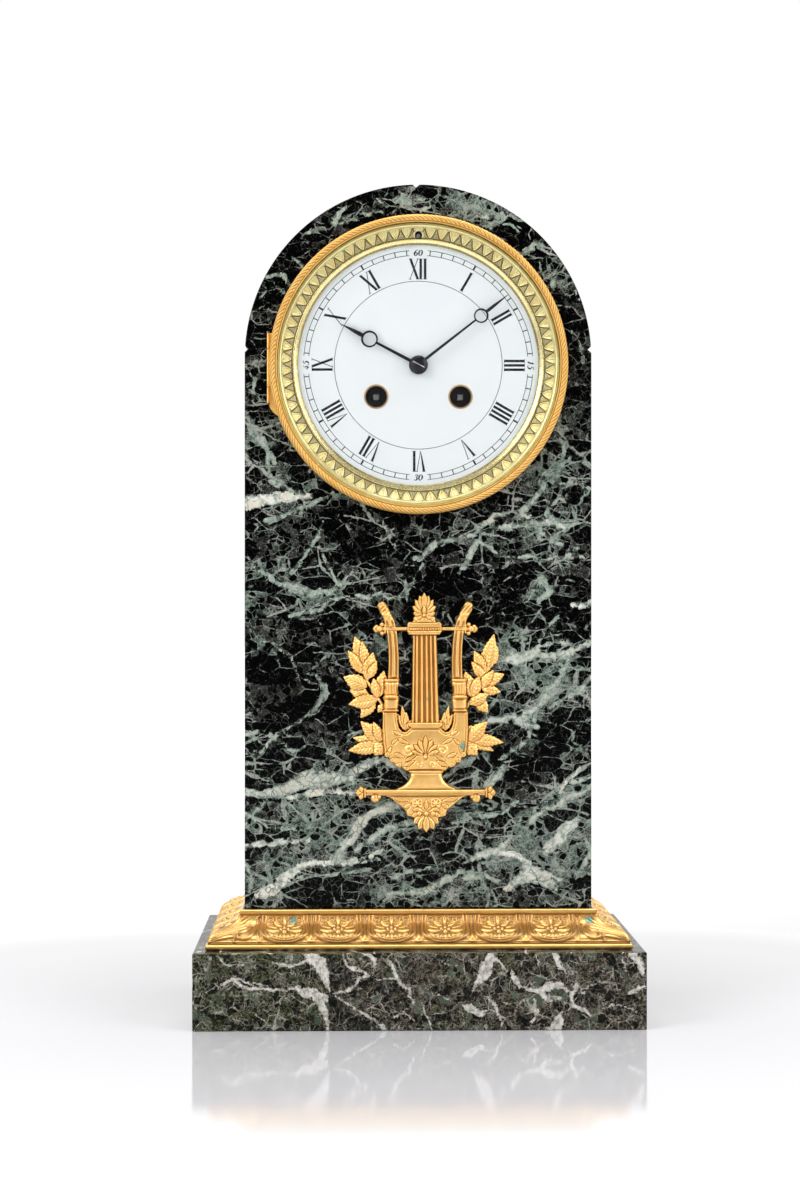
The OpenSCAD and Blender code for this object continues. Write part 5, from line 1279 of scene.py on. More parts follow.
    # top palmette
    sd = R.poly([(440, 250), (452, 226), (470, 214), (556, 214), (574, 226), (588, 250)])
    R.paint(sd, 2.8 + 1.0 * dome(sd, 12), 5, 0.5)
    for sgn in (-1, 1):
        R.disc(514 + sgn * 52, 228, 16, 1.2, 3.0)
    lobes = [(-128, 72), (-100, 84), (-72, 92), (-45, 96), (-20, 100), (128, 72), (100, 84), (72, 92), (45, 96), (20, 100), (0, 112)]
    for a, L in lobes:
        s_, c_ = math.sin(math.radians(a)), math.cos(math.radians(a))
        R.petal(513 + 10 * s_, 190 - 10 * c_ + 6, 513 + L * 0.82 * s_, 180 - L * c_, 36, 1.2, 2.8, gap=5)
    R.petal(513, 214, 513, 150, 26, 1.3, 3.4)
    R.disc(513, 206, 12, 1.5, 3.2)

    # neck
    neck = smooth_path([(430, 1142), (620, 1142), (621, 1165), (632, 1200), (660, 1230), (702, 1252), (702, 1264), (350, 1264),
                        (350, 1252), (392, 1230), (420, 1200), (429, 1165)], 4)
    sd = R.poly(neck)
    R.paint(sd, 2.4 + 2.1 * dome(sd, 46), 6, 0.5)
    R.add(0.5 * np.exp(-((Y - 1150) / 6) ** 2), sd > 0)
    R.add(-0.4 * np.exp(-((Y - 1162) / 4) ** 2), sd > 0)

    # base bar, its finials and drops
    console = smooth_path([(262, 1288), (300, 1304), (352, 1342), (400, 1386), (432, 1424), (624, 1424), (652, 1386), (700, 1342),
                           (750, 1304), (790, 1288)], 4)
    sd = R.poly(console)
    R.paint(sd, 2.6 + 0.8 * dome(sd, 9), 6, 0.5)
    R.add(-0.5 * np.exp(-((sd - 13) / 3.2) ** 2), sd > 0)
    for x in (472, 582):
        R.disc(x, 1342, 34, 0.5, 3.0, gap=4)
        d = np.hypot(X - x, Y - 1342)
        R.add(0.7 * np.exp(-((d - 30) / 4.5) ** 2))
        a = np.arctan2(Y - 1342, X - x)
        R.add(0.45 * np.cos(6 * a) * np.clip((26 - d) / 6, 0, 1) * np.clip(d / 12, 0, 1))
        R.add(0.9 * np.exp(-(d / 7) ** 2))
    for sgn in (-1, 1):
        R.petal(525 + sgn * 100, 1325, 525 + sgn * 190, 1312, 30, 0.8, 3.2)
        R.petal(525 + sgn * 92, 1345, 525 + sgn * 135, 1372, 28, 0.8, 3.2)
    R.petal(525, 1320, 525, 1380, 24, 0.9, 3.2)
    R.bar(132, 1276, 912, 1276, 38, 38, 1.2, 3.0, flat=0.7)
    R.add(-0.7 * np.exp(-((Y - 1284) / 3.2) ** 2) * (np.abs(X - 520) < 385))
    R.add(0.4 * np.exp(-((Y - 1268) / 4.0) ** 2) * (np.abs(X - 520) < 385) * (R.H > 3))
    for sgn in (-1, 1):
        cx = lambda d: 522 + sgn * d
        R.petal(cx(360), 1278, cx(424), 1278, 56, 1.7, 2.6)
        R.petal(cx(380), 1278, cx(396), 1238, 30, 1.5, 2.4)
        R.petal(cx(380), 1278, cx(396), 1320, 30, 1.5, 2.4)
        R.bar(cx(366), 1248, cx(366), 1308, 14, 14, 1.4, 2.6)
        R.disc(cx(306), 1312, 27, 1.6, 2.4)
        R.disc(cx(280), 1304, 13, 1.2, 2.4)

    # shell
    for a, L in [(-104, 88), (104, 88), (-78, 96), (78, 96), (-52, 104), (52, 104), (-26, 112), (26, 112), (0, 118)]:
        s_, c_ = math.sin(math.radians(a)), math.cos(math.radians(a))
        R.petal(525 + 14 * s_, 1400 + 14 * c_, 525 + L * 0.93 * s_, 1400 + L * c_, 44, 1.3, 2.8, gap=5)
    R.disc(525, 1404, 15, 1.4, 3.4)
    for sgn in (-1, 1):
        R.disc(525 + sgn * 42, 1404, 15, 1.2, 3.2)

    H = np.where(R.S > 0, np.maximum(R.H, 0.9), 0.9)
    H = blur(H, 1)
    H = H * 0.86 + 0.04 * noise2(X * 0.05, Y * 0.05, 4)
    H = np.minimum(H, 5.6)
    # painted shade: hollows and narrow dips of the relief are darkened through the cavity shade attribute
    cav = cavity_of(H, 6, 1.6) + 0.5 * np.clip((blur_wide(H, 2) - H) * 3.0, 0, 1)
    # trim to the outline
    S = blur(R.S, 1)
    cell = (S[:-1, :-1] + S[1:, :-1] + S[:-1, 1:] + S[1:, 1:]) > 0
    ii, jj = np.nonzero(cell)
    ny = S.shape[1]
    idx = lambda i, j: i * ny + j
    quads = np.stack([idx(ii, jj), idx(ii + 1, jj), idx(ii + 1, jj + 1), idx(ii, jj + 1)], -1)
    used = np.unique(quads)
    # boundary points slide onto the true outline
    e = np.concatenate([quads[:, [0, 1]], quads[:, [1, 2]], quads[:, [2, 3]], quads[:, [3, 0]]])
    key = np.minimum(e[:, 0], e[:, 1]).astype(np.int64) * (S.size + 1) + np.maximum(e[:, 0], e[:, 1])
    uniq, first, cnt = np.unique(key, return_index=True, return_counts=True)
    edge = e[first[cnt == 1]]
    gx, gy = np.gradient(S, step)
    g2 = np.maximum(gx ** 2 + gy ** 2, 0.15)
    bnd = np.unique(edge)
    Xf, Yf, Sf = X.ravel().copy(), Y.ravel().copy(), S.ravel()
    move = np.clip(Sf[bnd], -step * 1.2, step * 1.2) / g2.ravel()[bnd]
    Xf[bnd] -= move * gx.ravel()[bnd]
    Yf[bnd] -= move * gy.ravel()[bnd]
    remap = -np.ones(S.size, int)
    remap[used] = np.arange(len(used))
    px, pz = -40.95 + 0.08563 * Xf[used], 227.5 - 0.08563 * Yf[used]
    hh = H.ravel()[used]
    onb = np.isin(used, bnd)
    hh = np.where(onb, np.minimum(hh, 1.6), hh)
    top = np.stack([px, YF - hh, pz], -1)
    back = np.stack([px, np.full_like(px, YF), pz], -1)
    n = len(used)
    q = remap[quads]
    eb = remap[edge]
    faces = np.concatenate([q[:, ::-1], q + n, np.stack([eb[:, 0], eb[:, 1], eb[:, 1] + n, eb[:, 0] + n], -1)])
    # the hidden back gets a fixed painted shade
    c = np.concatenate([cav.ravel()[used], np.ones(n) * 0.8])
    o = fast_mesh("lyre_relief", np.concatenate([top, back]), faces, M["lyre_gilt"], "case", c)
    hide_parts("lyre_mount")


lyre()


# ------------------------------------------------------------------ base moulding
def ogee(t, o0, o1, z0, z1):
    return o0 + (o1 - o0) * (t - 0.13 * np.sin(2 * math.pi * t)), z0 + (z1 - z0) * (t + 0.05 * np.sin(2 * math.pi * t))


MZ0, MZ1 = BASE_H, BODY_Z0 - 0.4
FOOT, CAP = 3.1, 2.4


def moulding_profile(n):
    """Points of the outer section as (reach, height), with v = 0..1 over the ornamented ogee."""
    o, z, v = [], [], []
    for k in range(13):
        q = math.radians(-90 + 15 * k)
        o.append(17.9 + 1.6 * math.cos(q)), z.append(MZ0 + 1.5 + 1.5 * math.sin(q)), v.append(-1.0)
    for a, b_ in ((17.75, MZ0 + 3.02), (17.8, MZ0 + 3.2), (18.1, MZ0 + 3.3)):
        o.append(a), z.append(b_), v.append(-2.0)
    t_ = np.linspace(0, 1, n)
    oo, zz = ogee(t_, 18.2, 2.7, MZ0 + FOOT + 0.35, MZ1 - CAP)
    o += list(oo)
    z += list(zz)
    v += list(t_)
    for a, b_, c in ((2.35, MZ1 - CAP + 0.08, -2.0), (2.4, MZ1 - CAP + 0.3, 2.0), (2.62, MZ1 - CAP + 0.75, 2.0), (2.66, MZ1 - 1.2, 2.0),
                     (2.5, MZ1 - 0.75, 2.0), (2.15, MZ1 - 0.3, 2.0), (1.7, MZ1 - 0.06, 2.0), (0.2, MZ1, 2.0)):
        o.append(a), z.append(b_), v.append(c)
    return np.array(o), np.array(z), np.array(v)


def cup_height(x, v, xc, pitch=27.4):
    """Relief of one oval cup and half the dart on each side. x along the run, v up the ogee."""
    a = x - xc                      # mm from the middle of the cup
    h = np.zeros_like(a)
    y = v * 17.6                    # mm up the slope
    # outline of the cup: straight sides above, a half ellipse below
    rx, ry, yc = 11.5, 7.6, 8.6
    top = np.abs(a) - rx + 0.06 * (y - yc)
    bot = (np.sqrt((a / rx) ** 2 + (np.minimum(y - yc, 0) / ry) ** 2) - 1) * np.where(np.abs(a) > 6, 9.8, 7.8)
    sd = np.where(y > yc, top, bot)
    h = h + 1.25 * ridge(sd - 0.40, 0.68)
    h = h + 0.55 * ridge(sd + 1.25, 0.45)
    inside = np.clip(-(sd + 1.7) / 0.8, 0, 1)
    # a smooth half-moon in the foot of the cup, scalloped along its edge
    moon = (8.1 - y) * 0.6 * (sd < -1.7)
    rim = np.clip((-sd - 2.0 - 0.35 * np.abs(np.cos(a * math.pi / 2.3))) / 0.5, 0, 1)
    h = h + inside * 0.12 + 0.42 * rim * np.clip(moon, 0, 1)
    # dart between the cups
    d = pitch / 2 - np.abs(a)
    dart = np.clip(1 - d / (0.50 + 2.4 * np.clip((8.5 - y) / 8.5, 0, 1) ** 1.6), 0, 1)
    out = np.clip((sd - 1.2) / 0.5, 0, 1)
    h = h + out * (0.80 * np.sqrt(dart) - 0.20 + 0.30 * ridge(d - 1.25, 0.40) * (y > 6))
    # a thin bright fillet along the foot
    h = h + out * 0.45 * ridge(y - 1.0, 0.5)

    def lobe(x0, y0, x1, y1, w, k, p=1.4):
        nonlocal h
        for s in (-1, 1):
            L = math.hypot(x1 - x0, y1 - y0)
            ux, uy = s * (x1 - x0) / L, (y1 - y0) / L
            dx, dy = a - s * x0, y - y0
            t_ = (dx * ux + dy * uy) / L
            q = -dx * uy + dy * ux
            hw = w / 2 * np.sin(math.pi * np.clip(0.1 + 0.9 * t_, 0, 1) ** p) ** 0.8 + 1e-3
            e = np.clip(1 - (q / hw) ** 2, 0, 1) * (t_ > 0) * (t_ < 1)
            hh = 0.25 + k * np.sqrt(e) * (0.6 + 0.4 * np.clip(t_, 0, 1)) - 0.18 * np.exp(-(q / 0.35) ** 2)
            h = np.where(e > 0, np.maximum(h * 0.4, hh), np.where((np.abs(q) < hw + 0.5) & (t_ > -0.05) & (t_ < 1.05), h * 0.55, h))
            if x0 == 0 and x1 == 0:
                break

    # small pendants over the half-moon
    lobe(2.6, 7.6, 5.6, 4.2, 2.0, 0.55)
    lobe(0.9, 7.2, 2.3, 3.2, 1.9, 0.60)
    lobe(0, 7.4, 0, 2.6, 1.8, 0.75)
    # two wings spread over the middle, and two leaves above them
    lobe(1.2, 8.9, 9.3, 8.5, 3.3, 1.10)
    lobe(1.2, 9.8, 8.8, 11.6, 3.0, 1.05)
    lobe(1.0, 10.6, 6.0, 14.0, 2.6, 0.95)
    # the bud in the middle
    for (bx_, by_, r, k) in ((0, 8.0, 1.45, 1.35), (1.9, 9.6, 1.15, 1.2), (0, 10.2, 1.2, 1.3)):
        for s in ((-1, 1) if bx_ else (1,)):
            rr = np.hypot(a - s * bx_, y - by_)
            h = np.where(rr < r, np.maximum(h * 0.3, 0.2 + k * np.sqrt(np.clip(1 - (rr / r) ** 2, 0, 1))),
                         np.where(rr < r + 0.45, h * 0.4, h))
    # scrolls at the top
    for s in (-1, 1):
        for (cx, cy, r) in ((3.1, 15.0, 1.7), (7.4, 14.9, 1.8)):
            rr = np.hypot(a - s * cx, (y - cy) * 1.1)
            k = ridge(rr - r * 0.76, 0.5)
            h = np.where(rr < r + 0.3, np.maximum(h * 0.2, 1.05 * k + 0.6 * np.exp(-(rr / 0.6) ** 2)), h)
    lobe(0, 11.4, 0, 16.6, 2.4, 1.1)
    return h * np.clip((y - 0.3) / 0.7, 0, 1) * np.clip((17.5 - y) / 0.6, 0, 1)


def corner_height(c, v):
    """Acanthus leaf folded over a mitre. c is the distance from the mitre along the run."""
    y = v * 17.6
    edge = 14.4 - 0.20 * y + 0.7 * np.cos(y * 2 * math.pi / 4.4)
    sd = edge - c
    h = np.where(sd > 0, 0.10, 0.0)
    # long blades spring from the foot of the mitre and lean out along the run
    for (c0, y0, c1, y1, w, k) in ((0.8, 1.0, 12.4, 4.2, 2.6, 0.95), (0.9, 1.6, 11.2, 7.6, 2.6, 1.0), (0.9, 2.6, 9.6, 10.8, 2.5, 1.05),
                                   (0.9, 4.4, 7.8, 13.6, 2.3, 1.05), (0.9, 6.8, 5.8, 16.0, 2.1, 1.0), (0.8, 10.0, 3.4, 17.0, 1.7, 0.9)):
        L = math.hypot(c1 - c0, y1 - y0)
        ux, uy = (c1 - c0) / L, (y1 - y0) / L
        t_ = ((c - c0) * ux + (y - y0) * uy) / L
        q = -(c - c0) * uy + (y - y0) * ux - 0.9 * np.sin(math.pi * np.clip(t_, 0, 1))
        hw = w / 2 * np.sin(math.pi * np.clip(0.08 + 0.92 * t_, 0, 1) ** 1.25) ** 0.8 + 1e-3
        e = np.clip(1 - (q / hw) ** 2, 0, 1) * (t_ > 0) * (t_ < 1)
        hh = 0.15 + k * np.sqrt(e) - 0.30 * np.exp(-(q / 0.30) ** 2)
        h = np.where(e > 0, np.maximum(h * 0.5, hh), np.where((np.abs(q) < hw + 0.4) & (t_ > 0) & (t_ < 1), h * 0.4, h))
    # the curled band that closes the leaf, and the rib along the mitre
    h = np.where(sd > 0, np.maximum(h, 1.15 * ridge(sd - 0.9, 0.62)), h)
    h = np.maximum(h, 1.30 * np.sqrt(np.clip(1 - (c / 1.25) ** 2, 0, 1)))
    h = h + 0.35 * ridge(y - 0.9, 0.5) * (c > 1.4)
    return h * np.clip((y - 0.2) / 0.6, 0, 1) * np.clip((17.55 - y) / 0.5, 0, 1)


def moulding_run(name, node, side):
    nprof = 84
    o, z, v = moulding_profile(nprof)
    n = len(o)
    if side == 0:
        length = 2 * (HALF_W + 19.5)
    else:
        length = YB - 0.2 - (YF - 19.5)
    nu = int(length / 0.27)
    tt = np.linspace(0, 1, nu)
    T, O = np.meshgrid(tt, o, indexing="ij")
    _, Z = np.meshgrid(tt, z, indexing="ij")
    _, V = np.meshgrid(tt, v, indexing="ij")
    orn = (V >= 0) & (V <= 1)
    Vc = np.clip(V, 0, 1)
    # outward normal of the section
    do, dz_ = np.gradient(o), np.gradient(z)
    ln = np.hypot(do, dz_) + 1e-9
    no, nz = dz_ / ln, -do / ln
    NO, NZ = np.broadcast_to(no, T.shape), np.broadcast_to(nz, T.shape)
    if side == 0:
        half = HALF_W + O
        Xr = -half + 2 * half * T
        corner = half - np.abs(Xr)
        cups = [-68.9 + 27.45 * i for i in range(6)]
        centres = np.array(cups)
        k = np.abs(Xr[..., None] - centres).argmin(-1)
        xc = centres[k]
        h = cup_height(Xr, Vc, xc)
        # partial loops past the last cups give way to the corner leaves
        hc = corner_height(corner, Vc)
        edge = 14.6 - 0.22 * Vc * 17.6
        h = np.where(corner < edge, hc, h)
        far = np.abs(Xr - xc) > 13.75
        third = np.abs(np.abs(Xr) - 92.2)
        Yc = Vc * 17.6
        curl = np.abs(np.hypot(third - 2.6, (Yc - 13.0) * 0.62) - 6.3)
        h = np.where(far & (corner >= edge), np.maximum(1.0 * ridge(curl, 0.6), 0.45 * ridge(Yc - 1.0, 0.5)) * (Vc < 0.97), h)
    else:
        y0 = YF - O
        Yr = y0 + (YB - 0.2 - y0) * T
        corner = Yr - y0
        centres = np.array([-12.6 + 27.45 * i for i in range(-1, 4)])
        k = np.abs(Yr[..., None] - centres).argmin(-1)
        h = cup_height(Yr, Vc, centres[k])
        hc = corner_height(corner, Vc)
        edge = 14.6 - 0.22 * Vc * 17.6
        h = np.where(corner < edge, hc, h)
    h = np.where(orn, h, 0)
    lim = 0.95
    h = blur(h, 1) * lim
    h = h + 0.03 * noise2(T * length * 0.8, V * 14, 7)
    # painted shade: hollows of the ornament are darkened, the ornamented ogee a little all over, and dark lines sit in
    # the quirk and under the foot
    cav = cavity_of(h, 5, 1.5) + 0.6 * np.clip((blur_wide(h, 2) - h) * 3.0, 0, 1)
    cav = np.where(orn, cav + 0.10, cav)
    cav = np.where((V == -2.0) | ((V == -1.0) & (Z < MZ0 + 0.35)), 0.9, cav)
    sink = 0.85
    Od = O + NO * (h - sink * orn)
    Zd = Z + NZ * (h - sink * orn)
    Od = np.minimum(Od, 19.5)
    if side == 0:
        hx = (HALF_W + Od)
        # keep the mitre sharp: the run ends follow the displaced reach
        Xd = np.clip(Xr, -hx, hx)
        Xd[0, :], Xd[-1, :] = -hx[0, :], hx[-1, :]
        P = np.stack([Xd, YF - Od, Zd], -1)
        inner = np.stack([np.clip(Xr, -HALF_W - 0.2, HALF_W + 0.2), np.full_like(Xr, YF - 0.2), Z], -1)
    else:
        s = -1 if side < 0 else 1
        Yd = np.maximum(Yr, YF - Od)
        Yd[0, :] = (YF - Od)[0, :]
        P = np.stack([s * (HALF_W + Od), Yd, Zd], -1)
        inner = np.stack([np.full_like(Yr, s * (HALF_W + 0.2)), np.maximum(Yr, YF - 0.2), Z], -1)
    nu_, nv_ = P.shape[:2]
    flip = side == 1
    faces = [grid_faces(nu_, nv_, flip=not flip)]
    V0 = P.reshape(-1, 3)
    # close the ends, the top and the underside with a flat inner sheet
    low = np.stack([P[:, 0, :], inner[:, 0, :]], 1)
    low[:, 1, 2] = MZ0
    base = len(V0)
    V1 = low[:, 1, :]
    f_under = np.stack([np.arange(nu_ - 1) * nv_, (np.arange(nu_ - 1) + 1) * nv_, base + np.arange(1, nu_), base + np.arange(nu_ - 1)], -1)
    faces.append(f_under if not flip else f_under[:, ::-1])
    # plain inner wall from the underside up to the top edge
    top_idx = np.arange(nu_) * nv_ + nv_ - 1
    f_wall = np.stack([base + np.arange(nu_ - 1), base + np.arange(1, nu_), top_idx[1:], top_idx[:-1]], -1)
    faces.append(f_wall if not flip else f_wall[:, ::-1])
    allv = np.concatenate([V0, V1])
    # the flat inner sheet gets full painted shade
    c = np.concatenate([cav.reshape(-1), np.ones(len(V1))])
    ob = fast_mesh(name, allv, np.concatenate(faces), M["moulding_gilt"], "case", c)
    # the two end sections
    bm = bmesh.new()
    bm.from_mesh(ob.data)
    bm.verts.ensure_lookup_table()
    for i in (0, nu_ - 1):
        loop = [bm.verts[i * nv_ + j] for j in range(nv_)] + [bm.verts[base + i]]
        try:
            f = bm.faces.new(loop if (i == 0) == flip else loop[::-1])
            f.smooth = False
        except ValueError:
            pass
    bm.normal_update()
    bm.to_mesh(ob.data)
    bm.free()
    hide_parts(node)
    return ob


moulding_run("moulding_front_relief", "moulding_front", 0)
moulding_run("moulding_left_relief", "moulding_left", -1)
moulding_run("moulding_right_relief", "moulding_right", 1)


# ------------------------------------------------------------------ rings about the dial axis
def ring_surface(name, prof, nt, disp, mat, body):
    """A turned ring. prof is a closed list of (radius, y); disp(theta, index) gives the rise and the soil."""
    prof = np.array(prof, float)
    n = len(prof)
    nxt, prv = np.roll(prof, -1, 0), np.roll(prof, 1, 0)
    tan = nxt - prv
    ln = np.hypot(tan[:, 0], tan[:, 1]) + 1e-9
    # the profile runs so that its left side is outside
    nr, ny_ = tan[:, 1] / ln, -tan[:, 0] / ln
    area = 0.5 * np.sum(prof[:, 0] * nxt[:, 1] - nxt[:, 0] * prof[:, 1])
    if area < 0:
        nr, ny_ = -nr, -ny_
    th = np.arange(nt) * 2 * math.pi / nt
    TH, K = np.meshgrid(th, np.arange(n), indexing="ij")
    h, cav = disp(TH, K) if disp else (np.zeros_like(TH), None)
    Rr = prof[:, 0][None] + nr[None] * h
    Yy = prof[:, 1][None] + ny_[None] * h
    P = np.stack([Rr * np.sin(TH), Yy, DZ + Rr * np.cos(TH)], -1).reshape(-1, 3)
    i, j = np.meshgrid(np.arange(nt), np.arange(n), indexing="ij")
    i2, j2 = (i + 1) % nt, (j + 1) % n
    f = np.stack([i * n + j, i2 * n + j, i2 * n + j2, i * n + j2], -1).reshape(-1, 4)
    if area > 0:
        f = f[:, ::-1]
    return fast_mesh(name, P, f, mat, body, None if cav is None else cav.reshape(-1))


def arc(cx, cy, r, a0, a1, n, sx=1.0, sy=1.0):
    return [(cx + r * sx * math.cos(math.radians(a0 + (a1 - a0) * i / n)), cy + r * sy * math.sin(math.radians(a0 + (a1 - a0) * i / n)))
            for i in range(n + 1)]


class Solid:
    """Small metal shapes gathered into one mesh."""

    def __init__(self):
        self.bm = bmesh.new()

    def vert(self, x, y, z):
        return self.bm.verts.new((x * MM, y * MM, z * MM))

    def loft(self, rings):
        """Closed skin through rings of points that all have the same count."""
        rs = [[self.vert(*q) for q in ring_] for ring_ in rings]
        n = len(rs[0])
        for a, b_ in zip(rs, rs[1:]):
            for i in range(n):
                self.bm.faces.new((a[i], a[(i + 1) % n], b_[(i + 1) % n], b_[i]))
        self.bm.faces.new(rs[0][::-1])
        self.bm.faces.new(rs[-1])

    def upright(self, x, y, z0, z1, r, n=28):
        """A turned barrel standing along z, its ends eased."""
        self.loft([[(x + q * math.cos(2 * math.pi * i / n), y + q * math.sin(2 * math.pi * i / n), z) for i in range(n)]
                   for z, q in ((z0, r - 0.14), (z0 + 0.14, r), (z1 - 0.14, r), (z1, r - 0.14))])

    def along_y(self, x, z, sections, n=32, turn=0.0, square=False):
        """A body along y through (y, radius) sections; square ones have four flat sides."""
        if square:
            n, turn = 4, math.pi / 4
        self.loft([[(x + q * math.cos(2 * math.pi * i / n + turn), y, z + q * math.sin(2 * math.pi * i / n + turn)) for i in range(n)]
                   for y, q in sections])

    def plate(self, pts, y0, y1, ease=0.12):
        """A flat plate cut to an (x, z) outline, eased round its front edge."""
        cx, cz = sum(q[0] for q in pts) / len(pts), sum(q[1] for q in pts) / len(pts)
        small = [(x + (cx - x) * ease / (math.hypot(cx - x, cz - z) + 1e-6), z + (cz - z) * ease / (math.hypot(cx - x, cz - z) + 1e-6)) for x, z in pts]
        self.loft([[(x, y0, z) for x, z in small], [(x, y0 + ease, z) for x, z in pts], [(x, y1, z) for x, z in pts]])

    def done(self, name, mat, body, node=None, smooth=35):
        bmesh.ops.recalc_face_normals(self.bm, faces=self.bm.faces)
        me = bpy.data.meshes.new(name)
        self.bm.to_mesh(me)
        self.bm.free()
        me.materials.append(mat)
        me.polygons.foreach_set("use_smooth", np.ones(len(me.polygons), bool))
        me.set_sharp_from_angle(angle=math.radians(smooth))
        o = bpy.data.objects.new(name, me)
        bpy.context.collection.objects.link(o)
        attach(o, body)
        if node:
            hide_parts(node)
        return o


def bore(o, holes, mat):
    """Cuts round holes along y: (x, z from the dial centre, radius)."""
    for (x, z, r) in holes:
        bpy.ops.mesh.primitive_cylinder_add(vertices=72, radius=r * MM, depth=0.06, location=(x * MM, (YF + 8) * MM, (DZ + z) * MM), rotation=(math.radians(90), 0, 0))
        c = bpy.context.active_object
        mod = o.modifiers.new("hole", "BOOLEAN")
        mod.operation, mod.object, mod.solver = "DIFFERENCE", c, "EXACT"
        bpy.context.view_layer.objects.active = o
        bpy.ops.object.select_all(action="DESELECT")
        o.select_set(True)
        bpy.ops.object.modifier_apply(modifier="hole")
        bpy.data.objects.remove(c, do_unlink=True)
    o.data.materials.clear()
    o.data.materials.append(mat)


HX, HY = -77.6, YF - 2.6


def bezel_ring():
    """The hinged ring: a rope-twist front on a rebated back, and its knuckle of the hinge."""
    yb_ = YF - 1.7
    prof = [(74.4, yb_), (76.95, yb_), (77.15, yb_ - 0.15), (77.2, yb_ - 0.5), (77.2, YF - 5.5), (77.1, YF - 5.65), (76.85, YF - 5.7), (76.8, YF - 5.85)]
    rope0 = len(prof)
    prof += [(75.42 + 1.76 * math.cos(math.radians(a)), YF - 7.0 + 2.0 * math.sin(math.radians(a))) for a in np.linspace(26, -138, 36)]
    rope1 = len(prof)
    prof += [(73.95, YF - 8.36), (73.6, YF - 8.36), (73.42, YF - 8.44), (73.25, YF - 8.47), (73.08, YF - 8.44), (72.93, YF - 8.4), (72.9, YF - 8.3), (74.4, YF - 8.3)]
    strands = 196

    def disp(th, k):
        ph = np.clip((k - rope0) / (rope1 - 1 - rope0), 0, 1)
        on = ((k > rope0) & (k < rope1 - 1)) * np.clip(ph / 0.06, 0, 1) * np.clip((1 - ph) / 0.05, 0, 1)
        w = (0.5 + 0.5 * np.cos(th * strands - ph * 17.0)) ** 0.55
        fray = 0.04 * np.cos(th * 977 + ph * 31)
        # painted shade: dark between the rope strands, and dark lines across the lip inside the rope
        lip = np.array([0.0] * rope1 + [1.0, 1.0, 0.35, 0.0, 0.0, 0.25, 0.8, 1.0])[k]
        return (-0.46 * (1 - w) + fray * w) * on, np.clip(1.3 * (1 - w) ** 1.4 * on + lip, 0, 1)

    o = ring_surface("bezel_rope_ring", prof, strands * 12, disp, M["rope_gilt"], "bezel_door")
    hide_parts("bezel_ring")
    k = Solid()
    k.upright(HX, HY, DZ - 11.4, DZ + 7.8, 0.62)
    k.plate([(HX, DZ + 7.6), (HX, DZ - 11.2), (-75.6, DZ - 11.2), (-76.3, DZ), (-76.0, DZ + 7.6)], HY - 0.2, HY + 0.35)
    k.done("bezel_knuckle", M["rope_gilt"], "bezel_door", "bezel_ring")


def bezel_seat():
    """The fixed seat: the flange on the marble, the tube that carries the dial, and the hinge leaf."""
    prof = [(64.2, YF - 1.4), (76.35, YF - 1.4), (76.5, YF - 1.25), (76.5, YF), (65.6, YF), (65.6, YF + 10.5), (60.5, YF + 10.5),
            (60.5, YF + 2.6), (63.8, YF + 2.6), (63.8, YF - 0.4), (64.2, YF - 0.4)]
    o = ring_surface("bezel_seat_ring", prof, 360, None, M["rope_gilt"], "case")
    bore(o, [(0, 66.9, 1.95)], M["rope_gilt"])
    o.data.set_sharp_from_angle(angle=math.radians(35))
    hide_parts("bezel_seat")
    k = Solid()
    for z in (DZ - 19.8, DZ + 8.2):
        k.upright(HX, HY, z, z + 8, 0.62)
        k.plate([(HX - 0.5, z + 7.9), (HX - 0.5, z + 0.1), (HX + 0.5, z + 0.1), (HX + 0.5, z + 7.9)], HY + 0.2, YF - 1.0)
    arc_ = [(-76.45 * math.cos(q), DZ + 76.45 * math.sin(q)) for q in np.linspace(math.radians(-20.5), math.radians(12.4), 16)]
    k.plate([(HX - 0.2, DZ + 16.2), (HX - 0.2, DZ - 12.0), (HX + 0.05, DZ - 19.4), (-76.6, DZ - 22.6), (-74.2, DZ - 25.4)] + arc_, YF - 1.35, YF - 0.02)
    k.done("bezel_hinge_leaf", M["rope_gilt"], "case", "bezel_seat")


bezel_ring()
bezel_seat()


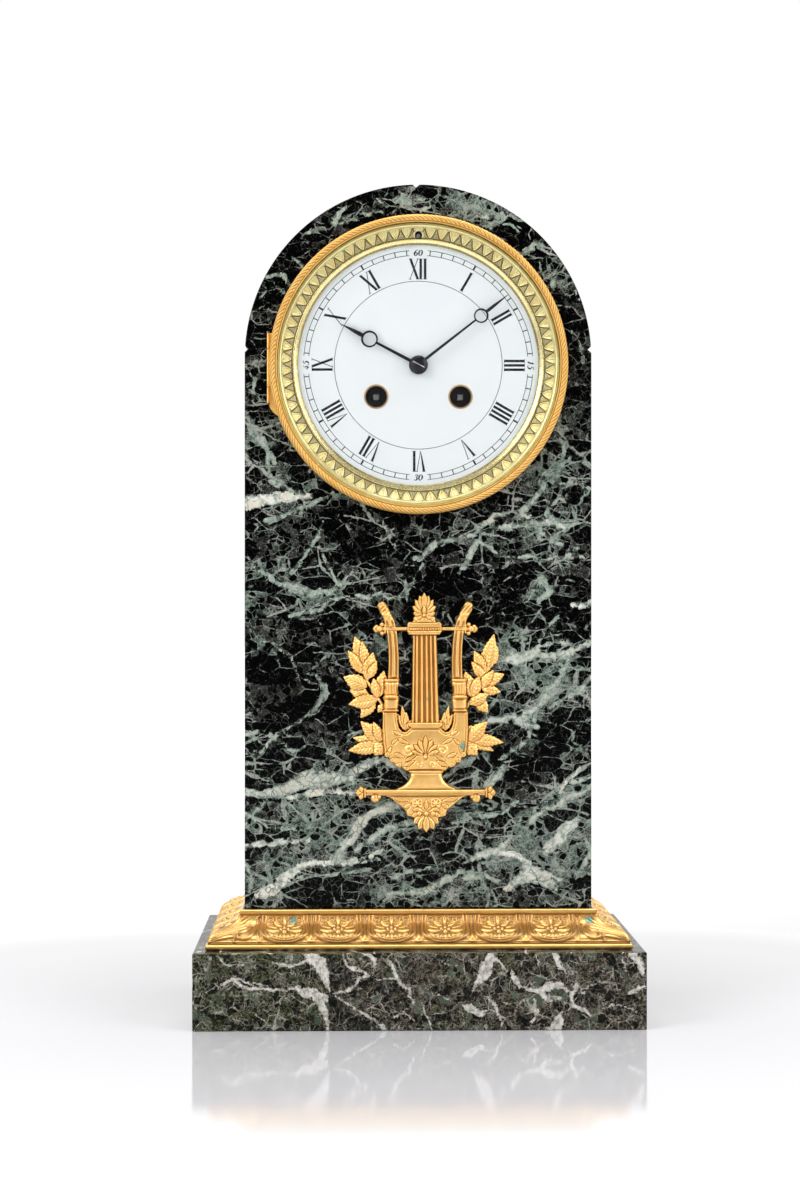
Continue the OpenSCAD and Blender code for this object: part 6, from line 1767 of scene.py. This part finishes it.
def surround():
    """The fixed inner ring: polished sight cove, leaf-and-dart band and a smooth outer bead."""
    y = lambda d: YF - d
    prof = [(64.15, y(0.52)), (62.1, y(0.52)), (62.1, y(1.2)), (62.13, y(1.7)), (62.3, y(2.1)), (62.6, y(2.36)), (62.95, y(2.5))]
    dark_in = len(prof)
    prof += [(63.15, y(2.6)), (63.6, y(2.74)), (64.05, y(2.95)), (64.4, y(3.12)), (64.7, y(3.18)), (64.92, y(3.1))]
    dark_mid = len(prof)
    prof += [(65.08, y(2.8)), (65.2, y(2.5)), (65.45, y(2.42)), (65.6, y(2.5))]
    band0, nb = len(prof), 40
    for i in range(nb + 1):
        s = i / nb
        prof.append((65.68 + 4.72 * s, y(2.62 + 3.0 * (1 - math.cos(s * math.pi / 2)) ** 0.85)))
    prof += [(70.46, y(5.6)), (70.52, y(5.58))]
    bead0 = len(prof)
    prof += [(71.72 - 1.13 * math.cos(math.radians(a)), y(5.3 + 1.2 * math.sin(math.radians(a)))) for a in np.linspace(6, 172, 16)]
    prof += [(72.86, y(4.0)), (72.86, y(1.4)), (64.15, y(1.4))]
    N = 70
    pitch = 2 * math.pi / N

    def disp(th, k):
        s = np.clip((k - band0) / nb, 0, 1)                         # 0 inside, 1 outside
        on = (k > band0) & (k < band0 + nb)
        r = 65.68 + 4.72 * s
        a = ((th / pitch + 0.5) % 1.0) - 0.5
        half = pitch * r / 2
        t_ = np.abs(a) * pitch * r                                  # mm from the middle of a tongue
        wid = half * (0.08 + 0.84 * s ** 0.72) * np.sqrt(np.clip(1 - (np.clip(s - 0.88, 0, 1) / 0.12) ** 2, 0.02, 1))
        de = wid - t_
        rim = np.exp(-((de - 0.36) / 0.30) ** 2)
        mid = np.exp(-(t_ / 0.22) ** 2) * np.clip((s - 0.25) / 0.1, 0, 1)
        tongue = 0.20 + 0.66 * rim + 0.40 * mid - 0.25 * np.clip((de - 0.7) / 0.4, 0, 1)
        # the recess between two tongues holds a hatched dart
        gap = half - wid
        sd = np.clip(gap - 0.50, 0, None) - (half - t_)
        inner = np.clip(sd / 0.2, 0, 1)
        hatch = 0.5 + 0.5 * np.cos(2 * math.pi * (s * 6.5 + t_ * 0.6))
        recess = -0.52 + inner * (0.55 + 0.16 * hatch)
        k_in = np.clip(de / 0.14 + 0.5, 0, 1)
        h = recess * (1 - k_in) + tongue * k_in
        # painted shade: the recess between tongues is darkened except on its raised hatching, and the tongues darken a
        # little inside their rims except along the middle rib
        cav = (1 - k_in) * (1 - inner * (0.05 + 0.62 * hatch)) + k_in * 0.24 * np.clip((de - 0.75) / 0.4, 0, 1) * (1 - mid)
        fade = np.clip(s / 0.04, 0, 1) * np.clip((1 - s) / 0.03, 0, 1)
        # the ornament stops at the regulator hole
        d = np.hypot(67.1 * np.sin(th), r * np.cos(th) - 66.9)
        fade = fade * np.clip((d - 2.2) / 0.7, 0, 1) * on
        # painted shade: dark bands in the groove before the band, on the wall beyond the bead and along the sight's
        # inner edge
        groove_shade = ((k > dark_mid) & (k <= band0)) | (k > bead0 + 15)
        edge = (k > 1) & (k < dark_in)
        return h * 0.82 * fade, np.clip(cav * fade + 0.95 * groove_shade + 0.85 * edge, 0, 1)

    o = ring_surface("dial_surround_relief", prof, N * 40, disp, M["bright_gilt"], "case")
    bore(o, [(0, 66.9, 1.95)], M["bright_gilt"])
    # the sight edge is polished brighter than the band
    o.data.materials.append(M["sight_gilt"])
    nf = len(o.data.polygons)
    c = np.empty(nf * 3, np.float32)
    o.data.polygons.foreach_get("center", c)
    c = c.reshape(-1, 3)
    o.data.polygons.foreach_set("material_index", (np.hypot(c[:, 0], c[:, 2] - DZ * MM) < 65.2 * MM).astype(np.int32))
    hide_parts("dial_surround")
    # a thin near-black ring round the regulator square, painted shade filling the gap of its hole
    c = ring_about("regulator_shade_ring", (0, 66.9), [(1.95, YF - 2.9), (1.8, YF - 3.0), (1.68, YF - 2.9), (1.62, YF - 2.5), (1.62, YF - 1.5), (1.95, YF - 1.5)], M["hand"], "case")


def ring_about(name, centre, prof, mat, body, n=64):
    prof = np.array(prof, float)
    m_ = len(prof)
    th = np.arange(n) * 2 * math.pi / n
    TH, K = np.meshgrid(th, np.arange(m_), indexing="ij")
    Rr, Yy = prof[K, 0], prof[K, 1]
    P = np.stack([centre[0] + Rr * np.sin(TH), Yy, DZ + centre[1] + Rr * np.cos(TH)], -1).reshape(-1, 3)
    i, j = np.meshgrid(np.arange(n), np.arange(m_), indexing="ij")
    f = np.stack([i * m_ + j, ((i + 1) % n) * m_ + j, ((i + 1) % n) * m_ + (j + 1) % m_, i * m_ + (j + 1) % m_], -1).reshape(-1, 4)
    nxt = np.roll(prof, -1, 0)
    if np.sum(prof[:, 0] * nxt[:, 1] - nxt[:, 0] * prof[:, 1]) > 0:
        f = f[:, ::-1]
    return fast_mesh(name, P, f, mat, body, smooth=True)


surround()


# ------------------------------------------------------------------ dial printing
class Flat:
    """Flat ink shapes on the dial, given a little thickness."""

    def __init__(self):
        self.v, self.f = [], []
        self.y = YF - 0.5

    def poly(self, pts, t_=0.05):
        n = len(pts)
        a = sum(pts[i][0] * pts[(i + 1) % n][1] - pts[(i + 1) % n][0] * pts[i][1] for i in range(n))
        if a < 0:
            pts = pts[::-1]
        b0 = len(self.v)
        self.v += [(x, self.y - t_, DZ + z) for x, z in pts] + [(x, self.y + 0.01, DZ + z) for x, z in pts]
        self.f.append(tuple(b0 + i for i in range(n)))
        for i in range(n):
            j = (i + 1) % n
            self.f.append((b0 + i, b0 + n + i, b0 + n + j, b0 + j))

    def line(self, x0, z0, x1, z1, w0, w1=None):
        w1 = w0 if w1 is None else w1
        L = math.hypot(x1 - x0, z1 - z0)
        nx, nz = -(z1 - z0) / L / 2, (x1 - x0) / L / 2
        self.poly([(x0 + nx * w0, z0 + nz * w0), (x1 + nx * w1, z1 + nz * w1), (x1 - nx * w1, z1 - nz * w1), (x0 - nx * w0, z0 - nz * w0)])

    def arc(self, r0, r1, a0, a1, n=48):
        """Band between two radii from angle a0 to a1, degrees clockwise from twelve."""
        b0 = len(self.v)
        t_ = 0.05
        for i in range(n + 1):
            a = math.radians(a0 + (a1 - a0) * i / n)
            s, c = math.sin(a), math.cos(a)
            self.v += [(r0 * s, self.y - t_, DZ + r0 * c), (r1 * s, self.y - t_, DZ + r1 * c),
                       (r1 * s, self.y + 0.01, DZ + r1 * c), (r0 * s, self.y + 0.01, DZ + r0 * c)]
        for i in range(n):
            p, q = b0 + 4 * i, b0 + 4 * (i + 1)
            self.f.append((p, q, q + 1, p + 1))
            self.f.append((p + 1, q + 1, q + 2, p + 2))
            self.f.append((p + 3, q + 3, q, p))
        self.f.append((b0, b0 + 1, b0 + 2, b0 + 3))
        e = b0 + 4 * n
        self.f.append((e + 3, e + 2, e + 1, e))

    def stroke(self, pts, widths):
        """A pen stroke through points with a width at each."""
        n = len(pts)
        left, right = [], []
        for i in range(n):
            a, b_ = pts[max(i - 1, 0)], pts[min(i + 1, n - 1)]
            L = math.hypot(b_[0] - a[0], b_[1] - a[1]) or 1
            nx, nz = -(b_[1] - a[1]) / L * widths[i] / 2, (b_[0] - a[0]) / L * widths[i] / 2
            left.append((pts[i][0] + nx, pts[i][1] + nz))
            right.append((pts[i][0] - nx, pts[i][1] - nz))
        for i in range(n - 1):
            self.poly([left[i], left[i + 1], right[i + 1], right[i]])


def place(pts, ang, r):
    """Moves local (across, up) points to a place on the dial: up points outwards."""
    a = math.radians(ang)
    s, c = math.sin(a), math.cos(a)
    return [(x * c + (r + z) * s, -x * s + (r + z) * c) for x, z in pts]


def numerals():
    F = Flat()
    r0, H = 44.5, 10.5
    thick, ser = 1.28, 0.26

    def q(ang, pts):
        F.poly(place(pts, ang, r0))

    def glyph_i(ang, x):
        q(ang, [(x - thick / 2, 0.05), (x + thick / 2, 0.05), (x + thick / 2, H - 0.05), (x - thick / 2, H - 0.05)])
        serif(ang, x - 0.95, x + 0.95)

    def serif(ang, a, b_):
        for z in (0, H):
            q(ang, [(a, z - ser / 2), (b_, z - ser / 2), (b_, z + ser / 2), (a, z + ser / 2)])

    def diag(ang, xb, xt, w, wb=None, zb=0):
        wb = w if wb is None else wb
        q(ang, [(xb - wb / 2, zb), (xb + wb / 2, zb), (xt + w / 2, H), (xt - w / 2, H)])

    def glyph_v(ang, x):
        q(ang, [(x - 0.10, 0), (x + 0.12, 0), (x - 1.15, H), (x - 2.45, H), (x - 0.95, 3.4)])
        diag(ang, x + 0.05, x + 1.85, 0.38, 0.26)
        q(ang, [(x - 2.6, H - ser / 2), (x - 0.8, H - ser / 2), (x - 0.8, H + ser / 2), (x - 2.6, H + ser / 2)])
        q(ang, [(x + 1.3, H - ser / 2), (x + 2.4, H - ser / 2), (x + 2.4, H + ser / 2), (x + 1.3, H + ser / 2)])

    def glyph_x(ang, x):
        diag(ang, x + 1.95, x - 1.85, 1.32)
        diag(ang, x - 2.1, x + 2.0, 0.38)
        for z, a, b_ in ((H, x - 2.7, x - 0.9), (H, x + 1.3, x + 2.5), (0, x - 2.7, x - 1.3), (0, x + 1.0, x + 2.8)):
            q(ang, [(a, z - ser / 2), (b_, z - ser / 2), (b_, z + ser / 2), (a, z + ser / 2)])

    text = {1: "I", 2: "II", 3: "III", 4: "IIII", 5: "V", 6: "VI", 7: "VII", 8: "VIII", 9: "IX", 10: "X", 11: "XI", 12: "XII"}
    width = {"I": 2.26, "V": 4.3, "X": 4.7}
    for h, s in text.items():
        ang = h * 30.0
        total = sum(width[c] for c in s)
        x = -total / 2
        for c in s:
            xc = x + width[c] / 2
            {"I": glyph_i, "V": glyph_v, "X": glyph_x}[c](ang, xc)
            x += width[c]
    # minute track
    for (a0, a1) in ((4.6, 85.4), (94.6, 175.4), (184.6, 265.4), (274.6, 355.4)):
        F.arc(56.66, 56.96, a0, a1, 60)
        F.arc(59.24, 59.56, a0, a1, 60)
    F.arc(43.29, 43.57, 0, 359.999, 220)
    for i in range(60):
        if i % 15 == 0:
            continue
        big = i % 5 == 0
        w = 0.90 if big else 0.50
        a = i * 6.0
        F.poly(place([(-w / 2, 56.75), (w / 2, 56.75), (w / 2, 59.45), (-w / 2, 59.45)], a, 0))

    # small italic minute numbers
    def curve(pts, n=8):
        out = []
        k = len(pts)
        for i in range(k - 1):
            p0, p1, p2, p3 = pts[max(i - 1, 0)], pts[i], pts[i + 1], pts[min(i + 2, k - 1)]
            for j in range(n):
                t_ = j / n
                out.append(tuple(0.5 * (2 * p1[m] + (p2[m] - p0[m]) * t_ + (2 * p0[m] - 5 * p1[m] + 4 * p2[m] - p3[m]) * t_ ** 2
                                        + (3 * p1[m] - p0[m] - 3 * p2[m] + p3[m]) * t_ ** 3) for m in range(3)))
        out.append(tuple(pts[-1]))
        return out

    # each digit is a pen path of (x, z, width) in a box one unit wide and 1.6 high
    D = {
        "0": [(0.5, 1.6, .10), (0.16, 1.28, .26), (0.08, 0.75, .34), (0.18, 0.25, .26), (0.48, 0.0, .10), (0.82, 0.32, .24), (0.92, 0.85, .34), (0.82, 1.35, .24), (0.5, 1.6, .10)],
        "1": [(0.22, 1.28, .08), (0.55, 1.58, .20), (0.52, 1.0, .30), (0.42, 0.35, .30), (0.36, 0.0, .30)],
        "3": [(0.18, 1.32, .22), (0.48, 1.6, .10), (0.82, 1.32, .26), (0.55, 0.92, .12), (0.45, 0.88, .10), (0.80, 0.58, .30), (0.66, 0.12, .26), (0.32, 0.0, .10), (0.06, 0.24, .22)],
        "4": [(0.70, 1.6, .12), (0.30, 0.95, .10), (0.02, 0.46, .12), (0.50, 0.46, .13), (0.98, 0.48, .12)],
        "5": [(0.95, 1.58, .16), (0.40, 1.55, .16), (0.30, 1.05, .10), (0.62, 1.02, .14), (0.84, 0.66, .30), (0.66, 0.14, .26), (0.30, 0.0, .10), (0.05, 0.22, .22)],
        "6": [(0.88, 1.5, .18), (0.55, 1.58, .10), (0.20, 1.05, .28), (0.08, 0.5, .34), (0.30, 0.02, .16), (0.68, 0.1, .20), (0.84, 0.55, .28), (0.60, 0.9, .12), (0.25, 0.62, .12)],
    }

    def digits(s, ang, upright):
        sx, sz = 2.15, 1.85
        w = 1.12
        total = w * (len(s) - 1)
        for i, ch in enumerate(s):
            strokes = [D[ch]]
            if ch == "4":
                strokes.append([(0.72, 1.0, .12), (0.62, 0.5, .26), (0.52, 0.0, .26)])
            for st in strokes:
                pts = curve([(x, z, ww) for x, z, ww in st])
                loc = []
                for x, z, ww in pts:
                    X_ = (x - 0.5 + 0.16 * (z - 0.8)) * sx * 0.9 + (i * w - total / 2) * sx * 0.95
                    Z_ = (z - 0.8) * sz
                    loc.append((X_, Z_, ww * 2.2 + 0.04))
                cx, cz = 58.1 * math.sin(math.radians(ang)), 58.1 * math.cos(math.radians(ang))
                ca, sa = math.cos(math.radians(upright)), math.sin(math.radians(upright))
                P = [(cx + x * ca + z * sa, cz - x * sa + z * ca) for x, z, _ in loc]
                F.stroke(P, [ww for _, _, ww in loc])

    digits("60", 0, 0)
    digits("15", 90, 90)
    digits("30", 180, 0)
    digits("45", 270, -90)
    o = mesh_object("dial_print", F.v, F.f, M["ink"], "case", smooth=False)


numerals()


def dial_plate_enamel():
    """The enamel disc: a flat face with a softly rolled edge, and three holes bored through it."""
    y0 = YF - 0.5
    # built as a fan grid in polar form, then holes are bored
    prof = [(0.001, y0), (20, y0), (45, y0), (61.6, y0), (62.6, y0 + 0.05), (63.2, y0 + 0.2), (63.5, y0 + 0.5), (63.6, y0 + 0.9), (63.6, y0 + 1.6), (0.001, y0 + 1.6)]
    o = ring_about("dial_enamel_disc", (0, 0), prof, M["enamel"], "case", 256)
    cuts = []
    for (x, z, r) in ((0, 0, 4.0), (WX, WZ, 5.8), (-WX, WZ, 5.8)):
        bpy.ops.mesh.primitive_cylinder_add(vertices=96, radius=r * MM, depth=0.02, location=(x * MM, y0 * MM, (DZ + z) * MM), rotation=(math.radians(90), 0, 0))
        cuts.append(bpy.context.active_object)
    for c in cuts:
        mod = o.modifiers.new("hole", "BOOLEAN")
        mod.operation, mod.object, mod.solver = "DIFFERENCE", c, "EXACT"
        bpy.context.view_layer.objects.active = o
        bpy.ops.object.select_all(action="DESELECT")
        o.select_set(True)
        bpy.ops.object.modifier_apply(modifier="hole")
    for c in cuts:
        bpy.data.objects.remove(c, do_unlink=True)
    o.data.materials.clear()
    o.data.materials.append(M["enamel"])
    for f in o.data.polygons:
        f.use_smooth = False
    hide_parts("dial")


dial_plate_enamel()


# ------------------------------------------------------------------ hands
def hand(name, node, body, ang, outline, holes, y_back, thick, mat, bevel=0.14):
    """A flat steel hand with bevelled edges, cut from an outline with round eyes."""
    cu = bpy.data.curves.new(name, "CURVE")
    cu.dimensions = "2D"
    cu.fill_mode = "BOTH"
    cu.extrude = (thick / 2 - bevel) * MM
    cu.bevel_depth = bevel * MM
    cu.bevel_resolution = 2
    cu.offset = -bevel * MM

    def spline(pts):
        sp = cu.splines.new("POLY")
        sp.points.add(len(pts) - 1)
        for p, (x, z) in zip(sp.points, pts):
            p.co = (x * MM, z * MM, 0, 1)
        sp.use_cyclic_u = True

    for o_ in outline:
        spline(o_)
    for (x, z, r) in holes:
        spline([(x + r * math.cos(2 * math.pi * i / 56), z + r * math.sin(2 * math.pi * i / 56)) for i in range(56)])
    tmp = bpy.data.objects.new(name + "_c", cu)
    bpy.context.collection.objects.link(tmp)
    dg = bpy.context.evaluated_depsgraph_get()
    me = bpy.data.meshes.new_from_object(tmp.evaluated_get(dg))
    bpy.data.objects.remove(tmp, do_unlink=True)
    a = math.radians(ang)
    ym = y_back - thick / 2
    for v in me.vertices:
        x, z, d = v.co.x, v.co.y, v.co.z
        v.co = (x * math.cos(a) + z * math.sin(a), ym * MM - d, DZ * MM - x * math.sin(a) + z * math.cos(a))
    bm = bmesh.new()
    bm.from_mesh(me)
    bmesh.ops.remove_doubles(bm, verts=bm.verts, dist=1e-7)
    bmesh.ops.recalc_face_normals(bm, faces=bm.faces)
    bm.to_mesh(me)
    bm.free()
    me.name = name
    me.materials.clear()
    me.materials.append(mat)
    o = bpy.data.objects.new(name, me)
    bpy.context.collection.objects.link(o)
    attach(o, body)
    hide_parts(node)
    return o


def ringed(hub, w0, w1, rc, ro, tip_w, length):
    """Outline of a hand: hub, tapering shaft, round eye and spear point, as one closed path."""
    # down the left side of the shaft, round the hub, up the right side
    a0 = math.degrees(math.asin(min(0.99, w0 / 2 / hub)))
    b0 = math.degrees(math.asin(min(0.99, w1 / 2 / ro)))
    c0 = math.degrees(math.asin(min(0.99, tip_w / 2 / ro)))
    ring_r = [(ro * math.sin(math.radians(180 - b0 - (180 - b0 - c0) * i / 24)), rc + ro * math.cos(math.radians(180 - b0 - (180 - b0 - c0) * i / 24))) for i in range(25)]
    tip = [(tip_w * 0.56, rc + ro + 1.2), (tip_w * 0.5, rc + ro + (length - rc - ro) * 0.35), (0.14, length - 0.3), (0.05, length)]
    up = ring_r + tip
    left = [(-x, z) for x, z in up][::-1]
    hubpts = []
    for i in range(41):
        a = math.radians(90 + a0 + (360 - 2 * a0) * i / 40)
        hubpts.append((hub * math.cos(a), hub * math.sin(a)))
    return left + hubpts + up


hand("hour_hand_steel", "hour_hand", "hour_set", HOUR_A,
     [ringed(4.9, 1.75, 1.25, 28.6, 4.35, 1.9, 44.9)], [(0, 28.45, 3.4), (0, 0, 3.02)], YF - 1.8, 0.8, M["hand"])
hand("minute_hand_steel", "minute_hand", "minute_set", MINUTE_A,
     [ringed(3.5, 1.55, 0.95, 41.1, 3.8, 1.5, 58.9)], [(0, 40.97, 2.95), (0, 0, 1.95)], YF - 3.4, 0.7, M["hand"])


def collet():
    o = ring_about("hand_collet_dome", (0, 0),
                   [(0.001, YF - 5.55), (1.2, YF - 5.5), (2.4, YF - 5.32), (3.4, YF - 5.0), (4.2, YF - 4.6), (4.6, YF - 4.25), (4.7, YF - 4.1), (4.6, YF - 4.02), (0.001, YF - 4.02)],
                   M["hand"], "minute_set", 96)
    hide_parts("hand_collet")
    # taper pin across the end of the arbor
    bm = bmesh.new()
    a = math.radians(HOUR_A)
    n = 20
    L0, L1 = -3.4, 3.4
    rings = []
    for s, r in ((L0, 0.22), (L0 + 0.1, 0.30), (L1 - 0.15, 0.42), (L1, 0.34)):
        ring_ = []
        for i in range(n):
            t_ = 2 * math.pi * i / n
            x, z, y = r * math.cos(t_), s, r * math.sin(t_)
            ring_.append(bm.verts.new(((x * math.cos(a) + z * math.sin(a)) * MM, (YF - 5.55 + y) * MM, (DZ - x * math.sin(a) + z * math.cos(a)) * MM)))
        rings.append(ring_)
    for p, q in zip(rings, rings[1:]):
        for i in range(n):
            bm.faces.new((p[i], p[(i + 1) % n], q[(i + 1) % n], q[i]))
    bm.faces.new(rings[0][::-1])
    bm.faces.new(rings[-1])
    bmesh.ops.recalc_face_normals(bm, faces=bm.faces)
    me = bpy.data.meshes.new("taper_pin")
    bm.to_mesh(me)
    bm.free()
    for f in me.polygons:
        f.use_smooth = True
    me.materials.append(M["steel"])
    p = bpy.data.objects.new("taper_pin", me)
    bpy.context.collection.objects.link(p)
    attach(p, "minute_set")


collet()


# ------------------------------------------------------------------ winding squares
def winder(name, qx, body, node):
    """One winding arbor: a bright chamfered square, and behind it the shaft and ratchet in near-black steel, dark as
    painted shade for the hole.
    """
    q = Solid()
    q.along_y(qx, DZ + WZ, [(-42.25, 1.95), (-41.8, 2.58), (-38.1, 2.62)], square=True)
    q.done(name + "_square", M["square"], body, node, 20)
    w = Solid()
    w.along_y(qx, DZ + WZ, [(-38.1, 2.6), (-36.6, 2.6), (-21.0, 2.6), (-21.0, 4.9), (-20.8, 5.0), (-8.2, 5.0), (-8.0, 4.9), (-8.0, 2.6), (4.6, 2.6), (4.8, 2.4)], 40)
    teeth = [(r * math.cos(math.radians(18 * i)), r * math.sin(math.radians(18 * i))) for i in range(20) for r in (7.2, 8.4)]
    w.loft([[(qx + x, yy, DZ + WZ + z) for x, z in teeth] for yy in (-38.0, -36.6)])
    # painted shade: the shaft and ratchet take the near-black hand steel so the winding hole reads dark
    w.done(name + "_arbor", M["hand"], body, node, 30)


winder("going", WX, "going_winder", "going_arbor")
winder("strike", -WX, "strike_winder", "strike_arbor")


# ------------------------------------------------------------------ stage
FLOOR_NEAR, FLOOR_FAR = (0.575, 0.57, 0.59), (0.70, 0.70, 0.70)


def stage():
    bpy.ops.mesh.primitive_plane_add(size=14, location=(0, 3.0, 0))
    floor = bpy.context.active_object
    floor.name = "floor"
    m, t, b = material("floor_white")
    # polished close round the object and matt further out
    p = t.obj()
    q = t.vec("ABSOLUTE", t.vec("ADD", p, (0, 3.0, 0)))
    d = t.vec("LENGTH", t.vec("MAXIMUM", t.vec("SUBTRACT", q, (0.115, 0.075, 0.0)), (0, 0, 0)))
    f = t.rng(d, 0.175, 0.245)
    t.put(b.inputs["Base Color"], t.mix(f, FLOOR_NEAR, FLOOR_FAR))
    t.put(b.inputs["Roughness"], t.rng(d, 0.0, 0.22, 0.03, 0.10))
    t.put(b.inputs["Specular IOR Level"], t.fmix(f, 0.85, 0.0))
    # painted light: the floor glows in its own material, up to white on the sweep behind the object as lit studio paper
    # looks, and faintly away from the object, so the floor close round it stays a little darker
    sp = t.node("ShaderNodeSeparateXYZ")
    t.put(sp.inputs[0], p)
    b.inputs["Emission Color"].default_value = (1, 1, 1, 1)
    t.put(b.inputs["Emission Strength"], t.add(t.rng(sp.outputs[1], -2.65, -0.6, 0.0, 0.60, False), t.rng(d, 0.02, 0.16, 0.0, 0.035)))
    floor.data.materials.append(m)

    w = bpy.data.worlds.new("studio") if not bpy.context.scene.world else bpy.context.scene.world
    bpy.context.scene.world = w
    w.use_nodes = True
    nt = w.node_tree
    nt.nodes.clear()
    t = Tree(nt)
    out = nt.nodes.new("ShaderNodeOutputWorld")
    bg = nt.nodes.new("ShaderNodeBackground")
    tc = nt.nodes.new("ShaderNodeTexCoord")
    sep = nt.nodes.new("ShaderNodeSeparateXYZ")
    nt.links.new(tc.outputs["Generated"], sep.inputs[0])
    f = t.rng(sep.outputs[1], -0.75, 0.25)
    t.put(bg.inputs["Color"], t.mix(f, (0.34, 0.34, 0.35), (1.0, 1.0, 1.0)))
    bg.inputs["Strength"].default_value = 1.0
    nt.links.new(bg.outputs[0], out.inputs[0])

    def area(name, loc, target, size, power, size_y=None, col=(1, 1, 1)):
        ld = bpy.data.lights.new(name, "AREA")
        ld.energy = power
        ld.shape = "RECTANGLE"
        ld.size, ld.size_y = size, size_y or size
        ld.color = col
        o = bpy.data.objects.new(name, ld)
        bpy.context.collection.objects.link(o)
        o.location = loc
        o.rotation_euler = (Vector(target) - Vector(loc)).to_track_quat("-Z", "Y").to_euler()
        return o

    area("soft_left", (-1.5, -1.25, 1.25), (0, 0, 0.22), 0.9, 26, 1.3)
    area("soft_right", (1.55, -1.05, 0.95), (0, 0, 0.22), 0.8, 17, 1.3)
    area("soft_top", (0.0, -0.35, 1.9), (0, 0, 0.1), 1.4, 20, 1.0)


stage()
bpy.context.scene.view_settings.view_transform = "Standard"
bpy.context.scene.view_settings.look = "None"
